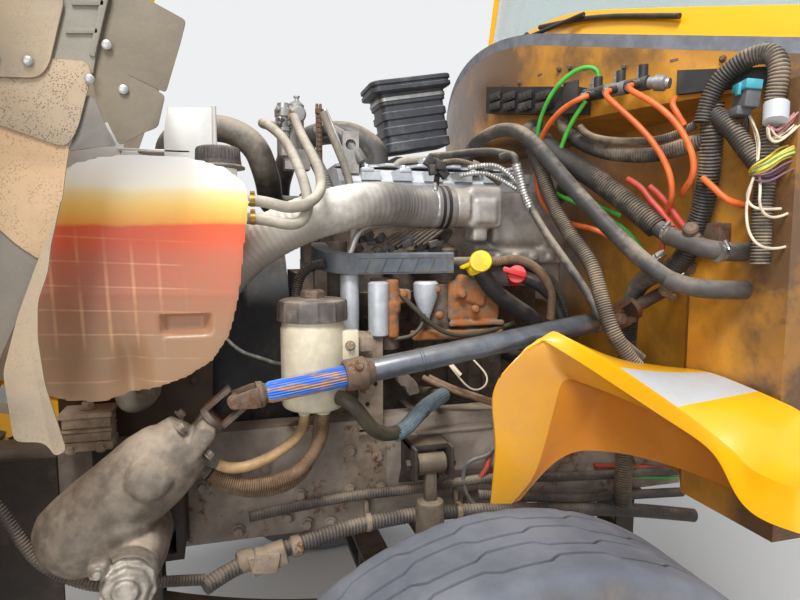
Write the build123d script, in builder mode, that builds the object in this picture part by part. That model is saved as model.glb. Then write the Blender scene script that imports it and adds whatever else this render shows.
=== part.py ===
# Front end of a bonneted school bus with its hood tipped forward.
# X runs rearward, Y to the right side of the bus and Z up. The origin is the middle of the
# rear face of the rear crossmember, where the front end leaves the rest of the bus.
# All sizes are millimetres and degrees.
import os
from math import cos, radians, sin, sqrt, tan

from build123d import *

os.makedirs("parts", exist_ok=True)

# Chassis frame
RAIL_OUTER = 430.0
RAIL_HEIGHT = 260.0
RAIL_FLANGE = 75.0
RAIL_WALL = 8.0
RAIL_FRONT = -1740.0
SPLICE_SPACING = 100.0
SPLICE_FIRST = 60.0
SPLICE_HOLE = 8.7
CROSS_FLANGE = 70.0
CROSS_WALL = 8.0
CROSS_GAP = 4.0

# Axle, wheels and steering
AXLE_X = -800.0
WHEEL_Z = -395.0
WHEEL_Y = 1030.0
TYRE_RADIUS = 505.0
TYRE_WIDTH = 270.0
RIM_RADIUS = 286.0
KINGPIN_Y = 890.0
BEAM_HEIGHT = 90.0
BEAM_WIDTH = 90.0
SPRING_Y = 390.0
SPRING_WIDTH = 76.0
LEAF_THICK = 14.0
LEAVES = 4
SHOCK_Y = 530.0
SHOCK_RADIUS = 34.0
DRAG_BALL_Y = 620.0
PITMAN_BALL_Y = 585.0
DRAG_Z = -256.0
DRAG_RADIUS = 16.0
TIE_X = -610.0
TIE_Z = -490.0
TIE_BALL_Y = KINGPIN_Y
TIE_RADIUS = 18.0
GEAR_Y = -620.0
GEAR_THICK = 150.0
BARREL_RADIUS = 80.0
GEAR_TILT = 39.5
SECTOR_X = -1411.0
SECTOR_Z = -15.0
SECTOR_RADIUS = 58.0
JOINT_LOW = (-1228.0, -636.0, 256.0)
JOINT_HIGH = (-342.0, -585.0, 378.0)
SHAFT_RADIUS = 25.0
SPLINE_RADIUS = 15.0
COLLAR_RADIUS = 34.0
YOKE_REACH = 46.0

# Engine
BLOCK_FRONT = -1000.0
BLOCK_REAR = -330.0
BLOCK_HALF = 170.0
CRANK_Z = 110.0
PAN_BOTTOM = -290.0
BLOCK_BOTTOM = -60.0
BLOCK_TOP = 500.0
HEAD_HALF = 140.0
HEAD_TOP = 680.0
COVER_TOP = 765.0
COVER_LEFT = -220.0
COVER_RIGHT = 110.0
FLYWHEEL_RADIUS = 255.0
BELL_PCD = 466.7
BELL_HOLE = 4.8

# Cooling pack
CORE_FRONT = -1440.0
CORE_REAR = -1330.0
CORE_HALF = 345.0
CORE_BOTTOM = -50.0
CORE_TOP = 750.0
COOLER_FRONT = -1540.0
COOLER_REAR = -1470.0
FAN_Z = 250.0
FAN_X = -1140.0
FAN_RADIUS = 325.0
FAN_BLADES = 9
SHROUD_RADIUS = 350.0
SHROUD_WALL = 5.0
SHROUD_LIP = -1085.0

# Surge tank and fluid reservoir
TANK_FACE = -690.0
TANK_BACK = -500.0
TANK_BOTTOM = 313.0
TANK_TOP = 702.0
TANK_REAR = -1211.0
SPIGOT_Y = -640.0
NECK_X = -1244.0
NECK_Y = -600.0
NECK_RADIUS = 36.0
NECK_TOP = 722.0
CAP_RADIUS = 42.0
CAP_HEIGHT = 34.0
RESERVOIR = (-1056.0, -520.0)
RESERVOIR_RADIUS = 70.0
RESERVOIR_BOTTOM = 200.0
RESERVOIR_TOP = 392.0
LID_RADIUS = 77.0
LID_HEIGHT = 46.0

# Cowl, windshield and hood
COWL_HALF = 950.0
ARC_SIDE = -160.0
ARC_MIDDLE = -450.0
CROWN_TOP = 1120.0
CROWN_RADIUS = 1200.0
CROWN_SHOULDER = 350.0
CROWN_FALL = 0.305
CROWN_SLOPE = 3.4
PLENUM_FLOOR = 860.0
PANEL_WALL = 5.0
COWL_BOTTOM = -20.0
FIREWALL_X = -150.0
CHEEK_X = -230.0
STRIP_HEIGHT = 30.0
STRIP_DEPTH = 32.0
HEADER_TOP = 2060.0
GLASS_TOP = 1955.0
GLASS_HALF = 838.0
GLASS_THICK = 7.0
HOOD_WALL = 5.0
HOOD_OPEN = 70.0
HINGE_X = -1790.0
HINGE_Z = -70.0
HINGE_PIN = 12.0
HINGE_Y = 354.0
HOOD_FRONT = -1840.0
HOOD_BOTTOM = -60.0
HOOD_REAR_BOTTOM = 200.0
FENDER_REAR = -575.0
ARCH_RADIUS = 600.0
FENDER_OUTER = 1150.0
EXTENSION_INNER = 660.0

RUN_GAP = 0.06
SEAT_GAP = 0.3


def write(part, name):
    part.label = name
    export_step(part, f"parts/{name}.step")


def block(x, y, z, mode=Mode.ADD):
    """A box between two limits on each axis."""
    with Locations(((x[0] + x[1]) / 2, (y[0] + y[1]) / 2, (z[0] + z[1]) / 2)):
        Box(x[1] - x[0], y[1] - y[0], z[1] - z[0], mode=mode)


def rod(start, end, radius, mode=Mode.ADD):
    """A round bar between two points."""
    run = Vector(*end) - Vector(*start)
    with Locations(Plane(origin=start, z_dir=run)):
        Cylinder(radius, run.length, align=(Align.CENTER, Align.CENTER, Align.MIN), mode=mode)


def bend_radii(points, share=0.45):
    """The largest arcs that each corner of a route has room for."""
    spots = [Vector(*point) for point in points]
    radii = []
    for before, here, after in zip(spots, spots[1:], spots[2:]):
        run_in = here - before
        run_out = after - here
        turn = radians(run_in.get_angle(run_out))
        radii.append(share * min(run_in.length, run_out.length) / tan(turn / 2))
    return radii


def hose(points, radius):
    """A round hose or pipe along straight runs joined by tangent arcs."""
    bends = bend_radii(points)
    print("hose of diameter", 2 * radius, "bends at", [round(bend) for bend in bends])
    with BuildPart() as piece:
        with BuildLine() as route:
            FilletPolyline(*points, radius=bends)
        with BuildSketch(Plane(origin=route.line @ 0, z_dir=route.line % 0)):
            Circle(radius)
        sweep(path=route.wire())
    return piece.part


def plate(points, plane, thickness):
    """A flat outline, given in a plane's own coordinates, made thick along its normal."""
    with BuildPart() as piece:
        with BuildSketch(plane):
            with BuildLine():
                Polyline(*points, close=True)
            make_face()
        extrude(amount=thickness)
    return piece.part


def mirrored(part):
    """The same part on the other side of the bus."""
    return mirror(part, about=Plane.XZ)


def arc_x(y, shift=0.0):
    """How far forward the bowed front of the cowl stands at a distance from the middle."""
    radius = (COWL_HALF**2 + (ARC_SIDE - ARC_MIDDLE) ** 2) / (2 * (ARC_SIDE - ARC_MIDDLE))
    return ARC_MIDDLE + shift + radius - sqrt(radius**2 - y**2)


def bowed_region(shift, half, back, low, high):
    """Everything behind the bowed line of the cowl, between two heights."""
    with BuildPart() as piece:
        with BuildSketch(Plane.XY.offset(low)):
            with BuildLine():
                ThreePointArc(
                    (arc_x(half, shift), -half), (ARC_MIDDLE + shift, 0), (arc_x(half, shift), half)
                )
                Polyline(
                    (arc_x(half, shift), half), (back, half), (back, -half), (arc_x(half, shift), -half)
                )
            make_face()
        extrude(amount=high - low)
    return piece.part


def crown_drop(y):
    """How far the crowned top has fallen at a distance from the middle."""
    reach = abs(y)
    arc = min(reach, CROWN_SHOULDER)
    return CROWN_RADIUS - sqrt(CROWN_RADIUS**2 - arc**2) + CROWN_FALL * (reach - arc)


def crown_solid(lift):
    """The ridged, slightly rising top of the cowl as a solid, raised by lift."""
    tilt = radians(CROWN_SLOPE)
    with BuildPart() as piece:
        with BuildSketch(
            Plane((ARC_MIDDLE, 0, CROWN_TOP + lift), x_dir=(0, 1, 0), z_dir=(cos(tilt), 0, sin(tilt)))
        ):
            with BuildLine():
                ThreePointArc(
                    (-CROWN_SHOULDER, -crown_drop(CROWN_SHOULDER)),
                    (0, 0),
                    (CROWN_SHOULDER, -crown_drop(CROWN_SHOULDER)),
                )
                Polyline(
                    (CROWN_SHOULDER, -crown_drop(CROWN_SHOULDER)),
                    (1300, -crown_drop(1300)),
                    (1300, -1600),
                    (-1300, -1600),
                    (-1300, -crown_drop(1300)),
                    (-CROWN_SHOULDER, -crown_drop(CROWN_SHOULDER)),
                )
            make_face()
        extrude(amount=900, both=True)
    return piece.part


def crown_z(x, y, lift=0.0):
    """Height of the crown surface above a point."""
    tilt = radians(CROWN_SLOPE)
    return CROWN_TOP + lift + (x - ARC_MIDDLE) * tan(tilt) - crown_drop(y) / cos(tilt)


# Frame rails: two channels, open inward, with the splice holes at their rear ends
with BuildPart() as frame_rails:
    with BuildSketch(Plane.YZ.offset(RAIL_FRONT)):
        with BuildLine():
            Polyline(
                (-RAIL_OUTER, -RAIL_HEIGHT / 2),
                (-RAIL_OUTER + RAIL_FLANGE, -RAIL_HEIGHT / 2),
                (-RAIL_OUTER + RAIL_FLANGE, -RAIL_HEIGHT / 2 + RAIL_WALL),
                (-RAIL_OUTER + RAIL_WALL, -RAIL_HEIGHT / 2 + RAIL_WALL),
                (-RAIL_OUTER + RAIL_WALL, RAIL_HEIGHT / 2 - RAIL_WALL),
                (-RAIL_OUTER + RAIL_FLANGE, RAIL_HEIGHT / 2 - RAIL_WALL),
                (-RAIL_OUTER + RAIL_FLANGE, RAIL_HEIGHT / 2),
                (-RAIL_OUTER, RAIL_HEIGHT / 2),
                close=True,
            )
        make_face()
    extrude(amount=-RAIL_FRONT)
    with Locations(Plane.XZ.offset(RAIL_OUTER - RAIL_WALL)):
        with Locations((-SPLICE_FIRST - SPLICE_SPACING / 2, 0)):
            with GridLocations(SPLICE_SPACING, SPLICE_SPACING, 2, 2):
                Hole(SPLICE_HOLE, depth=4 * RAIL_WALL)
    mirror(about=Plane.XZ)
write(frame_rails.part, "frame_rails")

# Crossmembers: one that closes the rear, one under the cooling pack
SADDLE_TOP = CORE_BOTTOM - SEAT_GAP
RAIL_INNER = RAIL_OUTER - RAIL_WALL
CROSS_HALF_HEIGHT = RAIL_HEIGHT / 2 - RAIL_WALL - CROSS_GAP
with BuildPart() as crossmembers:
    block((-CROSS_WALL, 0), (-RAIL_INNER, RAIL_INNER), (-CROSS_HALF_HEIGHT, CROSS_HALF_HEIGHT))
    for side in (-1, 1):
        edge = side * CROSS_HALF_HEIGHT
        block(
            (-CROSS_FLANGE, -CROSS_WALL),
            (-RAIL_INNER, RAIL_INNER),
            sorted((edge, edge - side * CROSS_WALL)),
        )
    block((COOLER_FRONT - 10, CORE_REAR + 20), (-RAIL_INNER, RAIL_INNER), (-CROSS_HALF_HEIGHT, SADDLE_TOP))
    block(
        (COOLER_FRONT - 10 + CROSS_WALL, CORE_REAR + 20 - CROSS_WALL),
        (-RAIL_INNER, RAIL_INNER),
        (-CROSS_HALF_HEIGHT, SADDLE_TOP - CROSS_WALL),
        mode=Mode.SUBTRACT,
    )
write(crossmembers.part, "crossmembers")

# Bumper: a deep pressed channel with swept ends, on two drop brackets
BUMPER_FRONT = HOOD_FRONT - 60
BUMPER_TOP = HINGE_Z - 80
BUMPER_BOTTOM = BUMPER_TOP - 255
BUMPER_DEPTH = 90.0
with BuildPart() as bumper:
    with BuildSketch(Plane.XY.offset(BUMPER_BOTTOM)):
        with BuildLine():
            Polyline(
                (BUMPER_FRONT + 60, -1120),
                (BUMPER_FRONT, -940),
                (BUMPER_FRONT, 940),
                (BUMPER_FRONT + 60, 1120),
                (BUMPER_FRONT + 60 + BUMPER_DEPTH, 1120),
                (BUMPER_FRONT + BUMPER_DEPTH, 940),
                (BUMPER_FRONT + BUMPER_DEPTH, -940),
                (BUMPER_FRONT + 60 + BUMPER_DEPTH, -1120),
                close=True,
            )
        make_face()
    extrude(amount=BUMPER_TOP - BUMPER_BOTTOM)
    with BuildSketch(Plane.XY.offset(BUMPER_BOTTOM + 6)):
        with BuildLine():
            Polyline(
                (BUMPER_FRONT + 68, -1130),
                (BUMPER_FRONT + 7, -938),
                (BUMPER_FRONT + 7, 938),
                (BUMPER_FRONT + 68, 1130),
                (BUMPER_FRONT + 240, 1130),
                (BUMPER_FRONT + 240, -1130),
                close=True,
            )
        make_face()
    extrude(amount=BUMPER_TOP - BUMPER_BOTTOM - 12, mode=Mode.SUBTRACT)
    for side in (-1, 1):
        block(
            (BUMPER_FRONT + 7, RAIL_FRONT + 150),
            sorted((side * (RAIL_OUTER + SEAT_GAP), side * (RAIL_OUTER + 12))),
            (BUMPER_BOTTOM + 6, BUMPER_TOP + 5),
        )
        block(
            (RAIL_FRONT + 2, RAIL_FRONT + 150),
            sorted((side * (RAIL_OUTER + SEAT_GAP), side * (RAIL_OUTER + 12))),
            (BUMPER_TOP, RAIL_HEIGHT / 2 - 20),
        )
write(bumper.part, "bumper")

# Hinge lugs for the hood, with their pins, inside the front ends of the rails
with BuildPart() as hood_hinge:
    for side in (-1, 1):
        block(
            (HINGE_X - 25, RAIL_FRONT + 90),
            sorted((side * (HINGE_Y + 26), side * (HINGE_Y + 38))),
            (HINGE_Z - 32, HINGE_Z + 32),
        )
        block(
            (RAIL_FRONT + 10, RAIL_FRONT + 90),
            sorted((side * (HINGE_Y + 38), side * RAIL_INNER)),
            (HINGE_Z - 32, HINGE_Z + 32),
        )
        rod(
            (HINGE_X, side * (HINGE_Y - 22), HINGE_Z),
            (HINGE_X, side * (HINGE_Y + 26), HINGE_Z),
            HINGE_PIN,
        )
write(hood_hinge.part, "hood_hinge")

# Radiator: core between a top and a bottom tank, with two side members
with BuildPart() as radiator:
    block((CORE_FRONT + 15, CORE_REAR - 15), (-CORE_HALF, CORE_HALF), (CORE_BOTTOM + 90, CORE_TOP - 90))
    block((CORE_FRONT, CORE_REAR), (-CORE_HALF, CORE_HALF), (CORE_BOTTOM, CORE_BOTTOM + 90))
    block((CORE_FRONT, CORE_REAR), (-CORE_HALF, CORE_HALF), (CORE_TOP - 90, CORE_TOP))
    for side in (-1, 1):
        block(
            (CORE_FRONT, CORE_REAR),
            sorted((side * CORE_HALF, side * (CORE_HALF + 20))),
            (RAIL_HEIGHT / 2 + 8, CORE_TOP - 40),
        )
write(radiator.part, "radiator")

# Charge air cooler in front of the radiator, with a side tank at each end
COOLER_BOTTOM = RAIL_HEIGHT / 2 + 10
COOLER_TOP = CORE_TOP - 120
with BuildPart() as charge_cooler:
    block((COOLER_FRONT + 8, COOLER_REAR - 8), (-320, 320), (COOLER_BOTTOM + 8, COOLER_TOP - 8))
    for side in (-1, 1):
        block((COOLER_FRONT, COOLER_REAR), sorted((side * 320, side * 400)), (COOLER_BOTTOM, COOLER_TOP))
        block((COOLER_FRONT + 10, COOLER_REAR - 14), sorted((side * 399, side * 486)), (280, 384))
        rod((COOLER_REAR - 20, side * 434, 332), (COOLER_REAR, side * 434, 332), 47)
        block((COOLER_REAR, CORE_FRONT - SEAT_GAP), sorted((side * 300, side * 340)), (CORE_TOP - 260, CORE_TOP - 200))
        block((COOLER_REAR, CORE_FRONT - SEAT_GAP), sorted((side * 300, side * 340)), (COOLER_BOTTOM, COOLER_BOTTOM + 60))
write(charge_cooler.part, "charge_cooler")

# Fan shroud: a square hood on the core that narrows to a ring round the fan
SHROUD_FRONT = CORE_REAR + SEAT_GAP
SHROUD_NECK = FAN_X - 55
with BuildPart() as fan_shroud:
    with BuildSketch(Plane.YZ.offset(SHROUD_FRONT)):
        with Locations((0, (CORE_TOP + CORE_BOTTOM) / 2)):
            RectangleRounded(2 * CORE_HALF, CORE_TOP - CORE_BOTTOM - 130, 60)
    with BuildSketch(Plane.YZ.offset(SHROUD_NECK)):
        with Locations((0, FAN_Z)):
            RectangleRounded(2 * (SHROUD_RADIUS + SHROUD_WALL), 2 * (SHROUD_RADIUS + SHROUD_WALL), 300)
    loft()
    with BuildSketch(Plane.YZ.offset(SHROUD_FRONT)):
        with Locations((0, (CORE_TOP + CORE_BOTTOM) / 2)):
            RectangleRounded(2 * (CORE_HALF - SHROUD_WALL), CORE_TOP - CORE_BOTTOM - 140, 55)
    with BuildSketch(Plane.YZ.offset(SHROUD_NECK)):
        with Locations((0, FAN_Z)):
            RectangleRounded(2 * SHROUD_RADIUS, 2 * SHROUD_RADIUS, 295)
    loft(mode=Mode.SUBTRACT)
    with BuildSketch(Plane.YZ.offset(SHROUD_NECK)):
        with Locations((0, FAN_Z)):
            RectangleRounded(2 * (SHROUD_RADIUS + SHROUD_WALL), 2 * (SHROUD_RADIUS + SHROUD_WALL), 300)
            Circle(SHROUD_RADIUS, mode=Mode.SUBTRACT)
    extrude(amount=SHROUD_WALL)
    with BuildSketch(Plane.YZ.offset(SHROUD_NECK)):
        with Locations((0, FAN_Z)):
            Circle(SHROUD_RADIUS + SHROUD_WALL)
            Circle(SHROUD_RADIUS, mode=Mode.SUBTRACT)
    extrude(amount=SHROUD_LIP - SHROUD_NECK)
write(fan_shroud.part, "fan_shroud")

# Fan: pitched blades on a clutch hub that turns on the engine's front
FAN_HUB = 85.0
with BuildPart() as fan:
    rod((FAN_X - 25, 0, FAN_Z), (FAN_X + 25, 0, FAN_Z), FAN_HUB)
    rod((FAN_X - 45, 0, FAN_Z), (FAN_X - 25, 0, FAN_Z), 50)
    rod((FAN_X + 25, 0, FAN_Z), (BLOCK_FRONT - 60 - SEAT_GAP, 0, FAN_Z), 40)
    for number in range(FAN_BLADES):
        spoke = Location((FAN_X, 0, FAN_Z), (360 / FAN_BLADES * number, 0, 0))
        with Locations(spoke * Location((0, 0, (FAN_HUB + FAN_RADIUS) / 2 - 4), (0, 0, 32))):
            Box(8, 92, FAN_RADIUS - FAN_HUB + 8)
write(fan.part, "fan")

# Engine: block, head, oil pan, front cover with the fan drive, and flywheel housing
with BuildPart() as engine:
    block((BLOCK_FRONT, BLOCK_REAR), (-BLOCK_HALF, BLOCK_HALF), (BLOCK_BOTTOM, BLOCK_TOP))
    block((BLOCK_FRONT + 20, BLOCK_REAR - 10), (-HEAD_HALF, HEAD_HALF), (BLOCK_TOP, HEAD_TOP))
    block((BLOCK_FRONT + 30, BLOCK_REAR - 60), (-BLOCK_HALF + 20, BLOCK_HALF - 20), (-170, BLOCK_BOTTOM))
    block((-700, BLOCK_REAR - 60), (-BLOCK_HALF + 20, BLOCK_HALF - 20), (PAN_BOTTOM, -170))
    rod((BLOCK_REAR, 0, CRANK_Z), (BLOCK_REAR + 110, 0, CRANK_Z), FLYWHEEL_RADIUS)
    block((BLOCK_FRONT - 45, BLOCK_FRONT), (-130, 130), (-40, 470))
    rod((BLOCK_FRONT - 60, 0, FAN_Z), (BLOCK_FRONT - 45, 0, FAN_Z), 70)
    rod((BLOCK_FRONT - 75, 0, CRANK_Z - 60), (BLOCK_FRONT - 45, 0, CRANK_Z - 60), 95)
    block((BLOCK_FRONT - 20, BLOCK_FRONT + 20), (-110, -10), (BLOCK_TOP, 696))
    for number in range(6):
        rib = BLOCK_FRONT + 60 + number * 108
        block((rib, rib + 60), (-BLOCK_HALF - 14, -BLOCK_HALF), (40, 300))
        block((rib, rib + 60), (BLOCK_HALF, BLOCK_HALF + 14), (40, 300))
    with Locations(Plane((BLOCK_REAR + 110, 0, CRANK_Z), x_dir=(0, 1, 0), z_dir=(1, 0, 0))):
        with PolarLocations(BELL_PCD / 2, 12):
            Hole(BELL_HOLE, depth=30)
        Hole(190, depth=60)
    for side in (-1, 1):
        block((-760, -660), sorted((side * BLOCK_HALF, side * (RAIL_INNER - 70))), (40, 100))
        block((-760, -660), sorted((side * (RAIL_INNER - 70), side * RAIL_INNER)), (-40, 100))
write(engine.part, "engine")

# Valve cover: a long lid with rounded shoulders, a flange and a row of coil bosses
with BuildPart() as valve_cover:
    with BuildSketch(Plane.YZ.offset(BLOCK_FRONT + 60)):
        with BuildLine():
            Polyline(
                (COVER_LEFT + 20, HEAD_TOP + SEAT_GAP),
                (COVER_LEFT, HEAD_TOP + 20),
                (COVER_LEFT, COVER_TOP - 45),
                (COVER_LEFT + 30, COVER_TOP - 12),
                (COVER_LEFT + 110, COVER_TOP),
                (COVER_RIGHT - 70, COVER_TOP),
                (COVER_RIGHT, COVER_TOP - 40),
                (COVER_RIGHT, HEAD_TOP + SEAT_GAP),
                close=True,
            )
        make_face()
    extrude(amount=BLOCK_REAR - BLOCK_FRONT - 90)
    for number in range(6):
        boss = BLOCK_FRONT + 120 + number * 88
        block((boss, boss + 52), (COVER_LEFT - 6, COVER_LEFT + 40), (COVER_TOP - 42, COVER_TOP - 16))
write(valve_cover.part, "valve_cover")

# Intake casting at the rear left of the engine, with the square throttle box in front
with BuildPart() as intake_casting:
    block((-558, -332), (-350, -HEAD_HALF - SEAT_GAP), (520, 676))
    block((-558, -332), (-350, COVER_LEFT - 30), (676, 704))
    block((-600, -332), (-330, -BLOCK_HALF - 20), (436, 520))
    block((-660, -558), (-432, -290), (588, 700))
    fillet(intake_casting.edges().filter_by(Axis.X).group_by(Axis.Y)[0], 14)
    rod((-690, -392, 644), (-660, -392, 644), 46)
write(intake_casting.part, "intake_casting")

# Filter housings on the left of the block, each a canister on its boss
CANISTERS = (
    # x, y, z low, z high, radius
    (-862.0, -395.0, 300.0, 470.0, 36.0),
    (-728.0, -385.0, 318.0, 455.0, 38.0),
    (-712.0, -330.0, 478.0, 548.0, 52.0),
    (-962.0, -300.0, 300.0, 560.0, 26.0),
)
with BuildPart() as filter_housings:
    for x, y, low, high, radius in CANISTERS:
        rod((x, y, low), (x, y, high), radius)
        block((x - radius * 0.6, x + radius * 0.6), (y, -BLOCK_HALF - 14 - SEAT_GAP), (low + 20, low + 58))
    rod((-712, -330, 548), (-712, -330, 566), 18)
    block((-960, -600), (-BLOCK_HALF - 60, -BLOCK_HALF - 14 - SEAT_GAP), (345, 420))
write(filter_housings.part, "filter_housings")

# Charge air hose from the cooler's side tank to the throttle box
CHARGE_RADIUS = 52.0
CHARGE_ROUTE = (
    (COOLER_REAR + SEAT_GAP, -434, 332),
    (-1380, -434, 332),
    (-1300, -436, 400),
    (-1222, -440, 512),
    (-1130, -462, 582),
    (-1010, -478, 630),
    (-890, -450, 650),
    (-800, -392, 644),
    (-690 - SEAT_GAP, -392, 644),
)
write(hose(CHARGE_ROUTE, CHARGE_RADIUS), "charge_air_hose")

# Upper radiator hose, and the black air pipe that crosses over the valve cover
with BuildPart() as engine_hoses:
    add(
        hose(
            (
                (-1365, -150, CORE_TOP + SEAT_GAP),
                (-1365, -150, 805),
                (-1310, -150, 850),
                (-1215, -160, 850),
                (-1150, -180, 808),
                (-1120, -160, 725),
                (-1105, -60, 654),
                (-1020 - SEAT_GAP, -60, 654),
            ),
            34,
        )
    )
    add(
        hose(
            (
                (-985 - SEAT_GAP, 400, 640),
                (-1035, 400, 640),
                (-1048, 350, 740),
                (-1020, 240, 855),
                (-945, 110, 895),
                (-850, 50, 890),
                (-775, 30, 840),
                (-775, 30, COVER_TOP + SEAT_GAP),
            ),
            35,
        )
    )
write(engine_hoses.part, "engine_hoses")

# Small coolant lines: the tank's two vent hoses, the filler pipe and the line over the cover
with BuildPart() as coolant_lines:
    add(
        hose(
            (
                (TANK_REAR + 16, SPIGOT_Y, 640),
                (-1168, SPIGOT_Y, 640),
                (-1105, -650, 622),
                (-1050, -622, 652),
                (-1040, -560, 705),
                (-1050, -440, 770),
                (-1062, -345, 832),
                (-1066, -325, 862),
                (-1066, -270 - SEAT_GAP, 862),
            ),
            11,
        )
    )
    add(
        hose(
            (
                (TANK_REAR + 16, SPIGOT_Y, 606),
                (-1168, SPIGOT_Y, 606),
                (-1100, -640, 590),
                (-1074, -618, 622),
                (-1074, -580, 672),
                (-1085, -480, 745),
                (-1105, -390, 805),
                (-1140, -300, 848),
                (-1136, -235, 850),
                (-1090 - SEAT_GAP, -235, 850),
            ),
            11,
        )
    )
    add(hose(((-992, -285, 882), (-960, -275, 810), (-925, -262, 735), (-905, -262, 640), (-905, -230, 540)), 10))
    add(
        hose(
            (
                (-740, -40, COVER_TOP + SEAT_GAP),
                (-740, -40, 800),
                (-640, -52, 806),
                (-560, -44, 802),
                (-455, -46, 800),
                (-455, -46, COVER_TOP + SEAT_GAP),
            ),
            10,
        )
    )
    add(
        hose(
            (
                (-1430, -590, TANK_BOTTOM - 2 * SEAT_GAP),
                (-1430, -590, 262),
                (-1420, -540, 236),
                (-1400, -460, 232),
                (-1400, -CORE_HALF - 20 - SEAT_GAP, 232),
            ),
            20,
        )
    )
write(coolant_lines.part, "coolant_lines")

# Lifting eye and water fitting at the front of the engine
with BuildPart() as engine_fittings:
    block((-928, -884), (-212, -202), (COVER_TOP - 25 + SEAT_GAP, 850))
    rod((-906, -212, 815), (-906, -202, 815), 14, mode=Mode.SUBTRACT)
    rod((-1066, -250, 780), (-1066, -250, 895), 20)
    rod((-1090, -235, 850), (-1040, -235, 850), 22)
    block((-1085, -1022), (-270, -222), (740, 790))
write(engine_fittings.part, "engine_fittings")

# Wiring tray along the engine's left side, with its conduits
with BuildPart() as harness_tray:
    block((-1015, -702), (-442, -402), (486, 534))
    for end in (-930, -820):
        block((end, end + 30), (-402, -BLOCK_HALF - SEAT_GAP), (486, 496))
    add(hose(((-702 + SEAT_GAP, -410, 508), (-650, -395, 508), (-580, -384, 508), (-490, -384, 505), (-410, -388, 470), (-370, -400, 400), (-372, -410, 320), (-380, -410, 240)), 12))
    add(hose(((-1015 - SEAT_GAP, -425, 510), (-1050, -425, 505), (-1078, -415, 470), (-1078, -405, 390), (-1050, -400, 300), (-1048, -380, 200)), 11))
write(harness_tray.part, "harness_tray")

# Filler and dipstick tubes with their caps
with BuildPart() as filler_tubes:
    add(hose(((-636, -452, 492), (-600, -448, 440), (-540, -436, 400), (-470, -418, 362), (-425, -390, 300), (-424, -330, 232), (-430, -290, 225), (-430, -184.7, 225)), 21))
    add(hose(((-520, -432, 470), (-470, -432, 452), (-415, -428, 410), (-388, -440, 340), (-384, -460, 240), (-384, -458, 140)), 13))
write(filler_tubes.part, "filler_tubes")

CAP_TILT = 55.0
with BuildPart() as filler_caps:
    rod((-636.2, -452, 492.3), (-652, -453.8, 515), 29)
    rod((-520.4, -432, 470.2), (-540, -432, 477.2), 25)
write(filler_caps.part, "filler_caps")

# Air inlet duct that seals to the underside of the hood, and the air cleaner behind the engine
with BuildPart() as air_duct:
    with BuildSketch(Plane((-665, 110, 1064), x_dir=(cos(radians(10)), 0, sin(radians(10))), z_dir=(-sin(radians(10)), 0, cos(radians(10))))):
        RectangleRounded(264, 180, 30)
    extrude(amount=-34)
    with BuildSketch(Plane((-661, 110, 1042), x_dir=(cos(radians(10)), 0, sin(radians(10))), z_dir=(-sin(radians(10)), 0, cos(radians(10))))):
        RectangleRounded(216, 140, 22)
    extrude(amount=-200)
    with BuildSketch(Plane((-665, 110, 1065), x_dir=(cos(radians(10)), 0, sin(radians(10))), z_dir=(-sin(radians(10)), 0, cos(radians(10))))):
        RectangleRounded(200, 120, 16)
    extrude(amount=-190, mode=Mode.SUBTRACT)
write(air_duct.part, "air_duct")

with BuildPart() as air_cleaner:
    rod((-700, 400, 640), (-300, 400, 640), 120)
    rod((-740, 400, 640), (-700, 400, 640), 95)
    rod((-985, 400, 640), (-740, 400, 640), 36)
    rod((-645, 250, 720), (-645, 340, 670), 45)
    block((-705, -585), (60, 260), (770, 824))
    block((-705, -585), (190, 260), (690, 771))
write(air_cleaner.part, "air_cleaner")

# Cowl: a plenum box across the bus, open to the rear, over a recessed firewall
with BuildPart() as cowl:
    add(bowed_region(0, COWL_HALF, 0, PLENUM_FLOOR, 1400))
    add(crown_solid(0), mode=Mode.INTERSECT)
    add(
        bowed_region(PANEL_WALL, COWL_HALF - PANEL_WALL, 5, PLENUM_FLOOR + PANEL_WALL, 1400)
        & crown_solid(-PANEL_WALL),
        mode=Mode.SUBTRACT,
    )
    with BuildSketch(Plane.XY.offset(COWL_BOTTOM)):
        with BuildLine():
            Polyline(
                (0, -COWL_HALF),
                (CHEEK_X, -COWL_HALF),
                (CHEEK_X, -700),
                (FIREWALL_X, -600),
                (FIREWALL_X, 600),
                (CHEEK_X, 700),
                (CHEEK_X, COWL_HALF),
                (0, COWL_HALF),
                (0, COWL_HALF - PANEL_WALL),
                (CHEEK_X + PANEL_WALL, COWL_HALF - PANEL_WALL),
                (CHEEK_X + PANEL_WALL, 702),
                (FIREWALL_X + PANEL_WALL, 602),
                (FIREWALL_X + PANEL_WALL, -602),
                (CHEEK_X + PANEL_WALL, -702),
                (CHEEK_X + PANEL_WALL, -COWL_HALF + PANEL_WALL),
                (0, -COWL_HALF + PANEL_WALL),
                close=True,
            )
        make_face()
    extrude(amount=PLENUM_FLOOR - COWL_BOTTOM)
    rod((FIREWALL_X - 20, -585, 463), (FIREWALL_X + 20, -585, 463), 34, mode=Mode.SUBTRACT)
    block((-300, 0), (-RAIL_OUTER - 8, RAIL_OUTER + 8), (COWL_BOTTOM - 5, RAIL_HEIGHT / 2 + 5), mode=Mode.SUBTRACT)
    block((-60, 0), (-COWL_HALF + PANEL_WALL, -COWL_HALF + 45), (COWL_BOTTOM, PLENUM_FLOOR))
    block((-60, 0), (COWL_HALF - 45, COWL_HALF - PANEL_WALL), (COWL_BOTTOM, PLENUM_FLOOR))
write(cowl.part, "cowl")

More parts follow.
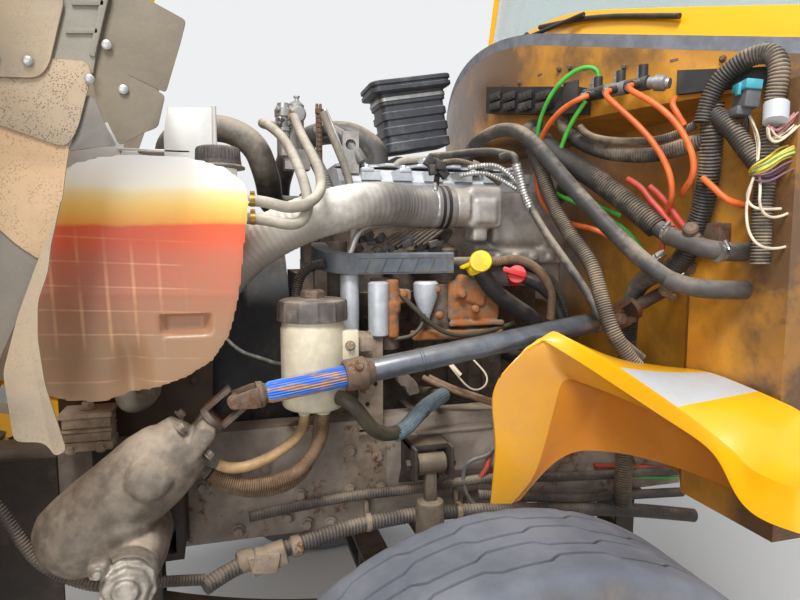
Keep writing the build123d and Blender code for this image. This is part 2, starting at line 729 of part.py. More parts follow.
# Weather strip that the closed hood rests over
with BuildPart() as cowl_strip:
    add(
        bowed_region(2, COWL_HALF - 2, 0, PLENUM_FLOOR, 1400)
        - bowed_region(2 + STRIP_DEPTH, COWL_HALF, 1, PLENUM_FLOOR - 1, 1401)
    )
    add(crown_solid(STRIP_HEIGHT), mode=Mode.INTERSECT)
    add(crown_solid(SEAT_GAP), mode=Mode.SUBTRACT)
write(cowl_strip.part, "cowl_strip")

# Windshield frame: a bowed, leaning panel with one wide opening
FRAME_DEPTH = 70.0
GLASS_LIFT = 95.0
LEAN_LOW = (-343.0, -84.0, 900.0)
LEAN_HIGH = (-118.0, 41.0, 880.0)


def screen_slab(front, back):
    """The leaning windshield surface between two depths behind its front."""
    with BuildPart() as piece:
        for (middle, side, half), z in ((LEAN_LOW, 900.0), (LEAN_HIGH, HEADER_TOP)):
            with BuildSketch(Plane.XY.offset(z)):
                with BuildLine():
                    ThreePointArc((side + front, -half), (middle + front, 0), (side + front, half))
                    Line((side + front, half), (side + back, half))
                    ThreePointArc((side + back, half), (middle + back, 0), (side + back, -half))
                    Line((side + back, -half), (side + front, -half))
                make_face()
        loft(ruled=True)
    return piece.part


def screen_opening(inset):
    """The window opening as a solid that reaches through the frame."""
    with BuildPart() as piece:
        block((-700, 300), (-850 + inset, 850 - inset), (900, GLASS_TOP + 5 - inset))
        add(crown_solid(GLASS_LIFT + inset), mode=Mode.SUBTRACT)
        fillet(piece.edges().filter_by(Axis.X), 60 - inset)
    return piece.part


def screen_x(y, z):
    """Front surface of the windshield panel at a place across and up it."""
    share = (z - 900) / (HEADER_TOP - 900)
    edges = []
    for middle, side, half in (LEAN_LOW, LEAN_HIGH):
        sag = side - middle
        bow = (half**2 + sag**2) / (2 * sag)
        edges.append(middle + bow - sqrt(bow**2 - y**2))
    return edges[0] + (edges[1] - edges[0]) * share


with BuildPart() as windshield_frame:
    add(screen_slab(0, FRAME_DEPTH))
    add(screen_opening(0), mode=Mode.SUBTRACT)
    add(crown_solid(SEAT_GAP), mode=Mode.SUBTRACT)
    block((0, 300), (-1000, 1000), (800, 1300), mode=Mode.SUBTRACT)
write(windshield_frame.part, "windshield_frame")

with BuildPart() as windshield_glass:
    add(screen_slab(24, 24 + GLASS_THICK))
    add(screen_opening(0.5), mode=Mode.INTERSECT)
write(windshield_glass.part, "windshield_glass")

# Wipers: two spindles on the cowl, each with an arm and a parked blade
WIPERS = ((-30.0, -610.0), (560.0, -20.0))
with BuildPart() as wipers:
    for pivot_y, tip_y in WIPERS:
        base_x = screen_x(pivot_y, 1180) - 48
        base_z = crown_z(base_x + 17, abs(pivot_y) - 17)
        rod((base_x, pivot_y, base_z + SEAT_GAP), (base_x, pivot_y, base_z + 34), 17)
        tip_z = max(crown_z(-280, tip_y), 1000) + 66
        root = (base_x, pivot_y, base_z + 28)
        middle_y = (pivot_y + tip_y) / 2
        middle_z = crown_z(-280, middle_y) + 84
        elbow = (screen_x(middle_y, middle_z) - 22, middle_y, middle_z)
        add(hose((root, (base_x - 6, pivot_y - 60, base_z + 42), elbow), 6))
        blade = []
        for share in (0.12, 0.55, 1.0):
            y = pivot_y + (tip_y - pivot_y) * share
            z = crown_z(-280, y) + 78
            blade.append((screen_x(y, z) - 15, y, z))
        add(hose(blade, 7))
write(wipers.part, "wipers")

# Rear fender extensions: a sloping cap, its front lip, an inner panel, a back wall and a skirt
CAP_BACK = CHEEK_X - SEAT_GAP
CAP_LINE = ((-646, 345), (-950, 180), (-1050, 85), (-1130, 76))
CAP_FRONT = ((-556, -640), (-443, -850), (-377, -950), (-358, -1050), (-350, -1135))


def cap_solid(lift):
    """Everything under the sloping cap of the left extension."""
    with BuildPart() as piece:
        with BuildSketch(Plane(origin=(-700, 0, 0), x_dir=(0, 1, 0), z_dir=(1, 0, 0))):
            with BuildLine():
                Polyline(*[(y, z + lift) for y, z in CAP_LINE], (-1130, -600), (-646, -600), close=True)
            make_face()
        extrude(amount=700)
    return piece.part


def cap_region(shift, back):
    """Plan area behind the slanting front of the cap, moved rearward by shift."""
    with BuildPart() as piece:
        with BuildSketch(Plane.XY.offset(-600)):
            with BuildLine():
                Polyline(*[(x + shift, y) for x, y in CAP_FRONT], (back, -1135), (back, -640), close=True)
            make_face()
        extrude(amount=1100)
    return piece.part


with BuildPart() as extensions:
    add((cap_solid(0) - cap_solid(-6)) & cap_region(0, CAP_BACK))
    add((cap_solid(0) - cap_solid(-42)) & (cap_region(0, CAP_BACK) - cap_region(6, CAP_BACK + 1)))
    add(
        plate(
            [(-690, 16), (-698, 228), (-645, 284), (-556, 345), (CAP_BACK, 345), (CAP_BACK, 60), (-475, 108), (-574, 54)],
            Plane.XZ.offset(646),
            6,
        )
    )
    add(
        plate(
            [(-650, 338), (-950, 175), (-1050, 80), (-1128, 71), (-1128, 40), (-954, 70), (-723, 52), (-650, 60)],
            Plane.YZ.offset(CAP_BACK - 6),
            6,
        )
    )
    block((CAP_BACK - 6, -60), (-1130, -COWL_HALF - 4), (70, 76))
    block((CAP_BACK - 6, -60), (-1130, -1124), (-420, 76))
    block((CAP_BACK - 6, CAP_BACK), (-1130, -COWL_HALF - 4), (-420, 75))
    mirror(about=Plane.XZ)
write(extensions.part, "fender_extensions")

# Surge tank: a blown plastic vessel with a filler neck and two hose spigots
TANK_OUTLINE = (
    # x, z
    (-1540, 360), (-1522, 330), (-1499, 316), (-1388, TANK_BOTTOM), (-1356, 321), (-1293, 377),
    (-1233, 456), (-1215, 566), (TANK_REAR, 669), (-1229, TANK_TOP), (-1439, TANK_TOP), (-1499, 678), (-1527, 603),
)
with BuildPart() as surge_tank:
    with BuildSketch(Plane.XZ.offset(-TANK_BACK)):
        with BuildLine():
            Polyline(*TANK_OUTLINE, close=True)
        make_face()
    extrude(amount=TANK_BACK - TANK_FACE)
    fillet(surge_tank.edges().filter_by(Axis.Y), 13)
    fillet(surge_tank.faces().sort_by(Axis.Y)[0].edges(), 16)
    fillet(surge_tank.faces().sort_by(Axis.Y)[-1].edges(), 10)
    rod((NECK_X, NECK_Y, TANK_TOP - 10), (NECK_X, NECK_Y, NECK_TOP), NECK_RADIUS)
    for z in (640, 606):
        rod((TANK_REAR - 20, SPIGOT_Y, z), (TANK_REAR + 15.7, SPIGOT_Y, z), 8)
write(surge_tank.part, "surge_tank")

with BuildPart() as surge_cap:
    rod((NECK_X, NECK_Y, NECK_TOP - 12), (NECK_X, NECK_Y, NECK_TOP + CAP_HEIGHT), CAP_RADIUS)
    rod(
        (NECK_X, NECK_Y, NECK_TOP - 13),
        (NECK_X, NECK_Y, NECK_TOP + SEAT_GAP),
        NECK_RADIUS + SEAT_GAP,
        mode=Mode.SUBTRACT,
    )
write(surge_cap.part, "surge_cap")

# Steering fluid reservoir and its lid with a hexagonal knob
RES_X, RES_Y = RESERVOIR
with BuildPart() as fluid_reservoir:
    rod((RES_X, RES_Y, RESERVOIR_BOTTOM), (RES_X, RES_Y, RESERVOIR_TOP), RESERVOIR_RADIUS)
    fillet(fluid_reservoir.edges().group_by(Axis.Z)[0], 10)
write(fluid_reservoir.part, "fluid_reservoir")

with BuildPart() as reservoir_lid:
    rod((RES_X, RES_Y, RESERVOIR_TOP + SEAT_GAP), (RES_X, RES_Y, RESERVOIR_TOP + LID_HEIGHT - 10), LID_RADIUS)
    rod((RES_X, RES_Y, RESERVOIR_TOP + LID_HEIGHT - 10), (RES_X, RES_Y, RESERVOIR_TOP + LID_HEIGHT), LID_RADIUS - 12)
    with BuildSketch(Plane((RES_X, RES_Y, RESERVOIR_TOP + LID_HEIGHT))):
        RegularPolygon(26, 6)
    extrude(amount=20)
write(reservoir_lid.part, "reservoir_lid")

# Brackets that hold the tank off the radiator and the reservoir off the rail
with BuildPart() as tank_brackets:
    block((-1440, -1300), (TANK_BACK + SEAT_GAP, TANK_BACK + 6), (560, 660))
    block((-1440, -1370), (TANK_BACK + 6, -CORE_HALF - 20 - SEAT_GAP), (600, 606))
    block((-1440, -1434), (TANK_BACK + 6, -CORE_HALF - 20 - SEAT_GAP), (560, 640))
    block((-1436, -1336), (-CORE_HALF - 26, -CORE_HALF - 20 - SEAT_GAP), (560, 660))
    with BuildSketch(Plane((RES_X, RES_Y, 296))):
        Circle(RESERVOIR_RADIUS + 6)
        Circle(RESERVOIR_RADIUS + SEAT_GAP, mode=Mode.SUBTRACT)
    extrude(amount=36)
    block((RES_X - 20, -880), (RES_Y + RESERVOIR_RADIUS + 4, -436), (296, 332))
    block((-935, -880), (-446, -436), (110, 343))
    block((-935, -880), (-446, -RAIL_OUTER - SEAT_GAP), (100, 118))
    block((-972, -869), (-RAIL_OUTER - 8, -RAIL_OUTER - SEAT_GAP), (-60, 118))
write(tank_brackets.part, "tank_brackets")

# Steering gear: a slanted barrel with its valve end, and the cross housing of the sector shaft
GEAR_RUN = Vector(cos(radians(GEAR_TILT)), 0, sin(radians(GEAR_TILT)))
GEAR_TOP = Vector(JOINT_LOW[0], JOINT_LOW[1], JOINT_LOW[2])


def along_gear(distance):
    """A point on the gear's input line, measured back from the lower joint."""
    return tuple(GEAR_TOP - GEAR_RUN * distance)


with BuildPart() as steering_gear:
    rod(along_gear(415), along_gear(150), BARREL_RADIUS)
    rod(along_gear(428), along_gear(414), BARREL_RADIUS - 18)
    rod(along_gear(151), along_gear(100), 62)
    rod(along_gear(101), along_gear(85), 34)
    rod((SECTOR_X, -720, SECTOR_Z), (SECTOR_X, -545.3, SECTOR_Z), SECTOR_RADIUS)
    rod((SECTOR_X, -722, SECTOR_Z), (SECTOR_X, -719, SECTOR_Z), 30)
    rod((SECTOR_X, -770, SECTOR_Z), (SECTOR_X, -719, SECTOR_Z), 20)
    rod((-1300, -608, 147), (-1262, -608, 121), 13)
    rod((-1318, -590, 128), (-1282, -590, 98), 13)
write(steering_gear.part, "steering_gear")

with BuildPart() as gear_bracket:
    block((-1495, -1335), (-545, -RAIL_OUTER - SEAT_GAP), (-100, 72))
    block((-1480, -1350), (-546, -RAIL_OUTER - 16), (-85, -5), mode=Mode.SUBTRACT)
    block((-1520, -1330), (-RAIL_OUTER - 16, -RAIL_OUTER - SEAT_GAP), (-110, 118))
    rod((SECTOR_X, -545, SECTOR_Z), (SECTOR_X, -520, SECTOR_Z), SECTOR_RADIUS + 4)
write(gear_bracket.part, "gear_bracket")


def fork(centre, run, ears, radius=28.0):
    """Two ears and their base plate round a joint centre, with the ears set along one direction."""
    with BuildPart() as piece:
        with Locations(Plane(centre, x_dir=ears, z_dir=run)):
            with Locations((24, 0, (YOKE_REACH - 10) / 2), (-24, 0, (YOKE_REACH - 10) / 2)):
                Box(9, 24, YOKE_REACH + 12)
            with Locations((0, 0, YOKE_REACH + 6)):
                Cylinder(radius, 12)
    return piece.part


# Steering shaft between the two universal joints, with its slip collar
SHAFT_RUN = Vector(*JOINT_HIGH) - Vector(*JOINT_LOW)
SHAFT_DIR = SHAFT_RUN.normalized()
ACROSS = (0, 1, 0)


def along_shaft(distance):
    """A point on the steering shaft, measured up from the lower joint."""
    return tuple(Vector(*JOINT_LOW) + SHAFT_DIR * distance)


EAR_SIDE = tuple((Vector(*ACROSS) - SHAFT_DIR * SHAFT_DIR.dot(Vector(*ACROSS))).normalized())
EAR_LOW = Vector(*JOINT_LOW)
EAR_HIGH = Vector(*JOINT_HIGH)
COLLAR_AT = 228.0
with BuildPart() as steering_shaft:
    add(fork(JOINT_LOW, tuple(SHAFT_DIR), EAR_SIDE))
    add(fork(JOINT_HIGH, tuple(SHAFT_DIR * -1), EAR_SIDE))
    rod(along_shaft(YOKE_REACH + 11), along_shaft(COLLAR_AT + 4), SPLINE_RADIUS)
    rod(along_shaft(COLLAR_AT), along_shaft(COLLAR_AT + 44), COLLAR_RADIUS)
    rod(along_shaft(COLLAR_AT + 40), along_shaft(SHAFT_RUN.length - YOKE_REACH - 11), SHAFT_RADIUS)
    for end in (EAR_LOW, EAR_HIGH):
        rod(tuple(end - Vector(*EAR_SIDE) * 28), tuple(end + Vector(*EAR_SIDE) * 28), 7)
        with Locations(tuple(end)):
            Sphere(14)
write(steering_shaft.part, "steering_shaft")


def end_yoke(centre, run, reach):
    """The outer yoke of a joint: ears square to the shaft's own, with pin stubs and a stem."""
    direction = Vector(*run).normalized()
    ears = direction.cross(Vector(*EAR_SIDE)).normalized()
    with BuildPart() as piece:
        add(fork(centre, tuple(direction), tuple(ears)))
        for side in (-1, 1):
            rod(
                tuple(Vector(*centre) + ears * (16 * side)),
                tuple(Vector(*centre) + ears * (28 * side)),
                7,
            )
        rod(
            tuple(Vector(*centre) + direction * (YOKE_REACH + 11)),
            tuple(Vector(*centre) + direction * reach),
            15,
        )
    return piece.part


COLUMN_RUN = Vector(cos(radians(24)), 0, sin(radians(24)))
write(end_yoke(JOINT_LOW, tuple(GEAR_RUN * -1), 84.7), "gear_yoke")
write(end_yoke(JOINT_HIGH, tuple(COLUMN_RUN), 270), "column_yoke")

# Pitman arm: from the sector shaft down and inboard to its ball
PITMAN_LENGTH = SECTOR_Z - DRAG_Z
with BuildPart() as pitman_arm:
    rod((SECTOR_X, -760, SECTOR_Z), (SECTOR_X, -724, SECTOR_Z), 46)
    block((SECTOR_X - 23, SECTOR_X + 23), (-760, -730), (SECTOR_Z - 125, SECTOR_Z - 20))
    with BuildSketch(Plane.YZ.offset(SECTOR_X - 19)):
        with BuildLine():
            Polyline(
                (-760, SECTOR_Z - 124),
                (-730, SECTOR_Z - 124),
                (-625, DRAG_Z + 14),
                (-625, DRAG_Z - 22),
                (-650, DRAG_Z - 22),
                (-760, SECTOR_Z - 150),
                close=True,
            )
        make_face()
    extrude(amount=38)
    rod((SECTOR_X, -650, DRAG_Z), (SECTOR_X, -PITMAN_BALL_Y - 28, DRAG_Z), 24)
    rod((SECTOR_X, -640, DRAG_Z), (SECTOR_X, -PITMAN_BALL_Y + 22, DRAG_Z), 9)
    rod((SECTOR_X, -780, SECTOR_Z), (SECTOR_X, -759, SECTOR_Z), 30)
    rod((SECTOR_X, -772, SECTOR_Z), (SECTOR_X, -723, SECTOR_Z), 20 + RUN_GAP, mode=Mode.SUBTRACT)
write(pitman_arm.part, "pitman_arm")

# Drag link between the pitman ball and the steering arm
with BuildPart() as drag_link:
    rod((SECTOR_X, -PITMAN_BALL_Y, DRAG_Z), (AXLE_X, -DRAG_BALL_Y, DRAG_Z), DRAG_RADIUS)
    rod((SECTOR_X, -PITMAN_BALL_Y - 24, DRAG_Z), (SECTOR_X, -PITMAN_BALL_Y + 18, DRAG_Z), 26)
    rod((AXLE_X, -DRAG_BALL_Y, DRAG_Z - 16), (AXLE_X, -DRAG_BALL_Y, DRAG_Z + 22), 26)
    rod((SECTOR_X, -PITMAN_BALL_Y - 40, DRAG_Z), (SECTOR_X, -PITMAN_BALL_Y + 40, DRAG_Z), 9 + RUN_GAP, mode=Mode.SUBTRACT)
write(drag_link.part, "drag_link")

# Front axle: a forged beam with spring seats and a boss at each kingpin
BEAM_Z = -470.0
BOSS_HALF = 60.0
with BuildPart() as front_axle:
    block((AXLE_X - BEAM_WIDTH / 2, AXLE_X + BEAM_WIDTH / 2), (-720, 720), (BEAM_Z - BEAM_HEIGHT / 2, BEAM_Z + BEAM_HEIGHT / 2))
    for side in (-1, 1):
        for face in (-1, 1):
            block(
                sorted((AXLE_X + face * 14, AXLE_X + face * (BEAM_WIDTH / 2 + 1))),
                sorted((side * 20, side * 330)),
                (BEAM_Z - 29, BEAM_Z + 29),
                mode=Mode.SUBTRACT,
            )
            block(
                sorted((AXLE_X + face * 14, AXLE_X + face * (BEAM_WIDTH / 2 + 1))),
                sorted((side * 450, side * 700)),
                (BEAM_Z - 29, BEAM_Z + 29),
                mode=Mode.SUBTRACT,
            )
    for side in (-1, 1):
        with BuildSketch(Plane.YZ.offset(AXLE_X - 36)):
            with BuildLine():
                Polyline(
                    (side * 719, BEAM_Z - BEAM_HEIGHT / 2),
                    (side * 719, BEAM_Z + BEAM_HEIGHT / 2),
                    (side * 800, WHEEL_Z + BOSS_HALF),
                    (side * KINGPIN_Y, WHEEL_Z + BOSS_HALF),
                    (side * KINGPIN_Y, WHEEL_Z - BOSS_HALF),
                    (side * 830, WHEEL_Z - BOSS_HALF),
                    close=True,
                )
            make_face()
        extrude(amount=72)
        rod((AXLE_X, side * KINGPIN_Y, WHEEL_Z - BOSS_HALF), (AXLE_X, side * KINGPIN_Y, WHEEL_Z + BOSS_HALF), 40)
        rod((AXLE_X, side * KINGPIN_Y, WHEEL_Z - 104), (AXLE_X, side * KINGPIN_Y, WHEEL_Z + 104), 17)
write(front_axle.part, "front_axle")

# Leaf springs: stacked arcs, a spring seat with U bolts, and their hangers under the rails
SPRING_LONG = 620.0
SPRING_EYE_Z = -262.0
SPRING_LOW_Z = -367.0
SPRING_SAG = SPRING_EYE_Z - SPRING_LOW_Z
SPRING_BOW = (SPRING_LONG**2 + SPRING_SAG**2) / (2 * SPRING_SAG)


def leaf_outline(inner, half):
    """Corners and middles of one leaf that is centred on the axle."""
    centre_z = SPRING_LOW_Z + SPRING_BOW
    spots = []
    for radius in (inner, inner + LEAF_THICK):
        rise = sqrt(radius**2 - half**2)
        spots.append((AXLE_X - half, centre_z - rise))
        spots.append((AXLE_X, centre_z - radius))
        spots.append((AXLE_X + half, centre_z - rise))
    return spots


with BuildPart() as leaf_springs:
    for number in range(LEAVES):
        spots = leaf_outline(SPRING_BOW + number * LEAF_THICK, SPRING_LONG - 125 * number)
        with BuildSketch(Plane.XZ.offset(SPRING_Y - SPRING_WIDTH / 2)):
            with BuildLine():
                ThreePointArc(*spots[:3])
                Line(spots[2], spots[5])
                ThreePointArc(*spots[:2:-1])
                Line(spots[3], spots[0])
            make_face()
        extrude(amount=SPRING_WIDTH)
    for end in (-1, 1):
        eye = AXLE_X + end * SPRING_LONG
        rod((eye, -SPRING_Y - SPRING_WIDTH / 2, SPRING_EYE_Z), (eye, -SPRING_Y + SPRING_WIDTH / 2, SPRING_EYE_Z), 24)
        for face in (-1, 1):
            edge = -SPRING_Y + face * SPRING_WIDTH / 2
            block((eye - 28, eye + 28), sorted((edge, edge + face * 8)), (SPRING_EYE_Z - 26, -RAIL_HEIGHT / 2 - SEAT_GAP))
        block((eye - 50, eye + 50), (-SPRING_Y - SPRING_WIDTH / 2 - 8, -SPRING_Y + SPRING_WIDTH / 2 + 8), (-148, -RAIL_HEIGHT / 2 - SEAT_GAP))
    stack_low = SPRING_LOW_Z - LEAVES * LEAF_THICK
    block((AXLE_X - 90, AXLE_X + 90), (-SPRING_Y - SPRING_WIDTH / 2, -SPRING_Y + SPRING_WIDTH / 2), (BEAM_Z + BEAM_HEIGHT / 2 + SEAT_GAP, stack_low + 8))
    block((AXLE_X - 90, AXLE_X + 90), (-SPRING_Y - SPRING_WIDTH / 2, -SPRING_Y + SPRING_WIDTH / 2), (SPRING_LOW_Z - 4, SPRING_LOW_Z + 18))
    for place in (-60, 60):
        for face in (-1, 1):
            rod(
                (AXLE_X + place, -SPRING_Y + face * (SPRING_WIDTH / 2 + 8), BEAM_Z - BEAM_HEIGHT / 2 - 40),
                (AXLE_X + place, -SPRING_Y + face * (SPRING_WIDTH / 2 + 8), SPRING_LOW_Z + 22),
                8,
            )
        rod(
            (AXLE_X + place, -SPRING_Y - SPRING_WIDTH / 2 - 8, SPRING_LOW_Z + 22),
            (AXLE_X + place, -SPRING_Y + SPRING_WIDTH / 2 + 8, SPRING_LOW_Z + 22),
            8,
        )
    block((AXLE_X - 80, AXLE_X + 80), (-SPRING_Y - 60, -SPRING_Y + 60), (BEAM_Z - BEAM_HEIGHT / 2 - 18, BEAM_Z - BEAM_HEIGHT / 2 - SEAT_GAP))
    mirror(about=Plane.XZ)
write(leaf_springs.part, "leaf_springs")

# Shock absorbers: clevis on the rail, rod, body and an eye on the axle
SHOCK_X = -788.0
with BuildPart() as shock_absorbers:
    block((SHOCK_X - 48, SHOCK_X + 48), (-SHOCK_Y - 4, -RAIL_OUTER - SEAT_GAP), (78, 92))
    block((SHOCK_X - 48, SHOCK_X + 48), (-RAIL_OUTER - 12, -RAIL_OUTER - SEAT_GAP), (-10, 92))
    block((SHOCK_X - 48, SHOCK_X - 38), (-SHOCK_Y - 34, -SHOCK_Y + 34), (12, 92))
    block((SHOCK_X + 38, SHOCK_X + 48), (-SHOCK_Y - 34, -SHOCK_Y + 34), (12, 92))
    rod((SHOCK_X - 60, -SHOCK_Y, 46), (SHOCK_X + 60, -SHOCK_Y, 46), 9)
    rod((SHOCK_X - 37, -SHOCK_Y, 46), (SHOCK_X + 37, -SHOCK_Y, 46), 22)
    rod((SHOCK_X, -SHOCK_Y, -60), (SHOCK_X, -SHOCK_Y, 46), 12)
    rod((SHOCK_X, -SHOCK_Y, -150), (SHOCK_X, -SHOCK_Y, -45), SHOCK_RADIUS)
    rod((SHOCK_X, -SHOCK_Y, -385), (SHOCK_X, -SHOCK_Y, -150), SHOCK_RADIUS - 5)
    rod((SHOCK_X, -SHOCK_Y, BEAM_Z + BEAM_HEIGHT / 2 + SEAT_GAP), (SHOCK_X, -SHOCK_Y, -384), 20)
    mirror(about=Plane.XZ)
write(shock_absorbers.part, "shock_absorbers")

# Steering knuckles: two ears round the axle boss, a spindle, and the arms for the links
EAR_GAP = 5.0
EAR_THICK = 40.0
SPINDLE_RADIUS = 34.0
SPINDLE_END = 1140.0


def knuckle(side):
    """The knuckle of one side, without the steering arm."""
    with BuildPart() as piece:
        for face in (-1, 1):
            near = WHEEL_Z + face * (BOSS_HALF + EAR_GAP)
            far = near + face * EAR_THICK
            rod((AXLE_X, side * KINGPIN_Y, near), (AXLE_X, side * KINGPIN_Y, far), 44)
            block((AXLE_X - 40, AXLE_X + 40), sorted((side * KINGPIN_Y, side * 950)), sorted((near, far)))
        block((AXLE_X - 52, AXLE_X + 52), sorted((side * 938, side * 956)), (WHEEL_Z - 105, WHEEL_Z + 105))
        rod((AXLE_X, side * 940, WHEEL_Z), (AXLE_X, side * SPINDLE_END, WHEEL_Z), SPINDLE_RADIUS)
        rod(
            (AXLE_X, side * KINGPIN_Y, TIE_Z),
            (TIE_X, side * TIE_BALL_Y, TIE_Z),
            15,
        )
        rod((TIE_X, side * TIE_BALL_Y, TIE_Z - 18), (TIE_X, side * TIE_BALL_Y, TIE_Z + 18), 22)
        rod((TIE_X, side * TIE_BALL_Y, TIE_Z + 17), (TIE_X, side * TIE_BALL_Y, TIE_Z + 22), 14)
        rod(
            (AXLE_X, side * KINGPIN_Y, WHEEL_Z - 106),
            (AXLE_X, side * KINGPIN_Y, WHEEL_Z + 106),
            17 + RUN_GAP,
            mode=Mode.SUBTRACT,
        )
    return piece.part


STEER_ARM_Z = DRAG_Z - 44
with BuildPart() as knuckle_left:
    add(knuckle(-1))
    rod((AXLE_X, -KINGPIN_Y + 20, STEER_ARM_Z), (AXLE_X, -DRAG_BALL_Y, STEER_ARM_Z), 18)
    rod((AXLE_X, -DRAG_BALL_Y, STEER_ARM_Z - 21), (AXLE_X, -DRAG_BALL_Y, STEER_ARM_Z + 21), 24)
write(knuckle_left.part, "knuckle_left")
write(knuckle(1), "knuckle_right")

# Tie rod between the two knuckles, above their arm ends
with BuildPart() as tie_rod:
    rod((TIE_X, -TIE_BALL_Y + 24, TIE_Z + 44), (TIE_X, TIE_BALL_Y - 24, TIE_Z + 44), TIE_RADIUS)
    for side in (-1, 1):
        rod((TIE_X, side * TIE_BALL_Y, TIE_Z + 25), (TIE_X, side * TIE_BALL_Y, TIE_Z + 66), 27)
write(tie_rod.part, "tie_rod")

# Wheels: a drop-centre rim with its disc, hub and studs, and the tyre
HALF_TYRE = TYRE_WIDTH / 2
DISC_Y = 1088.0
HUB_END = 1150.0


def tyre(side):
    """Tyre as a revolved casing with tread grooves and rounded shoulders."""
    with BuildPart() as piece:
        with BuildSketch(Plane.XY):
            with BuildLine():
                Polyline(
                    (RIM_RADIUS + SEAT_GAP, -98),
                    (RIM_RADIUS + 12.5, -107),
                    (RIM_RADIUS + 13, -114),
                    (380, -HALF_TYRE),
                    (445, -HALF_TYRE),
                    (488, -118),
                    (TYRE_RADIUS - 4, -108),
                    (TYRE_RADIUS, -60),
                    (TYRE_RADIUS, 60),
                    (TYRE_RADIUS - 4, 108),
                    (488, 118),
                    (445, HALF_TYRE),
                    (380, HALF_TYRE),
                    (RIM_RADIUS + 13, 114),
                    (RIM_RADIUS + 12.5, 107),
                    (RIM_RADIUS + SEAT_GAP, 98),
                    close=True,
                )
            make_face()
            with Locations((TYRE_RADIUS, 0), (TYRE_RADIUS, -52), (TYRE_RADIUS, 52)):
                Rectangle(18, 9, mode=Mode.SUBTRACT)
        revolve(axis=Axis.Y)
    return piece.part.moved(Location((AXLE_X, side * WHEEL_Y, WHEEL_Z)))


def rim(side):
    """Rim barrel, disc with hand holes, hub, brake drum and studs of one wheel."""
    with BuildPart() as piece:
        with BuildSketch(Plane.XY):
            with BuildLine():
                Polyline(
                    (RIM_RADIUS + 12, -114),
                    (RIM_RADIUS + 12, -108),
                    (RIM_RADIUS, -99),
                    (RIM_RADIUS, 99),
                    (RIM_RADIUS + 12, 108),
                    (RIM_RADIUS + 12, 114),
                    (RIM_RADIUS - 6, 103),
                    (RIM_RADIUS - 6, -103),
                    close=True,
                )
            make_face()
        revolve(axis=Axis.Y)
        with Locations(Plane((0, DISC_Y - WHEEL_Y, 0), x_dir=(1, 0, 0), z_dir=(0, 1, 0))):
            Cylinder(RIM_RADIUS - 5, 12)
            with PolarLocations(210, 5):
                Hole(32, depth=30)
        rod((0, -52, 0), (0, HUB_END - WHEEL_Y, 0), 78)
        rod((0, HUB_END - WHEEL_Y, 0), (0, HUB_END - WHEEL_Y + 14, 0), 52)
        rod((0, -52, 0), (0, 40, 0), 205)
        rod((0, -53, 0), (0, 30, 0), 190, mode=Mode.SUBTRACT)
        rod((0, -52, 0), (0, 31, 0), 78)
        rod((0, -53, 0), (0, SPINDLE_END - WHEEL_Y + 2, 0), SPINDLE_RADIUS + RUN_GAP, mode=Mode.SUBTRACT)
        with Locations(Plane((0, DISC_Y - WHEEL_Y + 20, 0), x_dir=(1, 0, 0), z_dir=(0, 1, 0))):
            with PolarLocations(143, 10):
                Cylinder(15, 32)
    wheel = piece.part
    if side < 0:
        wheel = mirrored(wheel)
    return wheel.moved(Location((AXLE_X, side * WHEEL_Y, WHEEL_Z)))


write(tyre(-1), "tyre_left")
write(rim(-1), "rim_left")
write(tyre(1), "tyre_right")
write(rim(1), "rim_right")

# Relay box, air manifold, end rail and connector block along the bowed front of the cowl
def bowed_plate(start_y, end_y, corners, gap, thickness):
    """A plate whose back stands a gap ahead of the bowed cowl, with corners as run and height."""
    start = Vector(arc_x(start_y) - gap, start_y, 0)
    run = Vector(arc_x(end_y) - gap, end_y, 0) - start
    return plate(
        [(share * run.length, z) for share, z in corners],
        Plane(start, x_dir=run, z_dir=run.cross(Vector(0, 0, 1))),
        thickness,
    )


with BuildPart() as relay_box:
    add(bowed_plate(-162, -519, ((0, 925), (0, 999), (1, 924), (1, 862)), 14, 46))
    for y, z in ((-210, 950), (-470, 895)):
        rod((arc_x(y) - 20, y, z), (arc_x(abs(y) - 12) - SEAT_GAP, y, z), 12)
    add(bowed_plate(-717, -872, ((0, 871), (0, 920), (1, 894), (1, 863)), 5, 16))
    for y, z in ((-735, 890), (-855, 878)):
        rod((arc_x(y) - 12, y, z), (arc_x(abs(y) - 9) - SEAT_GAP, y, z), 9)
    rod((-402, -524, 905), (-352, -690, 900), 15)
    rod((-352, -690, 900), (-330, -726, 892), 11)
    for y in (-560, -620, -675):
        x = -402 + (-524 - y) * 50 / 166
        rod((x, y, 903), (x, y, 940), 10)
        rod((x, y, 903), (x - 26, y, 896), 9)
write(relay_box.part, "relay_box")

# Corrugated looms on the cowl, from the top of the relay box down to the frame
with BuildPart() as cowl_looms:
    add(
        hose(
            (
                (-288, -803, 836),
                (-286, -804, 770),
                (-272, -784, 676),
                (-264, -754, 600),
                (-262, -705, 505),
                (-262, -610, 484),
                (-255, -530, 440),
                (-250, -508, 300),
                (-242, -506, 100),
                (-242, -506, -134),
            ),
            23,
        )
    )
    add(
        hose(
            (
                (-306, -800, 800),
                (-298, -806, 862),
                (-276, -855, 908),
                (-250, -900, 916),
                (-250, -924, 880),
                (-252, -914, 810),
                (-256, -911, 700),
                (-258, -908, 600),
                (-258, -911, 520),
            ),
            18,
        )
    )
    add(hose(((-290, -810, 815), (-284, -848, 786), (-274, -872, 745), (-262, -900, 706)), 18))
    add(
        hose(
            (
                (-418, -445, 871),
                (-418, -447, 840),
                (-390, -548, 775),
                (-353, -646, 752),
                (-322, -715, 750),
                (-290, -795, 768),
            ),
            17,
        )
    )
write(cowl_looms.part, "cowl_looms")

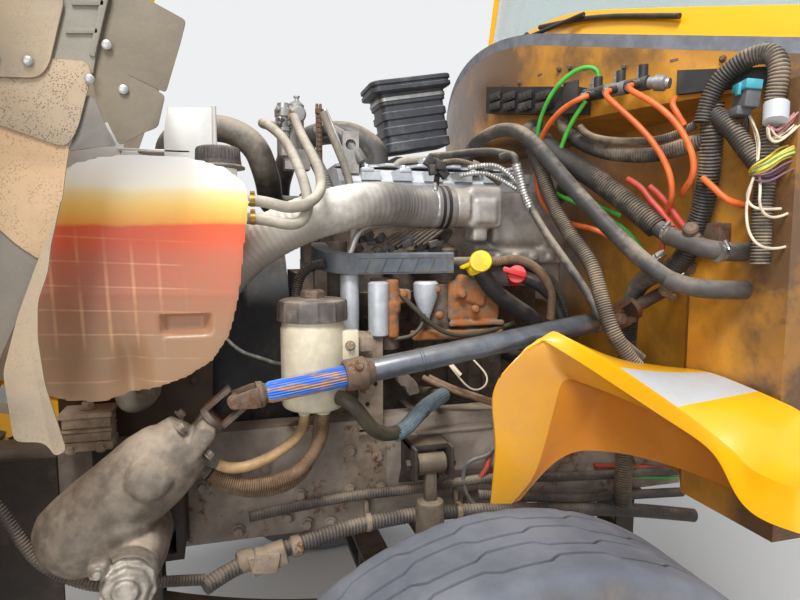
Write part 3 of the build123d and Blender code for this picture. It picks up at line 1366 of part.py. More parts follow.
# Air lines that hang in loops from the manifold
AIR_LINES = (
    (
        (-417.5, -560, 895.9), (-438.7, -560, 890.2), (-461, -500, 868), (-468, -436, 822), (-466, -405, 759),
        (-463, -411, 691), (-453, -444, 639), (-430, -505, 604), (-385, -575, 588), (-330, -616, 540), (-290, -636, 505),
    ),
    (
        (-391.2, -560, 940.3), (-391.2, -560, 962), (-425, -525, 968), (-458, -478, 930), (-468, -428, 868), (-466, -404, 800),
        (-460, -414, 734), (-446, -453, 683), (-405, -515, 651), (-350, -560, 620), (-300, -610, 560), (-284, -622, 512),
    ),
    (
        (-399.4, -620, 895.9), (-420.6, -620, 890.2), (-408, -662, 852), (-376, -709, 796), (-354, -742, 742), (-343, -760, 694),
        (-338, -760, 652), (-322, -730, 632), (-300, -690, 600), (-288, -672, 520),
    ),
    (
        (-382.8, -675, 895.9), (-404, -675, 890.2), (-382, -735, 852), (-358, -774, 811), (-342, -802, 762), (-337, -818, 717),
        (-336, -812, 686), (-330, -780, 664), (-305, -750, 660),
    ),
)
with BuildPart() as air_lines:
    for route in AIR_LINES:
        add(hose(route, 5.5))
write(air_lines.part, "air_lines")

# Heater hoses from the cowl's left cheek to the engine
with BuildPart() as heater_hoses:
    add(
        hose(
            (
                (CHEEK_X - SEAT_GAP, -852, 465),
                (-290, -852, 465),
                (-335, -800, 470),
                (-375, -760, 500),
                (-420, -680, 580),
                (-464, -562, 694),
                (-504, -431, 828),
                (-525, -330, 856),
                (-535, -210, 846),
                (-532, -125, 826),
                (-530, -95, 795),
                (-530, -95, COVER_TOP + SEAT_GAP),
            ),
            16,
        )
    )
    add(
        hose(
            (
                (CHEEK_X - SEAT_GAP, -846, 541),
                (-300, -846, 541),
                (-340, -742, 575),
                (-380, -653, 657),
                (-425, -531, 732),
                (-412, -470, 712),
                (-400, -425, 684),
                (-396, -385, 660),
                (-396, -350 - SEAT_GAP, 660),
            ),
            20,
        )
    )
write(heater_hoses.part, "heater_hoses")

# Steering hoses between the gear, the reservoir and the engine's pump
with BuildPart() as steering_hoses:
    add(
        hose(
            (
                (-1261.7, -608, 120.8),
                (-1237, -608, 103.9),
                (-1165, -600, 116),
                (-1098, -566, 145),
                (-1078, -528, 165),
                (-1078, -528, RESERVOIR_BOTTOM - SEAT_GAP),
            ),
            9,
        )
    )
    add(
        hose(
            (
                (-1281.7, -590, 97.7),
                (-1256, -590, 76.3),
                (-1180, -590, 58),
                (-1100, -580, 72),
                (-1050, -550, 120),
                (-1036, -528, 160),
                (-1036, -528, RESERVOIR_BOTTOM - SEAT_GAP),
            ),
            13,
        )
    )
    add(
        hose(
            (
                (-1010.6, -574.4, 230),
                (-990, -599, 230),
                (-932, -582, 142),
                (-864, -545, 130),
                (-810, -525, 172),
                (-750, -490, 188),
                (-735, -400, 180),
                (-742, -290, 152),
                (-742, -BLOCK_HALF - SEAT_GAP, 152),
            ),
            15,
        )
    )
write(steering_hoses.part, "steering_hoses")

# Looms along the left frame rail
with BuildPart() as frame_looms:
    add(
        hose(
            ((-1296, -560, -160), (-1230, -520, -140), (-1090, -490, -130), (-982, -476, -112), (-793, -466, -104), (-690, -470, -110), (-598, -478, -116), (-292, -480, -150), (-150, -486, -170), (-6, -500, -196)),
            17,
        )
    )
    add(hose(((-1200, -470, -60), (-1000, -462, -40), (-800, -462, -44), (-600, -470, -30), (-400, -462, -60), (-6, -462, -80)), 12))
write(frame_looms.part, "frame_looms")

# Hood: one tilting shell with its fenders, grille opening and hinge lugs, drawn closed
HOOD_SECTIONS = (
    # x, crown, shoulder y and z, waist y and z, flare y and z
    (HOOD_FRONT, 735, 610, 655, 735, 405, 1020, 315),
    (-1770, 790, 680, 700, 790, 430, 1065, 340),
    (-1560, 890, 810, 775, 885, 455, 1125, 372),
    (-1000, 1010, 905, 850, 935, 470, FENDER_OUTER, 380),
    (ARC_MIDDLE, 1160, 965, 924, 972, 430, FENDER_OUTER, 372),
    (-100, 1181, 975, 942, 982, 405, 1000, 360),
)
LAMP_Y = 640.0
LAMP_Z = 170.0
LAMP_RADIUS = 92.0
GRILLE_HALF = 340.0
GRILLE_LOW = 60.0
GRILLE_HIGH = 590.0


def hood_solid(inset, front):
    """The hood's outer form as a solid, drawn in by a wall and cut square at its front."""
    with BuildPart() as piece:
        for x, crown, shoulder_y, shoulder_z, waist_y, waist_z, flare_y, flare_z in HOOD_SECTIONS:
            side_z = crown - crown_drop(CROWN_SHOULDER)
            with BuildSketch(Plane.YZ.offset(max(x, front))):
                with BuildLine():
                    ThreePointArc((-CROWN_SHOULDER, side_z), (0, crown), (CROWN_SHOULDER, side_z))
                    Polyline(
                        (CROWN_SHOULDER, side_z),
                        (shoulder_y, shoulder_z),
                        (waist_y, waist_z),
                        (flare_y, flare_z),
                        (flare_y, -300),
                        (-flare_y, -300),
                        (-flare_y, flare_z),
                        (-waist_y, waist_z),
                        (-shoulder_y, shoulder_z),
                        (-CROWN_SHOULDER, side_z),
                    )
                make_face()
                if inset > 0:
                    offset(amount=-inset, kind=Kind.INTERSECTION)
        loft(ruled=True)
    return piece.part


def tipped(part):
    """The hood's pieces turned from closed to the open position of the rest pose."""
    return part.rotate(Axis((HINGE_X, 0, HINGE_Z), (0, 1, 0)), -HOOD_OPEN)


hood_inside = hood_solid(HOOD_WALL, HOOD_FRONT + HOOD_WALL)
hood_liner = hood_solid(HOOD_WALL + SEAT_GAP, HOOD_FRONT + HOOD_WALL + SEAT_GAP)
with BuildPart() as hood_shell:
    add(hood_solid(0, HOOD_FRONT))
    add(hood_inside, mode=Mode.SUBTRACT)
    block((-1900, 0), (-1300, 1300), (-400, HOOD_BOTTOM), mode=Mode.SUBTRACT)
    block((FENDER_REAR, 0), (-1300, 1300), (-400, HOOD_REAR_BOTTOM), mode=Mode.SUBTRACT)
    rod((AXLE_X, -1300, WHEEL_Z), (AXLE_X, 1300, WHEEL_Z), ARCH_RADIUS, mode=Mode.SUBTRACT)
    add(bowed_region(STRIP_DEPTH + 4, 1160, 200, -400, 1400), mode=Mode.SUBTRACT)
    block((HOOD_FRONT - 10, HOOD_FRONT + 20), (-GRILLE_HALF, GRILLE_HALF), (GRILLE_LOW, GRILLE_HIGH), mode=Mode.SUBTRACT)
    for side in (-1, 1):
        rod((HOOD_FRONT - 10, side * LAMP_Y, LAMP_Z), (HOOD_FRONT + 20, side * LAMP_Y, LAMP_Z), LAMP_RADIUS, mode=Mode.SUBTRACT)
        block((HOOD_FRONT - 10, HOOD_FRONT + 20), sorted((side * 800, side * 940)), (120, 220), mode=Mode.SUBTRACT)
        add(
            plate(
                [(-1838, -58), (-1838, 55), (-1806, 20), (-1766, -56), (-1772, -92), (-1808, -92)],
                Plane.XZ.offset(HINGE_Y - 18 if side < 0 else 4 - HINGE_Y),
                14,
            )
        )
        rod((HINGE_X, side * (HINGE_Y - 30), HINGE_Z), (HINGE_X, side * (HINGE_Y + 10), HINGE_Z), HINGE_PIN + RUN_GAP, mode=Mode.SUBTRACT)
write(tipped(hood_shell.part), "hood_shell")

# Grille: an outer frame with level bars and two uprights
with BuildPart() as grille:
    block((HOOD_FRONT + 2, HOOD_FRONT + 26), (-GRILLE_HALF + SEAT_GAP, GRILLE_HALF - SEAT_GAP), (GRILLE_LOW + SEAT_GAP, GRILLE_HIGH - SEAT_GAP))
    block((HOOD_FRONT, HOOD_FRONT + 30), (-GRILLE_HALF + 22, GRILLE_HALF - 22), (GRILLE_LOW + 22, GRILLE_HIGH - 22), mode=Mode.SUBTRACT)
    for number in range(9):
        z = GRILLE_LOW + 62 + number * 50
        block((HOOD_FRONT + 4, HOOD_FRONT + 22), (-GRILLE_HALF + 20, GRILLE_HALF - 20), (z - 7, z + 7))
    for y in (-110, 110):
        block((HOOD_FRONT + 16, HOOD_FRONT + 26), (y - 8, y + 8), (GRILLE_LOW + 20, GRILLE_HIGH - 20))
write(tipped(grille.part), "grille")

# Lamps: one round headlamp and one square turn lamp on each side
with BuildPart() as headlamps:
    for side in (-1, 1):
        rod((HOOD_FRONT - 2, side * LAMP_Y, LAMP_Z), (HOOD_FRONT + 40, side * LAMP_Y, LAMP_Z), LAMP_RADIUS - SEAT_GAP)
        block(
            (HOOD_FRONT - 2, HOOD_FRONT + 26),
            sorted((side * (800 + SEAT_GAP), side * (940 - SEAT_GAP))),
            (120 + SEAT_GAP, 220 - SEAT_GAP),
        )
write(tipped(headlamps.part), "headlamps")

# Splash shields: sheet liners between the engine bay and the wheels
SHIELD = 3.0
SHIELD_Y = 715.0
LINER_Y = 818.0
RIGHT_SHIELD_Y = 590.0
with BuildPart() as splash_shields:
    add(plate([(-1190, 10), (-1080, 10), (-1060, -80), (-640, -80), (-640, 1300), (-1190, 1300)], Plane.XZ.offset(SHIELD_Y - SHIELD), SHIELD))
    liner = [(-1190, 10), (-1290, 10), (-1310, -50), (-1800, -50), (-1800, 1300), (-1190, 1300)]
    add(plate(liner, Plane.XZ.offset(LINER_Y - SHIELD), SHIELD))
    block((-1190 - SHIELD, -1190), (-LINER_Y, -SHIELD_Y + SHIELD), (10, 1300))
    add(plate([(-1190, 5), (-400, 5), (-400, 1300), (-1190, 1300)], Plane.XZ.offset(-RIGHT_SHIELD_Y - SHIELD), SHIELD))
    add(plate(liner, Plane.XZ.offset(-LINER_Y), SHIELD))
    block((-1190 - SHIELD, -1190), (RIGHT_SHIELD_Y, LINER_Y), (10, 1300))
    add(hood_liner, mode=Mode.INTERSECT)
write(tipped(splash_shields.part), "splash_shields")
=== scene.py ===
import math
import random

import bmesh
import bpy
from mathutils import Matrix, Vector, noise


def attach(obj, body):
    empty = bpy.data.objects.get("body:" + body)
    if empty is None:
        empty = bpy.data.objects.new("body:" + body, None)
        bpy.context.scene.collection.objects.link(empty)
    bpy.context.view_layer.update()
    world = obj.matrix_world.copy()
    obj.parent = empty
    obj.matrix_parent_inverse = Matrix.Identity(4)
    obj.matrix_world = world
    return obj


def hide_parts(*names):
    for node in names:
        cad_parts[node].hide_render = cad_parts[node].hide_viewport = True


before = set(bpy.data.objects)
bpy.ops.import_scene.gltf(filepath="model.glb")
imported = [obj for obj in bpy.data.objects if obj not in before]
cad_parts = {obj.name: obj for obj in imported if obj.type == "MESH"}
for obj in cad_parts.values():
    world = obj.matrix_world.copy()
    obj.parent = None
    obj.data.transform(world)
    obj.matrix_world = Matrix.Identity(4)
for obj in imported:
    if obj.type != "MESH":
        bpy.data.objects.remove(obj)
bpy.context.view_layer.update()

# The shape in hand, until it becomes the mesh of a piece
work = bmesh.new()

REAR = Vector((1, 0, 0))
FRONT = -REAR
RIGHT = Vector((0, 1, 0))
LEFT = -RIGHT
UP = Vector((0, 0, 1))

# Colours, places and shader arithmetic


def shade(red, green, blue):
    """A colour as it looks, from 0 to 255, turned into the light values a shader takes."""
    levels = []
    for level in (red, green, blue):
        level = level / 255
        levels.append(level / 12.92 if level <= 0.04045 else ((level + 0.055) / 1.055) ** 2.4)
    return tuple(levels)


def point(x, y, z):
    """A place given in millimetres."""
    return Vector((x, y, z)) / 1000


def sideways(y, x=0, z=0):
    """Where a slab starts when it stands upright and faces sideways, with its two directions."""
    return point(x, y, z), REAR, UP


def around(radius, degrees):
    """How far across and up a spot on a circle lies."""
    angle = math.radians(degrees)
    return radius * math.cos(angle), radius * math.sin(angle)


def turned(axis, degrees):
    return Matrix.Rotation(math.radians(degrees), 3, axis)


class Level:
    """A number that varies over a surface, used in plain arithmetic."""

    def __init__(self, finish, socket):
        self.finish = finish
        self.socket = socket

    def maths(self, operation, first, second=0.0):
        node = self.finish.node("ShaderNodeMath", {"operation": operation}, {0: first, 1: second})
        return Level(self.finish, node.outputs[0])

    def __add__(self, other):
        return self.maths("ADD", self, other)

    def __sub__(self, other):
        return self.maths("SUBTRACT", self, other)

    def __rsub__(self, other):
        return self.maths("SUBTRACT", other, self)

    def __mul__(self, other):
        return self.maths("MULTIPLY", self, other)

    __radd__ = __add__
    __rmul__ = __mul__

    def between(self, low, high):
        """Nought below one level and one above the other, with a smooth rise."""
        node = self.finish.node(
            "ShaderNodeMapRange",
            {"interpolation_type": "SMOOTHSTEP"},
            {"Value": self, "From Min": low, "From Max": high},
        )
        return Level(self.finish, node.outputs["Result"])

    def size(self):
        return self.maths("ABSOLUTE", self)

    def folded(self, width):
        """Up to a width and back down again, over and over."""
        return self.maths("PINGPONG", self, width)


FINISHES = {}


class Finish:
    """One surface finish: a plain shader with what varies over it."""

    def __init__(self, name, **sockets):
        self.material = bpy.data.materials.new(name)
        self.material.use_nodes = True
        FINISHES[name] = self.material
        self.tree = self.material.node_tree
        self.shader = self.tree.nodes["Principled BSDF"]
        places = self.node("ShaderNodeTexCoord")
        self.place = places.outputs["Object"]
        parts = self.node("ShaderNodeSeparateXYZ", None, {0: self.place})
        self.x, self.y, self.z = [Level(self, output) for output in parts.outputs]
        facing = self.node("ShaderNodeSeparateXYZ", None, {0: places.outputs["Normal"]})
        self.upward = Level(self, facing.outputs[2])
        self.wear(**sockets)

    def node(self, kind, settings=None, values=None):
        """Any shader node, with its settings first and then its sockets."""
        node = self.tree.nodes.new(kind)
        for key, value in (settings or {}).items():
            if key == "stops":
                for place, colour in value[2:]:
                    node.color_ramp.elements.new(place)
                for element, (place, colour) in zip(node.color_ramp.elements, value):
                    element.position = place
                    element.color = (*shade(*colour), 1)
            else:
                setattr(node, key, value)
        for key, value in (values or {}).items():
            self.feed(node.inputs[key], value)
        return node

    def feed(self, socket, value):
        if isinstance(value, Level):
            self.tree.links.new(value.socket, socket)
        elif isinstance(value, bpy.types.NodeSocket):
            self.tree.links.new(value, socket)
        elif socket.type == "RGBA":
            socket.default_value = (*value[:3], 1)
        else:
            socket.default_value = value

    def wear(self, **sockets):
        """Sets the shader's own sockets, with words joined by underlines."""
        for key, value in sockets.items():
            self.feed(self.shader.inputs[key.replace("_", " ").title()], value)

    def stretched(self, amounts):
        node = self.node("ShaderNodeVectorMath", {"operation": "MULTIPLY"}, {0: self.place, 1: amounts})
        return node.outputs[0]

    def cloud(self, scale, detail=3.0, rough=0.55, stretch=None):
        where = self.stretched(stretch) if stretch else self.place
        values = {"Vector": where, "Scale": scale, "Detail": detail, "Roughness": rough}
        return Level(self, self.node("ShaderNodeTexNoise", None, values).outputs["Fac"])

    def cells(self, scale):
        node = self.node("ShaderNodeTexVoronoi", {"feature": "F1"}, {"Vector": self.place, "Scale": scale})
        return Level(self, node.outputs["Distance"])

    def mix(self, share, first, second):
        node = self.node("ShaderNodeMix", {"data_type": "RGBA"}, {"Factor": share, 6: first, 7: second})
        return node.outputs[2]

    def cover(self, share, colour):
        """Lays another colour over the base colour, as far as the share says."""
        under = self.shader.inputs["Base Color"].links[0].from_socket
        self.wear(base_color=self.mix(share, under, colour))

    def bump(self, height, depth):
        node = self.node("ShaderNodeBump", None, {"Height": height, "Distance": depth, "Strength": 1.0})
        self.feed(self.shader.inputs["Normal"], node.outputs[0])


def weathered(
    name, base, dust, rough, dusting=0.5, metallic=0.0, grain=(90, 0.0006), patch=9.0, dark=0.7, **sockets,
):
    """A worn finish: its own colour in lighter and darker patches, under dust that lies where it faces up."""
    base = shade(*base)
    finish = Finish(name, **sockets)
    patches = finish.cloud(patch, 5, 0.62).between(0.34, 0.68)
    fine = finish.cloud(grain[0], 4, 0.6)
    lying = (finish.upward.between(0.1, 1.0) * 0.6 + patches * 0.55 + fine * 0.5 - 0.45) * (dusting * 1.6)
    lying = lying.between(0.0, 1.0)
    deep = tuple(level * dark for level in base)
    own = finish.mix(finish.cloud(patch * 2.7, 4, 0.6).between(0.35, 0.65), deep, base)
    finish.wear(
        base_color=finish.mix(lying, own, shade(*dust)),
        roughness=lying * 0.3 + rough + fine * 0.1,
        metallic=(1 - lying) * metallic if metallic else 0.0,
    )
    finish.bump(fine, grain[1])
    return finish


def rusted(name, base, rust, rough, amount=0.5, metallic=0.0, patch=14.0, dusting=0.35, dust=(150, 132, 108)):
    """Paint or bare metal with rust breaking through in spots and a little dust."""
    finish = weathered(name, base, dust, rough, dusting, metallic, (110, 0.0008), patch)
    spread = finish.cloud(patch, 8, 0.72) * 0.75 + finish.cloud(patch * 6, 4, 0.7) * 0.25
    broken = spread.between(0.66 - 0.3 * amount, 0.74 - 0.3 * amount)
    rust = shade(*rust)
    rusty = finish.mix(finish.cloud(60, 5, 0.7), rust, tuple(level * 0.45 for level in rust))
    finish.cover(broken, rusty)
    if metallic:
        finish.wear(metallic=(1 - broken) * metallic)
    finish.bump(finish.cloud(150, 5, 0.7) * 0.6 + broken * 0.5, 0.0009)
    return finish


# Base colour, dust colour, roughness, share of dust, metal, grain, size of the patches and their darkness
WORN = {
    "frame_paint": ((58, 50, 44), (132, 112, 90), 0.6, 0.55),
    "cast_iron": ((136, 124, 110), (176, 160, 140), 0.66, 0.7, 0.15, (70, 0.0014), 11.0, 0.6),
    "greasy_iron": ((176, 168, 156), (96, 80, 64), 0.38, 0.45, 0.45, (60, 0.0012), 18.0, 0.55),
    "engine_iron": ((112, 98, 86), (158, 138, 114), 0.7, 0.7, 0.1, (60, 0.0014), 12.0, 0.6),
    "cast_aluminium": ((176, 170, 164), (182, 168, 148), 0.5, 0.45, 0.55, (120, 0.0007), 12.0, 0.75),
    "sheet_aluminium": ((200, 198, 194), (186, 172, 150), 0.42, 0.3, 0.75, (60, 0.0003), 8.0, 0.85),
    "bright_steel": ((196, 196, 194), (150, 140, 124), 0.26, 0.25, 0.9, (160, 0.0003), 20.0, 0.8),
    "dull_steel": ((168, 168, 166), (150, 138, 120), 0.36, 0.35, 0.7, (160, 0.0004), 16.0, 0.75),
    "brass_clamp": ((186, 150, 78), (150, 130, 100), 0.34, 0.3, 0.8, (160, 0.0003), 30.0, 0.7),
    "black_plastic": ((42, 41, 42), (138, 124, 108), 0.5, 0.45),
    "lid_plastic": ((86, 80, 76), (160, 146, 130), 0.5, 0.6, 0.0, (120, 0.0005), 16.0, 0.7),
    "tray_plastic": ((92, 98, 106), (156, 152, 146), 0.4, 0.4),
    "flap_plastic": ((142, 130, 114), (176, 162, 142), 0.72, 0.6, 0.0, (260, 0.0008), 5.0, 0.82),
    "rubber": ((26, 25, 25), (112, 98, 82), 0.58, 0.4),
    "dusty_hose": ((64, 62, 60), (156, 142, 124), 0.5, 0.75),
    "grey_hose": ((104, 104, 104), (176, 168, 154), 0.4, 0.55),
    "cream_hose": ((186, 152, 106), (138, 112, 84), 0.45, 0.5, 0.0, (60, 0.0004), 20.0, 0.75),
    "olive_hose": ((70, 64, 50), (120, 104, 80), 0.5, 0.45),
    "brown_sleeve": ((124, 98, 74), (168, 142, 114), 0.6, 0.5, 0.0, (120, 0.0005), 20.0, 0.7),
    "blue_sleeve": ((112, 132, 140), (140, 140, 134), 0.5, 0.35, 0.0, (140, 0.0004), 24.0, 0.65),
    "loom_plastic": ((58, 54, 50), (158, 140, 116), 0.5, 0.75),
    "blank_label": ((190, 193, 196), (170, 162, 148), 0.4, 0.3, 0.0, (300, 0.0001), 12.0, 0.97),
    "cream_plastic": ((214, 204, 178), (150, 132, 104), 0.42, 0.5, 0.0, (60, 0.0003), 14.0, 0.88),
    "yellow_plastic": ((240, 205, 20), (190, 170, 90), 0.38, 0.15),
    "red_plastic": ((205, 40, 42), (150, 90, 80), 0.38, 0.2),
    "orange_line": ((232, 110, 48), (190, 130, 90), 0.4, 0.15),
    "green_line": ((78, 186, 66), (130, 160, 90), 0.4, 0.12),
    "rim_paint": ((206, 204, 198), (176, 162, 140), 0.42, 0.3, 0.0, (160, 0.0003), 5.0, 0.88),
    "strip_rubber": ((118, 122, 130), (170, 162, 150), 0.6, 0.35),
    "pale_cover": ((202, 206, 212), (214, 210, 202), 0.42, 0.5, 0.3, (120, 0.0005), 12.0, 0.82),
    "beige_hose": ((160, 152, 138), (206, 196, 178), 0.42, 0.6, 0.0, (120, 0.0004), 14.0, 0.8),
    "bright_sheet": ((236, 235, 230), (214, 206, 192), 0.4, 0.3, 0.3, (60, 0.0003), 8.0, 0.92),
    "pale_loom": ((84, 78, 74), (158, 142, 122), 0.5, 0.55),
    "sandy_steel": ((96, 84, 70), (144, 128, 106), 0.6, 0.6, 0.0, (120, 0.0006), 14.0, 0.75),
    "brown_sheet": ((84, 66, 52), (140, 112, 84), 0.6, 0.5, 0.0, (120, 0.0004), 6.0, 0.75),
    # This finish is lightened past the mount block's own colour: painted light against the shadow the tank
    # casts on it.
    "pale_dust": ((206, 184, 160), (222, 204, 180), 0.7, 0.6, 0.0, (120, 0.0008), 14.0, 0.6),
    "duct_plastic": ((62, 64, 70), (134, 134, 138), 0.42, 0.6, 0.0, (120, 0.0003), 9.0, 0.8),
    "dusty_black_hose": ((74, 72, 70), (176, 164, 146), 0.4, 0.8, 0.0, (60, 0.0003), 4.0, 0.8),
    "foil": ((196, 196, 192), (150, 138, 120), 0.3, 0.4, 0.7, (240, 0.001), 26.0, 0.6),
    "dusty_loom": ((76, 68, 60), (164, 144, 118), 0.58, 0.75),
    "dusty_box": ((58, 56, 54), (150, 136, 116), 0.6, 0.65),
    "plug_teal": ((70, 170, 186), (120, 140, 136), 0.5, 0.3),
    "plug_grey": ((96, 98, 104), (140, 130, 116), 0.55, 0.35),
    "red_line": ((196, 70, 56), (150, 110, 90), 0.45, 0.35),
    "wire_yellow": ((224, 206, 92), (170, 150, 110), 0.5, 0.3),
    "wire_green": ((96, 150, 92), (150, 146, 110), 0.5, 0.25),
    "wire_pink": ((206, 140, 140), (160, 130, 116), 0.5, 0.3),
    "wire_cream": ((232, 216, 190), (176, 156, 128), 0.5, 0.3),
    "wire_violet": ((136, 96, 120), (150, 126, 110), 0.5, 0.35),
    "wire_dark": ((60, 58, 60), (140, 126, 110), 0.5, 0.3),
    # Near black for the insides of holes: painted shade.
    "dark_gap": ((14, 12, 11), (40, 34, 28), 0.8, 0.1),
    # The pocket's deep orange is partly its own less faded paint and partly painted shade of the recess.
    "pocket_yellow": ((206, 128, 34), (190, 134, 80), 0.4, 0.35, 0.0, (220, 0.0002), 4.0, 0.9),
}
# Base colour, rust colour, roughness, amount of rust, metal, size of the patches, share of dust, dust colour
RUSTED = {
    "rail_steel": ((160, 146, 134), (126, 88, 62), 0.72, 0.4, 0.0, 7.0, 0.6),
    "rusty_steel": ((108, 96, 86), (120, 66, 34), 0.55, 0.6, 0.45, 22.0),
    "forged_rust": ((118, 96, 80), (120, 80, 54), 0.62, 0.5, 0.2, 26.0, 0.5),
    "knob_rust": ((134, 118, 100), (132, 92, 62), 0.6, 0.5, 0.2, 40.0, 0.6),
    "dusty_bracket": ((156, 138, 120), (132, 92, 64), 0.75, 0.4, 0.0, 16.0, 0.8, (164, 144, 120)),
    "orange_rust": ((132, 112, 94), (176, 112, 62), 0.75, 0.75, 0.0, 18.0, 0.6, (172, 150, 126)),
}
for name, look in WORN.items():
    weathered(name, *look)
for name, look in RUSTED.items():
    rusted(name, *look)
# The glossy black tube's base is lightened to bluish grey as a painted sky reflection.
weathered(
    "black_tube_painted_sheen", (118, 124, 132), (130, 116, 100), 0.24, 0.3, 0.55, (60, 0.0002), 10.0, 0.7,
    coat_weight=0.6, coat_roughness=0.14,
)
weathered(
    "lamp_lens", (226, 230, 232), (206, 204, 198), 0.1, 0.1, 0.0, (300, 0.0001), 3.0, 0.95,
    transmission_weight=0.5,
)
weathered(
    "amber_lens", (240, 130, 20), (200, 120, 50), 0.16, 0.1, 0.0, (300, 0.0001), 3.0, 0.95, coat_weight=0.5,
)
weathered(
    "hood_yellow", (250, 182, 14), (226, 164, 72), 0.26, 0.16, 0.0, (400, 0.0001), 1.3, 0.96,
    coat_weight=0.4, coat_roughness=0.12,
)
weathered(
    "glass_clear", (206, 222, 220), (196, 204, 198), 0.04, 0.05, 0.0, (300, 0.00002), 1.2, 0.96,
    transmission_weight=0.9,
)


def sheet(name, base, dust, speckle=0.0, dark=(92, 78, 62)):
    """Matt sheet with stains, and small dark specks where mud has splashed it."""
    finish = Finish(name)
    stain = finish.cloud(7, 6, 0.66, (1, 1, 1.6)).between(0.34, 0.68)
    fine = finish.cloud(150, 4, 0.6)
    base = shade(*base)
    own = finish.mix(stain, tuple(level * 0.8 for level in base), base)
    own = finish.mix(finish.cloud(3.5, 3).between(0.42, 0.62) * 0.5, own, shade(*dust))
    if speckle:
        specks = finish.cells(300).between(0.42, 0.2) * finish.cloud(40, 3).between(0.36, 0.58)
        own = finish.mix(specks * speckle, own, shade(*dark))
    finish.wear(base_color=own, roughness=fine * 0.2 + 0.62)
    finish.bump(fine, 0.0005)


for name, *look in (
    ("sheet_beige", (170, 156, 136), (196, 172, 138), 0.2),
    ("sheet_speckled", (176, 158, 134), (190, 164, 132), 0.9),
    ("sheet_sand", (200, 166, 128), (206, 180, 146), 0.5),
    ("sheet_grey", (118, 114, 110), (146, 134, 116), 0.15),
    ("sheet_olive", (124, 114, 96), (140, 126, 104), 0.12),
    ("sheet_green_grey", (142, 138, 126), (158, 148, 128), 0.15),
):
    sheet(name, *look)


def worn_tyre():
    """Tread rubbed to a bluish grey between brown shoulders."""
    finish = Finish("tyre_rubber")
    across = (finish.y.size() - 1.03).size()
    shoulder = (across + (finish.cloud(12, 4) - 0.5) * 0.05).between(0.112, 0.14)
    fine = finish.cloud(220, 4, 0.65)
    tread = finish.mix(finish.cloud(7, 5, 0.6).between(0.35, 0.68), shade(92, 95, 104), shade(116, 118, 124))
    side = finish.mix(finish.cloud(16, 5, 0.6).between(0.35, 0.65), shade(92, 84, 78), shade(118, 108, 98))
    finish.wear(base_color=finish.mix(shoulder, tread, side), roughness=fine * 0.16 + 0.7)
    finish.bump(fine, 0.0005)


worn_tyre()


def layered_tank():
    """Milky plastic with the red coolant showing through, a stained band above it and grime below; its
    near-white top is a painted highlight, and its emission is a painted glow.
    """
    # The emission makes the plastic glow as if lit from inside: a painted glow.
    finish = Finish(
        "tank_plastic", roughness=0.36, subsurface_weight=0.15, subsurface_scale=0.01,
        emission_strength=0.16,
    )
    level = finish.z - (finish.x + 1.38) * 0.012 + (finish.cloud(9, 3) - 0.5) * 0.016
    # The highest stops, near white, are a painted highlight on the tank's top.
    bands = finish.node(
        "ShaderNodeValToRGB",
        {
            "stops": (
                (0.0, (150, 118, 90)), (0.2, (152, 116, 88)), (0.34, (160, 110, 84)),
                (0.46, (178, 108, 84)), (0.58, (192, 104, 78)), (0.64, (214, 96, 66)),
                (0.715, (224, 96, 60)), (0.73, (236, 160, 72)), (0.8, (246, 198, 106)),
                (0.86, (250, 222, 156)), (0.9, (252, 244, 224)), (1.0, (255, 253, 248)),
            )
        },
        {0: (level - 0.31) * (1 / (0.70 - 0.31))},
    ).outputs[0]
    upright = (finish.x + 1.506 + finish.z * 0.03).folded(0.0215).between(0.0042, 0.001)
    level_lines = (finish.z - 0.356 + (finish.x + 1.38) * 0.05).folded(0.021).between(0.0022, 0.0006)
    inside = finish.z.between(0.33, 0.42) * finish.z.between(0.62, 0.5) * finish.x.between(-1.28, -1.4)
    baffles = upright * inside * 0.34
    baffles = baffles + level_lines * finish.z.between(0.60, 0.56) * finish.x.between(-1.24, -1.36) * 0.3
    bands = finish.mix(baffles * finish.cloud(14, 3).between(0.3, 0.62), bands, shade(240, 190, 140))
    grime = finish.cloud(16, 6, 0.66).between(0.42, 0.72) * 0.55
    grime = grime + finish.cloud(70, 3).between(0.5, 0.8) * 0.35
    low = finish.z.between(0.62, 0.38)
    skin = finish.mix(grime * (low * 0.7 + 0.05), bands, shade(136, 112, 88))
    # The emission colour repeats the skin colours, so the whole tank gets the painted glow.
    finish.wear(base_color=skin, emission_color=skin, roughness=grime * 0.3 + 0.32)
    finish.bump(finish.cloud(60, 4), 0.0004)


def grimy_cowl():
    """Faded paint with brown grime towards both ends, along the top and in blotches."""
    finish = weathered(
        "cowl_yellow", (218, 152, 52), (176, 138, 92), 0.34, 0.6, 0.0, (220, 0.0002), 5.0, 0.74,
        coat_weight=0.2, coat_roughness=0.25,
    )
    front = finish.x.between(-0.14, -0.16)
    ends = finish.y.between(-0.78, -0.94) * 1.3 * front + finish.y.between(-0.3, -0.04) * 0.9 * front
    ends = ends + finish.z.between(0.9, 0.98) * 0.8
    blotch = finish.cloud(6, 5, 0.66).between(0.34, 0.66) * 0.7 + 0.45
    finish.cover((ends * blotch).between(0.0, 1.0), shade(106, 78, 52))
    blots = finish.cloud(11, 6, 0.7).between(0.56, 0.72) * 0.55
    finish.cover(blots, shade(128, 92, 52))


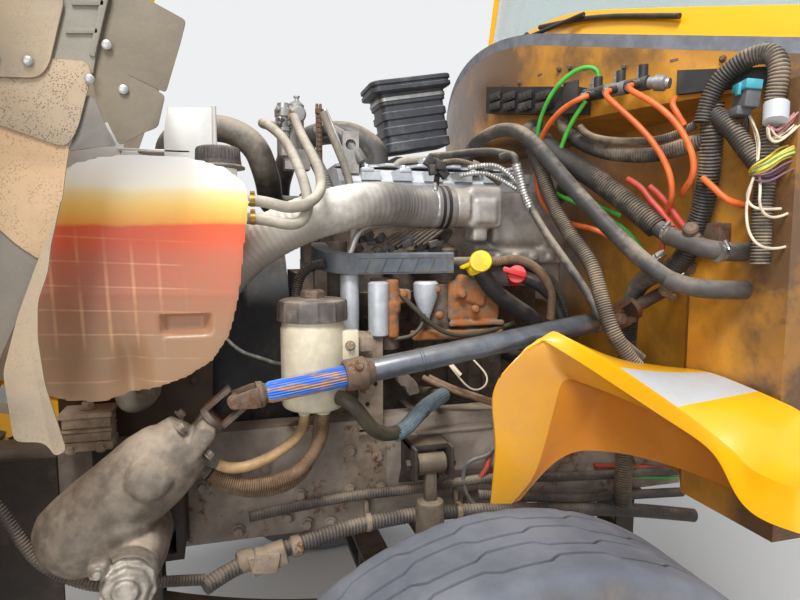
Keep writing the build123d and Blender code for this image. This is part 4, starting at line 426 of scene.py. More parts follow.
def faded_yellow_and_painted_shade():
    """Gloss paint that turns tan where it stands upright: partly faded paint and dust, partly painted shade
    on the upright faces.
    """
    finish = weathered(
        "bus_yellow", (247, 178, 12), (220, 158, 72), 0.26, 0.2, 0.0, (400, 0.0001), 4.0, 0.94,
        coat_weight=0.4, coat_roughness=0.14,
    )
    # The tan on upright faces is partly painted shade, standing for the lesser light that falls on them from
    # above.
    upright = finish.upward.between(0.5, 0.1) * finish.cloud(5, 4, 0.6).between(0.2, 0.75)
    finish.cover(upright * 0.75, shade(214, 152, 84))


def charge_hose_dust_and_highlight():
    """Black hose under a coat of pale dust that thins out towards the engine; the dust colour, raised to near
    white, is partly a painted sun highlight.
    """
    # The near-white dust colour is real dust and also a painted highlight on the hose's lit top.
    finish = weathered(
        "hose_rubber", (176, 170, 160), (252, 246, 234), 0.28, 0.85, 0.0, (60, 0.0003), 2.2, 0.86,
    )
    cleaner = finish.x.between(-1.02, -0.86) * (finish.cloud(9, 4).between(0.3, 0.6) * 0.4 + 0.45)
    finish.cover(cleaner, shade(84, 80, 78))


def painted_splines():
    """Blue paint rubbed off rusty splines in long streaks."""
    finish = weathered(
        "blue_splines", (176, 132, 98), (200, 168, 134), 0.42, 0.4, 0.2, (180, 0.0005), 24.0, 0.7,
    )
    streaks = finish.cloud(46, 3, 0.5, (0.16, 1.0, 1.2)).between(0.42, 0.5) * finish.x.between(-1.2, -1.17)
    finish.cover(streaks, shade(58, 112, 200))


layered_tank()
charge_hose_dust_and_highlight()
faded_yellow_and_painted_shade()
grimy_cowl()
painted_splines()

NODE_FINISH = {
    "frame_paint": (
        "front_axle leaf_springs shock_absorbers crossmembers bumper gear_bracket hood_hinge tank_brackets"
    ),
    "rail_steel": "frame_rails",
    "rusty_steel": "drag_link tie_rod column_yoke gear_yoke steering_shaft",
    "cast_iron": "steering_gear pitman_arm knuckle_left knuckle_right",
    "engine_iron": "engine filter_housings",
    "cast_aluminium": "intake_casting engine_fittings",
    "pale_cover": "valve_cover",
    "sheet_aluminium": "radiator charge_cooler",
    "black_plastic": (
        "fan fan_shroud surge_cap reservoir_lid filler_tubes relay_box wipers grille air_cleaner"
    ),
    "tray_plastic": "harness_tray",
    "flap_plastic": "splash_shields",
    "dusty_black_hose": "engine_hoses",
    "rubber": "air_duct coolant_lines heater_hoses steering_hoses",
    "hose_rubber": "charge_air_hose",
    "strip_rubber": "cowl_strip",
    "loom_plastic": "cowl_looms frame_looms",
    "orange_line": "air_lines",
    "hood_yellow": "windshield_frame",
    "bus_yellow": "fender_extensions",
    "cowl_yellow": "cowl",
    "tank_plastic": "surge_tank",
    "cream_plastic": "fluid_reservoir",
    "yellow_plastic": "filler_caps",
    "tyre_rubber": "tyre_left tyre_right",
    "rim_paint": "rim_left rim_right",
    "glass_clear": "windshield_glass",
    "lamp_lens": "headlamps",
}


def coat(piece, finish):
    piece.data.materials.clear()
    piece.data.materials.append(FINISHES[finish])


for finish, names in NODE_FINISH.items():
    for name in names.split():
        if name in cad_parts:
            coat(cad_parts[name], finish)

# Making of pieces


def put(name, data):
    """A new object in the scene."""
    made = bpy.data.objects.new(name, data)
    bpy.context.scene.collection.objects.link(made)
    return made


def worked_mesh(name, face_out=True):
    """What has been made since the last piece, as a mesh of its own."""
    if face_out:
        bmesh.ops.recalc_face_normals(work, faces=work.faces)
    mesh = bpy.data.meshes.new(name)
    work.to_mesh(mesh)
    work.clear()
    return mesh


def modified(mesh, steps):
    """A mesh as it leaves a row of modifiers, with the settings of each."""
    holder = put(mesh.name, mesh)
    for kind, settings in steps.items():
        modifier = holder.modifiers.new(kind, kind)
        for key, value in settings.items():
            setattr(modifier, key, value)
    ready = bpy.data.meshes.new_from_object(holder.evaluated_get(bpy.context.evaluated_depsgraph_get()))
    bpy.data.objects.remove(holder)
    return ready


def place_piece(name, mesh, finish, angle, replaces="", body="chassis"):
    """Puts a mesh in the scene as a piece that rides on a body."""
    made = put(name, mesh)
    for polygon in mesh.polygons:
        polygon.use_smooth = True
    mesh.set_sharp_from_angle(angle=math.radians(angle))
    coat(made, finish)
    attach(made, body)
    if replaces:
        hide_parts(replaces)


def piece(name, finish, slot, angle, replaces="", body="chassis"):
    place_piece(name, worked_mesh(name), finish, angle, replaces, body)


def rubber_piece(name, finish, replaces=""):
    piece(name, finish, "black_rubber", 60, replaces)


def line_piece(name, finish, replaces=""):
    piece(name, finish, "coloured_plastic", 60, replaces)


def smooth_route(points, step):
    """Even steps along the smooth curve that a route's points pull into shape."""
    curve = bpy.data.curves.new("route", "CURVE")
    curve.dimensions = "3D"
    curve.resolution_u = 16
    spline = curve.splines.new("NURBS")
    spline.points.add(len(points) - 1)
    for spot, (x, y, z) in zip(spline.points, points):
        spot.co = (x / 1000, y / 1000, z / 1000, 1)
    spline.order_u = 3
    spline.use_endpoint_u = True
    holder = bpy.data.objects.new("route", curve)
    mesh = bpy.data.meshes.new_from_object(holder)
    fine = [vertex.co.copy() for vertex in mesh.vertices]
    bpy.data.objects.remove(holder)
    bpy.data.curves.remove(curve)
    bpy.data.meshes.remove(mesh)
    lengths = [0.0]
    for before, after in zip(fine, fine[1:]):
        lengths.append(lengths[-1] + (after - before).length)
    count = max(2, round(lengths[-1] / step))
    spots = []
    at = 0
    for number in range(count + 1):
        wanted = lengths[-1] * number / count
        while at < len(fine) - 2 and lengths[at + 1] < wanted:
            at += 1
        run = lengths[at + 1] - lengths[at]
        spots.append(fine[at].lerp(fine[at + 1], (wanted - lengths[at]) / run if run else 0))
    return spots


def run_at(spots, n):
    """The direction in which a row of spots runs at one of them."""
    return (spots[min(n + 1, len(spots) - 1)] - spots[max(n - 1, 0)]).normalized()


def frames_along(spots):
    """A pair of directions square to a route at each spot, that never twist."""
    runs = [run_at(spots, n) for n in range(len(spots))]
    across = runs[0].orthogonal().normalized()
    pairs = []
    for run in runs:
        across = (across - run * across.dot(run)).normalized()
        pairs.append((across.copy(), run.cross(across)))
    return pairs


def round_ring(centre, across, up, radius, sides, rib=0.0, every=4, wide=2):
    """Corners round a centre in metres, some of them raised as ribs."""
    corners = []
    for side in range(sides):
        turn = 2 * math.pi * side / sides
        reach = radius + (rib if side % every < wide else 0)
        spot = centre + across * (math.cos(turn) * reach) + up * (math.sin(turn) * reach)
        corners.append(work.verts.new(spot))
    return corners


def skin_rings(rings):
    for before, after in zip(rings, rings[1:]):
        for n in range(len(before)):
            m = (n + 1) % len(before)
            work.faces.new((before[n], before[m], after[m], after[n]))
    work.faces.new(list(reversed(rings[0])))
    work.faces.new(rings[-1])


def tube(spots, radii, sides=16):
    """A round tube along a route, with a radius in metres at each spot."""
    rings = []
    for spot, radius, (across, up) in zip(spots, radii, frames_along(spots)):
        rings.append(round_ring(spot, across, up, radius, sides))
    skin_rings(rings)


def hose(points, radius, sides=16, step=8):
    spots = smooth_route(points, step / 1000)
    tube(spots, [radius / 1000] * len(spots), sides)


def ribbed(points, radius, pitch, depth, sides=18):
    """A corrugated tube: rounded ribs at an even pitch."""
    spots = smooth_route(points, pitch / 4000)
    heights = (0.0, 0.35, 1.0, 0.35)
    tube(spots, [(radius - depth * heights[n % 4]) / 1000 for n in range(len(spots))], sides)


def spun(start, axis, profile, sides=32):
    """A turned shape: distances along an axis and radii, in millimetres."""
    start = point(*start)
    axis = Vector(axis).normalized()
    across = axis.orthogonal().normalized()
    up = axis.cross(across)
    rings = []
    for along, radius in profile:
        centre = start + axis * (along / 1000)
        ring = []
        for side in range(sides):
            angle = 2 * math.pi * side / sides
            outward = across * math.cos(angle) + up * math.sin(angle)
            ring.append(work.verts.new(centre + outward * (radius / 1000)))
        rings.append(ring)
    skin_rings(rings)


CORNERS_TO_FLATS = 1.1547
WASHER = 2.2


def ease_edges(edges, cut):
    """Rounds edges off by a distance in millimetres."""
    return bmesh.ops.bevel(
        work, geom=list(edges), offset=cut / 1000, segments=2, profile=0.5, affect="EDGES", clamp_overlap=True
    )


def brick(x, y, z, edge=2.0, turn=None, centre=None):
    """A block with rounded edges between two limits on each axis, in millimetres."""
    low = point(min(x), min(y), min(z))
    high = point(max(x), max(y), max(z))
    verts = bmesh.ops.create_cube(work, size=1.0)["verts"]
    for vert in verts:
        vert.co = Vector([low[n] + (vert.co[n] + 0.5) * (high[n] - low[n]) for n in range(3)])
    made = ease_edges({e for vert in verts for e in vert.link_edges}, edge)
    verts = list({vert for face in made["faces"] for vert in face.verts} | {v for v in verts if v.is_valid})
    if turn:
        middle = point(*centre) if centre else (low + high) / 2
        bmesh.ops.rotate(work, verts=verts, cent=middle, matrix=turn)


def slab(outline, thickness, plane, edge=0.0):
    """A flat outline made thick: plane gives the start, the across and the up directions."""
    start, across, up = plane
    out = across.cross(up).normalized()
    front = [work.verts.new(start + across * (a / 1000) + up * (b / 1000)) for a, b in outline]
    back = [work.verts.new(vert.co - out * (thickness / 1000)) for vert in front]
    faces = [work.faces.new(front), work.faces.new(list(reversed(back)))]
    for n in range(len(front)):
        m = (n + 1) % len(front)
        faces.append(work.faces.new((front[m], front[n], back[n], back[m])))
    if edge:
        ease_edges({e for face in faces for e in face.edges}, edge)


def bolt(place, axis, across_flats, height=None):
    """A hexagon head on its washer, standing up from a face."""
    half = across_flats / 2 * CORNERS_TO_FLATS
    height = height or across_flats * 0.6
    spun(place, axis, ((0, half * 1.3), (1.6, half * 1.3), (WASHER, half * 1.2)), 20)
    spun(place, axis, (
        (WASHER, half * 0.98), (WASHER + height * 0.75, half), (WASHER + height, half * 0.8),
    ), 6)


def clamp_band(spots, radius, width=12.0):
    """A hose clamp: a thin band with its screw housing on top."""
    middle = spots[len(spots) // 2]
    run = (spots[-1] - spots[0]).normalized()
    start = (middle - run * (width / 2000)) * 1000
    spun(start, run, ((0, radius), (0, radius + 1.2), (width, radius + 1.2), (width, radius)), 40)
    lean = Vector((-0.35, -0.75, 0.55))
    side = (lean - run * lean.dot(run)).normalized()
    spot = (middle + side * ((radius + 4.5) / 1000) - run.cross(side) * 0.011) * 1000
    spun(spot, run.cross(side), ((0, 4.4), (1.5, 5.4), (15, 5.4), (16, 4.2), (16.5, 3.0), (22, 3.0)), 12)


def remeshed(name, voxel, rounds):
    """One skin over everything in the work, with its edges softened."""
    skin = {"mode": "VOXEL", "voxel_size": voxel / 1000}
    return modified(worked_mesh(name), {"REMESH": skin, "SMOOTH": {"factor": 0.5, "iterations": rounds}})


def roughened(mesh, scale, depth, octaves=3):
    """The small bumps of a sand casting."""
    ways = [vertex.normal.copy() for vertex in mesh.vertices]
    for vertex, way in zip(mesh.vertices, ways):
        vertex.co += way * (noise.fractal(vertex.co * scale, 1.0, 2.0, octaves) * depth / 1000)
    return mesh


def casting(name, voxel, rounds, bumps, finish, angle, replaces="", body="chassis"):
    """One softened skin over everything in the work, as rough as its bumps say."""
    place_piece(name, roughened(remeshed(name, voxel, rounds), *bumps), finish, angle, replaces, body)


# Surge tank: a blow-moulded pillow with a slot, a thumb dent and a cap neck

TANK_OUTLINE = (
    (-1502, 628), (-1512, 596), (-1520, 560), (-1528, 510), (-1538, 468), (-1545, 428), (-1546, 386),
    (-1538, 342), (-1526, 322), (-1500, 312), (-1451, 308), (-1402, 318), (-1366, 326), (-1322, 340),
    (-1280, 364), (-1256, 400), (-1242, 453), (-1234, 500), (-1229, 545), (-1222, 600), (-1217, 636),
    (-1220, 654), (-1241, 671), (-1285, 683), (-1330, 687), (-1380, 687), (-1430, 682), (-1468, 670),
    (-1490, 651),
)
TANK_LEVELS = (
    # depth, how far the outline is drawn in
    (-688, 42), (-687, 28), (-682, 15), (-672, 6), (-655, 0), (-611, 0), (-608, -6), (-602, -6), (-599, 0),
    (-535, 0), (-518, 6), (-508, 15), (-502, 28),
)


def tank_ring(depth, inset):
    count = len(TANK_OUTLINE)
    ring = []
    for n in range(count):
        before = Vector(TANK_OUTLINE[n - 1])
        here = Vector(TANK_OUTLINE[n])
        after = Vector(TANK_OUTLINE[(n + 1) % count])
        run = (after - before).normalized()
        inward = Vector((-run.y, run.x))
        spot = here - inward * inset
        ring.append(work.verts.new(point(spot.x, depth, spot.y)))
    return ring


skin_rings([tank_ring(depth, inset) for depth, inset in TANK_LEVELS])
bmesh.ops.subdivide_edges(work, edges=work.edges[:], cuts=1, smooth=0.15, use_grid_fill=True)
spun((-1244, -600, 660), UP, ((0, 35), (58, 35), (62, 34)), 40)
for z in (640, 606):
    spun((-1232, -640, z), REAR, ((0, 10), (26, 10), (29, 12), (33, 9), (36, 8)), 20)
tank_mesh = remeshed("surge_tank_shell", 4.8, 5)
for vertex in tank_mesh.vertices:
    x, y, z = vertex.co * 1000
    if y < -640:
        front = min(1, (-640 - y) / 30)
        slot_x = min(1, max(0, (x + 1352) / 8)) * min(1, max(0, (-1262 - x) / 14))
        slot_z = min(1, max(0, (z - 392) / 14)) * min(1, max(0, (434 - z) / 5))
        dent = math.exp(-(((x + 1405) / 26) ** 2) - (((z - 322) / 62) ** 2))
        crease = math.exp(-(((x + 1418 + (z - 400) * 0.12) / 9) ** 2)) * min(1, max(0, (470 - z) / 60))
        rib = math.exp(-(((z - 470 + (x + 1380) * 0.03) / 5) ** 2)) * 1.6
        vertex.co.y += front * (slot_x * slot_z * 24 + dent * 30 + crease * 3 - rib * 0.6) / 1000
place_piece("surge_tank_shell", tank_mesh, "tank_plastic", 60, "surge_tank")

spun((-1244, -600, 708), UP, ((-8, 48), (-7.5, 50), (-4, 50), (-2, 48), (0, 44), (8, 43)), 48)
rings = []
for height, radius in ((714, 41), (717, 42.5), (736, 41.5), (740, 39), (742, 34), (742, 10)):
    rib = -0.0016 if 716 < height < 741 else 0
    rings.append(round_ring(point(-1244, -600, height), REAR, RIGHT, radius / 1000, 144, rib))
skin_rings(rings)
piece("surge_tank_cap", "lid_plastic", "black_plastic", 30, "surge_cap")

# Charge air hose with its fine ribs, clamp and the throttle's rubber sleeve

CHARGE_ROUTE = (
    (-1440, -434, 332), (-1380, -434, 332), (-1300, -436, 400), (-1222, -440, 512), (-1130, -462, 582),
    (-1010, -478, 630), (-890, -450, 650), (-800, -392, 644), (-690, -392, 644),
)
spots = smooth_route(CHARGE_ROUTE, 0.00325)
radii = []
for n in range(len(spots)):
    radii.append((51.6 - (0.0, 0.45, 0.9, 0.45)[n % 4] * (0 if n > len(spots) - 28 else 1)) / 1000)
tube(spots, radii, 44)
rubber_piece("charge_air_hose_ribbed", "hose_rubber", "charge_air_hose")
spun((-752, -392, 644), REAR, (
    (0, 52.4), (0, 54), (3, 54), (4, 53.4), (13, 53.4), (14, 54), (17, 54), (17, 52.4),
), 64)
spun((-744, -430, 682), (0.2, 0.7, 0.7), ((0, 4), (2, 6), (24, 6), (26, 4)), 14)
piece("charge_hose_clamp", "bright_steel", "steel", 30)
spun((-727, -392, 644), REAR, (
    (0, 48), (0, 53.5), (7, 53.5), (9, 51), (14, 51), (16, 53.5), (23, 53.5), (25, 50), (34, 50), (36, 47),
), 56)
piece("throttle_sleeve", "rubber", "black_rubber", 30)

# Fluid reservoir with its ribbed lid and hexagon knob, and its brackets

spun((-1056, -520, 200), UP, (
    (0, 40), (0, 60), (3, 65), (9, 69), (60, 70), (176, 70), (182, 68), (192, 66), (192, 40),
), 56)
brick((-1000, -962), (-560, -544), (306, 372), 4)
spun((-1078, -528, 184), UP, ((0, 12), (2, 13), (18, 13)), 20)
spun((-1036, -528, 184), UP, ((0, 15), (2, 16), (18, 16)), 20)
piece("fluid_reservoir_body", "cream_plastic", "white_plastic", 35, "fluid_reservoir")

rings = []
for height, radius in ((392, 72), (393, 75), (430, 74), (435, 71), (437.5, 66), (438, 58), (438, 22)):
    rib = 0.0022 if 392.5 < height < 436 else 0
    rings.append(round_ring(point(-1056, -520, height), REAR, RIGHT, radius / 1000, 120, rib, 10, 1))
skin_rings(rings)
spun((-1056, -520, 437), UP, ((0, 30), (2, 28), (3, 24)), 32)
piece("reservoir_lid_ribbed", "lid_plastic", "black_plastic", 32, "reservoir_lid")
spun((-1056, -520, 440), UP, ((0, 26), (13, 26), (17, 23), (18, 8)), 6)
piece("reservoir_knob", "knob_rust", "black_plastic", 30)

slab(((0, 100), (60, 100), (60, 350), (4, 350), (0, 340)), 6, sideways(-447, -940), 0.8)
slab(((-34, -60), (72, -60), (72, 112), (60, 120), (-28, 120), (-34, 108)), 7, sideways(-431, -940), 1.0)
brick((-940, -880), (-447, -431), (106, 114), 1.5)
brick((-1440, -1300), (-499.6, -494), (560, 660), 1)
brick((-1440, -1370), (-494, -386), (600, 606), 1)
brick((-1440, -1434), (-494, -386), (560, 640), 1)
brick((-1436, -1336), (-391, -385.3), (560, 660), 1)
for x, z in ((-960, 60), (-892, 40), (-962, -36), (-884, -40)):
    bolt((x, -438.2, z), LEFT, 19)
bolt((-982, -560, 338), LEFT, 15)
brick((-984, -926), (-544, -447), (320, 352), 2)
piece("reservoir_brackets", "dusty_bracket", "steel", 32, "tank_brackets")
# Thin near-black discs stand where the bracket's holes are: painted shade, with no real holes cut.
for x, z in ((-926, 324), (-892, 262), (-926, 236), (-900, 224), (-920, 176)):
    spun((x, -453.2, z), LEFT, ((0, 5.5), (0.15, 5.5), (0.2, 5.4)), 20)
piece("painted_bracket_hole_shade", "dark_gap", "steel", 30)

# Steering shaft: rusty fork, blue splined part, collar, black tube and the upper fork

SHAFT_LOW = Vector((-1228, -636, 256))
SHAFT_RUN = Vector((-342, -585, 378)) - SHAFT_LOW
SHAFT_LENGTH = SHAFT_RUN.length
SHAFT_RUN.normalize()


def on_shaft(distance):
    return SHAFT_LOW + SHAFT_RUN * distance


def fork_ears(centre, run, ears):
    """A forged fork: two rounded ears that grow out of a round base."""
    reach = 46
    ears = (ears - run * ears.dot(run)).normalized()
    side = run.cross(ears)
    for sign in (-1, 1):
        outline = [
            (-13, 2), (-9, -9), (0, -13), (9, -9), (13, 2), (19, reach - 8), (19, reach + 2),
            (-19, reach + 2), (-19, reach - 8),
        ]
        start = (centre + ears * (28 if sign > 0 else -19)) / 1000
        slab(outline, 9, (start, side, run), 1.6)
        spun(centre + ears * (20 * sign), ears * sign, ((0, 12), (9, 12), (10, 10), (10, 6)), 20)
    spun(centre + run * (reach - 2), run, ((0, 22), (2, 27), (12, 26), (18, 20), (24, 16)), 28)


fork_ears(SHAFT_LOW, SHAFT_RUN, RIGHT)
fork_ears(on_shaft(SHAFT_LENGTH), -SHAFT_RUN, RIGHT)
ears_axis = (RIGHT - SHAFT_RUN * RIGHT.dot(SHAFT_RUN)).normalized()
for centre in (SHAFT_LOW, on_shaft(SHAFT_LENGTH)):
    spun(centre - ears_axis * 27, ears_axis, ((0, 7), (54, 7)), 16)
    spun(centre - ears_axis * 14, ears_axis, ((0, 8), (3, 13), (25, 13), (28, 8)), 20)
spun(on_shaft(224), SHAFT_RUN, ((0, 26), (0, 30), (4, 33), (36, 34), (44, 33), (48, 29), (62, 25)), 40)
spun(on_shaft(244), (0.15, -0.8, 0.6), ((20, 9), (38, 9), (40, 7), (40, 3)), 12)
piece("shaft_forks_and_collar", "forged_rust", "steel", 34, "steering_shaft", body="steering_shaft")

rings = []
across, up = frames_along([on_shaft(60), on_shaft(230)])[0]
for distance, radius, rib in ((60, 17, 0), (72, 19.6, 0.0022), (228, 19.6, 0.0022)):
    rings.append(round_ring(on_shaft(distance) / 1000, across, up, radius / 1000, 96, rib))
skin_rings(rings)
piece("shaft_splines", "blue_splines", "steel", 30, body="steering_shaft")
spun(on_shaft(270), SHAFT_RUN, (
    (0, 22), (8, 24.5), (SHAFT_LENGTH - 270 - 66, 24.5), (SHAFT_LENGTH - 270 - 58, 22),
), 48)
for distance in (388, 394):
    spun(on_shaft(distance), SHAFT_RUN, ((0, 24.4), (0.7, 26), (1.8, 26), (2.5, 24.4)), 40)
piece("shaft_tube", "black_tube_painted_sheen", "steel", 34, body="steering_shaft")

# Steering gear: one dusty casting, its flange bolts and ports, and the arm on its sector shaft

GEAR_BOLT_CIRCLE = 52
GEAR_DOWN = Vector((-math.cos(math.radians(39.5)), 0, -math.sin(math.radians(39.5))))


def on_gear(distance, y=-636):
    spot = SHAFT_LOW + GEAR_DOWN * distance
    return (spot.x, y, spot.z)


spun(on_gear(96), GEAR_DOWN, ((0, 34), (6, 44), (10, 56), (30, 60), (46, 62), (60, 58)), 40)
spun(on_gear(132), GEAR_DOWN, (
    (0, 56), (10, 66), (26, 72), (60, 77), (150, 79), (230, 79), (262, 74), (282, 62), (296, 44), (302, 24),
), 44)
spun((-1411, -545.3, -15), LEFT, ((0, 58), (60, 58), (110, 56), (150, 50), (172, 46), (177, 42)), 40)
spun(on_gear(286, -640), (0.28, -0.55, -0.78), ((0, 62), (40, 58), (70, 50), (84, 36)), 30)
spun(on_gear(200, -660), (0.1, -1, 0.3), ((20, 44), (52, 40), (60, 30), (64, 14)), 30)
brick((-1330, -1262), (-690, -560), (150, 186), 8, turned("Y", 39.5 - 90), on_gear(116))
spun((-1330, -608, 168), (0.82, 0, -0.57), ((0, 22), (40, 22), (60, 18)), 24)
spun((-1345, -590, 147), (0.77, 0, -0.64), ((0, 26), (50, 24), (68, 18)), 24)
for turn in (-40, 50, 130):
    spun(on_gear(118, -636 + 58 * math.sin(math.radians(turn))), GEAR_DOWN, ((0, 16), (28, 16)), 16)
casting("steering_gear_casting", 3.6, 7, (34, 0.9), "cast_iron", 60, "steering_gear")
gear_lift = Vector((GEAR_DOWN.z, 0, -GEAR_DOWN.x))
for turn in (-52, 38, 128, 218):
    spot = SHAFT_LOW + GEAR_DOWN * 100
    lift, across = around(GEAR_BOLT_CIRCLE, turn)
    bolt(spot + RIGHT * across + gear_lift * lift, -GEAR_DOWN, 16)
spun((-1411, -722.2, -15), LEFT, ((0, 19.9), (57, 19.9)), 24)
spun((-1282, -608, 135), (0.82, 0, -0.57), ((0, 13), (14, 13), (15, 11), (24, 11)), 6)
spun((-1301, -590, 113), (0.77, 0, -0.64), ((0, 15), (16, 15), (17, 13), (26, 13)), 6)
piece("steering_gear_bolts", "cast_iron", "steel", 30)

spun((-1411, -724, -15), LEFT, ((0, 20.3), (0, 42), (3, 46), (32, 46), (36, 43), (36, 20.3)), 40)
spun((-1411, -759, -15), LEFT, ((0, 38), (8, 38), (11, 35), (11, 27)), 40)
spun((-1411, -768, -15), LEFT, ((0, 30), (8, 30), (11, 27), (12, 22), (12, 6)), 36)
outline = ((-34, 0), (-30, -60), (-22, -125), (22, -125), (30, -60), (34, 0))
slab(outline, 30, sideways(-760, -1411, -30), 5)
slab((
    (-760, -139), (-730, -139), (-625, -242), (-625, -278), (-650, -278), (-760, -165),
), 38, (point(-1392, 0, 0), RIGHT, UP), 5)
spun((-1411, -650, -256), RIGHT, ((0, 20), (3, 24), (34, 24), (37, 21)), 28)
spun((-1411, -640, -256), RIGHT, ((0, 9), (76, 9)), 16)
piece("pitman_arm_forging", "greasy_iron", "cast_iron", 38, "pitman_arm", body="pitman_arm")

# Small hoses between the tank, the engine, the gear and the reservoir

COOLANT_LINES = (
    ((
        (-1195, -640, 640), (-1168, -640, 640), (-1105, -650, 622), (-1050, -622, 652), (-1040, -560, 705),
        (-1050, -440, 770), (-1062, -345, 832), (-1066, -325, 862), (-1066, -270, 862),
    ), 11),
    ((
        (-1195, -640, 606), (-1168, -640, 606), (-1100, -640, 590), (-1074, -618, 622), (-1074, -580, 672),
        (-1085, -480, 745), (-1105, -390, 805), (-1140, -300, 848), (-1136, -235, 850), (-1090, -235, 850),
    ), 11),
    (((-992, -285, 882), (-960, -275, 810), (-925, -262, 735), (-905, -262, 640), (-905, -230, 540)), 10),
    ((
        (-740, -40, 765), (-740, -40, 800), (-640, -52, 806), (-560, -44, 802), (-455, -46, 800),
        (-455, -46, 765),
    ), 10),
)
for route, radius in COOLANT_LINES:
    hose(route, radius, 18)
rubber_piece("coolant_small_hoses", "beige_hose", "coolant_lines")
hose((
    (-1430, -590, 316), (-1430, -590, 262), (-1420, -540, 236), (-1400, -460, 232), (-1400, -385, 232),
), 20, 22)
rubber_piece("tank_drain_hose", "beige_hose")
for x, y, z, run, radius in (
    (-1188, -640, 640, (1, 0, 0), 11), (-1188, -640, 606, (1, 0, 0), 11), (-1066, -292, 862, (0, 1, 0), 11),
    (-1104, -235, 850, (1, 0, 0), 11), (-1430, -590, 290, (0, 0, 1), 20),
):
    run = Vector(run)
    spun((x, y, z), run, ((0, radius), (0, radius + 1.3), (9, radius + 1.3), (9, radius)), 28)
    spun((x, y - 3, z + radius + 3), run, ((0, 2), (1, 3.4), (8, 3.4), (9, 2)), 10)
piece("small_hose_clamps", "brass_clamp", "steel", 30)

hose((
    (-1262, -608, 121), (-1237, -608, 104), (-1165, -600, 116), (-1098, -566, 145), (-1078, -528, 165),
    (-1078, -528, 190),
), 11, 20)
rubber_piece("reservoir_feed_hose", "cream_hose")
ribbed((
    (-1278, -590, 95), (-1256, -590, 76), (-1180, -590, 58), (-1100, -580, 72), (-1050, -550, 120),
    (-1036, -528, 160), (-1036, -528, 196),
), 15, 4.6, 2.2, 22)
ribbed((
    (-1272, -578, 78), (-1238, -572, 52), (-1180, -568, 34), (-1105, -556, 42), (-1062, -540, 92),
    (-1046, -520, 140), (-1044, -508, 190),
), 13, 4.6, 2.0, 20)
rubber_piece("gear_return_hoses", "brown_sleeve")
hose((
    (-1010.6, -574.4, 230), (-990, -599, 230), (-932, -582, 142), (-864, -545, 130), (-830, -534, 152),
    (-800, -522, 172),
), 16, 22)
hose(((-762, -500, 186), (-742, -470, 188), (-735, -400, 180), (-742, -290, 152), (-742, -171, 152)), 14, 20)
rubber_piece("pump_hose_ends", "olive_hose", "steering_hoses")
spots = smooth_route((
    (-880, -552, 130), (-852, -541, 136), (-822, -530, 162), (-790, -514, 180), (-755, -496, 190),
    (-735, -468, 188),
), 0.003)
rings = []
for spot, (across, up) in zip(spots, frames_along(spots)):
    rings.append(round_ring(spot, across, up, 0.0185, 72, -0.0009))
skin_rings(rings)
piece("pump_hose_sleeve", "blue_sleeve", "black_rubber", 40)

# Heater hoses, corrugated looms and the air lines that hang in loops in front of the cowl

HEATER_LONG = (
    (-230, -852, 465), (-290, -852, 465), (-335, -800, 470), (-375, -760, 500), (-420, -680, 580),
    (-464, -562, 694), (-504, -431, 828), (-525, -330, 856), (-535, -210, 846), (-532, -125, 826),
    (-530, -95, 795), (-530, -95, 764),
)
HEATER_SHORT = (
    (-230, -846, 541), (-300, -846, 541), (-340, -742, 575), (-380, -653, 657), (-425, -531, 732),
    (-412, -470, 712), (-400, -425, 684), (-396, -385, 660), (-396, -350, 660),
)
hose(HEATER_LONG, 18, 22)
hose(HEATER_SHORT, 18, 22)
rubber_piece("heater_hose_pair", "dusty_hose", "heater_hoses")
ribbed((
    (-347, -726, 591), (-380, -653, 657), (-425, -535, 738), (-440, -490, 760), (-448, -430, 800),
    (-452, -380, 836),
), 25, 6.4, 3.2, 26)
rubber_piece("heater_hose_sleeve", "loom_plastic")
hose(((-228, -852, 465), (-290, -852, 465), (-335, -800, 470), (-360, -778, 486)), 19.2, 22)
hose(((-228, -846, 541), (-300, -846, 541), (-322, -796, 558), (-338, -750, 574)), 19.2, 22)
rubber_piece("heater_hose_ends", "pale_loom")
for spot, run, radius in (
    ((-338, -750, 578), (40, -104, -34), 18.3), ((-352, -738, 524), (-45, 80, 80), 18.3),
    ((-292, -846, 541), (1, 0, 0), 18.3),
):
    run = Vector(run).normalized()
    clamp_band([point(*spot) - run * 0.01, point(*spot), point(*spot) + run * 0.01], radius, 13)
piece("heater_hose_clamps", "bright_steel", "steel", 30)

COWL_LOOMS = (
    (
        (-288, -803, 836), (-286, -804, 770), (-272, -784, 676), (-264, -754, 600), (-262, -705, 505),
        (-262, -610, 484), (-255, -530, 440), (-250, -508, 300), (-242, -506, 100), (-242, -506, -134),
    ),
    (
        (-306, -800, 800), (-298, -806, 862), (-276, -855, 908), (-250, -900, 916), (-250, -924, 880),
        (-252, -914, 810), (-256, -911, 700), (-258, -908, 600), (-258, -911, 520),
    ),
    ((-290, -810, 815), (-284, -848, 786), (-274, -872, 745), (-262, -900, 706)),
    (
        (-418, -445, 871), (-418, -447, 840), (-390, -548, 775), (-353, -646, 752), (-322, -715, 750),
        (-290, -795, 768),
    ),
)
for route, radius, pitch in zip(COWL_LOOMS, (23, 19, 19, 18), (6.6, 6.2, 6.2, 6.0)):
    ribbed(route, radius, pitch, radius * 0.13, 16)
rubber_piece("cowl_looms_ribbed", "loom_plastic", "cowl_looms")

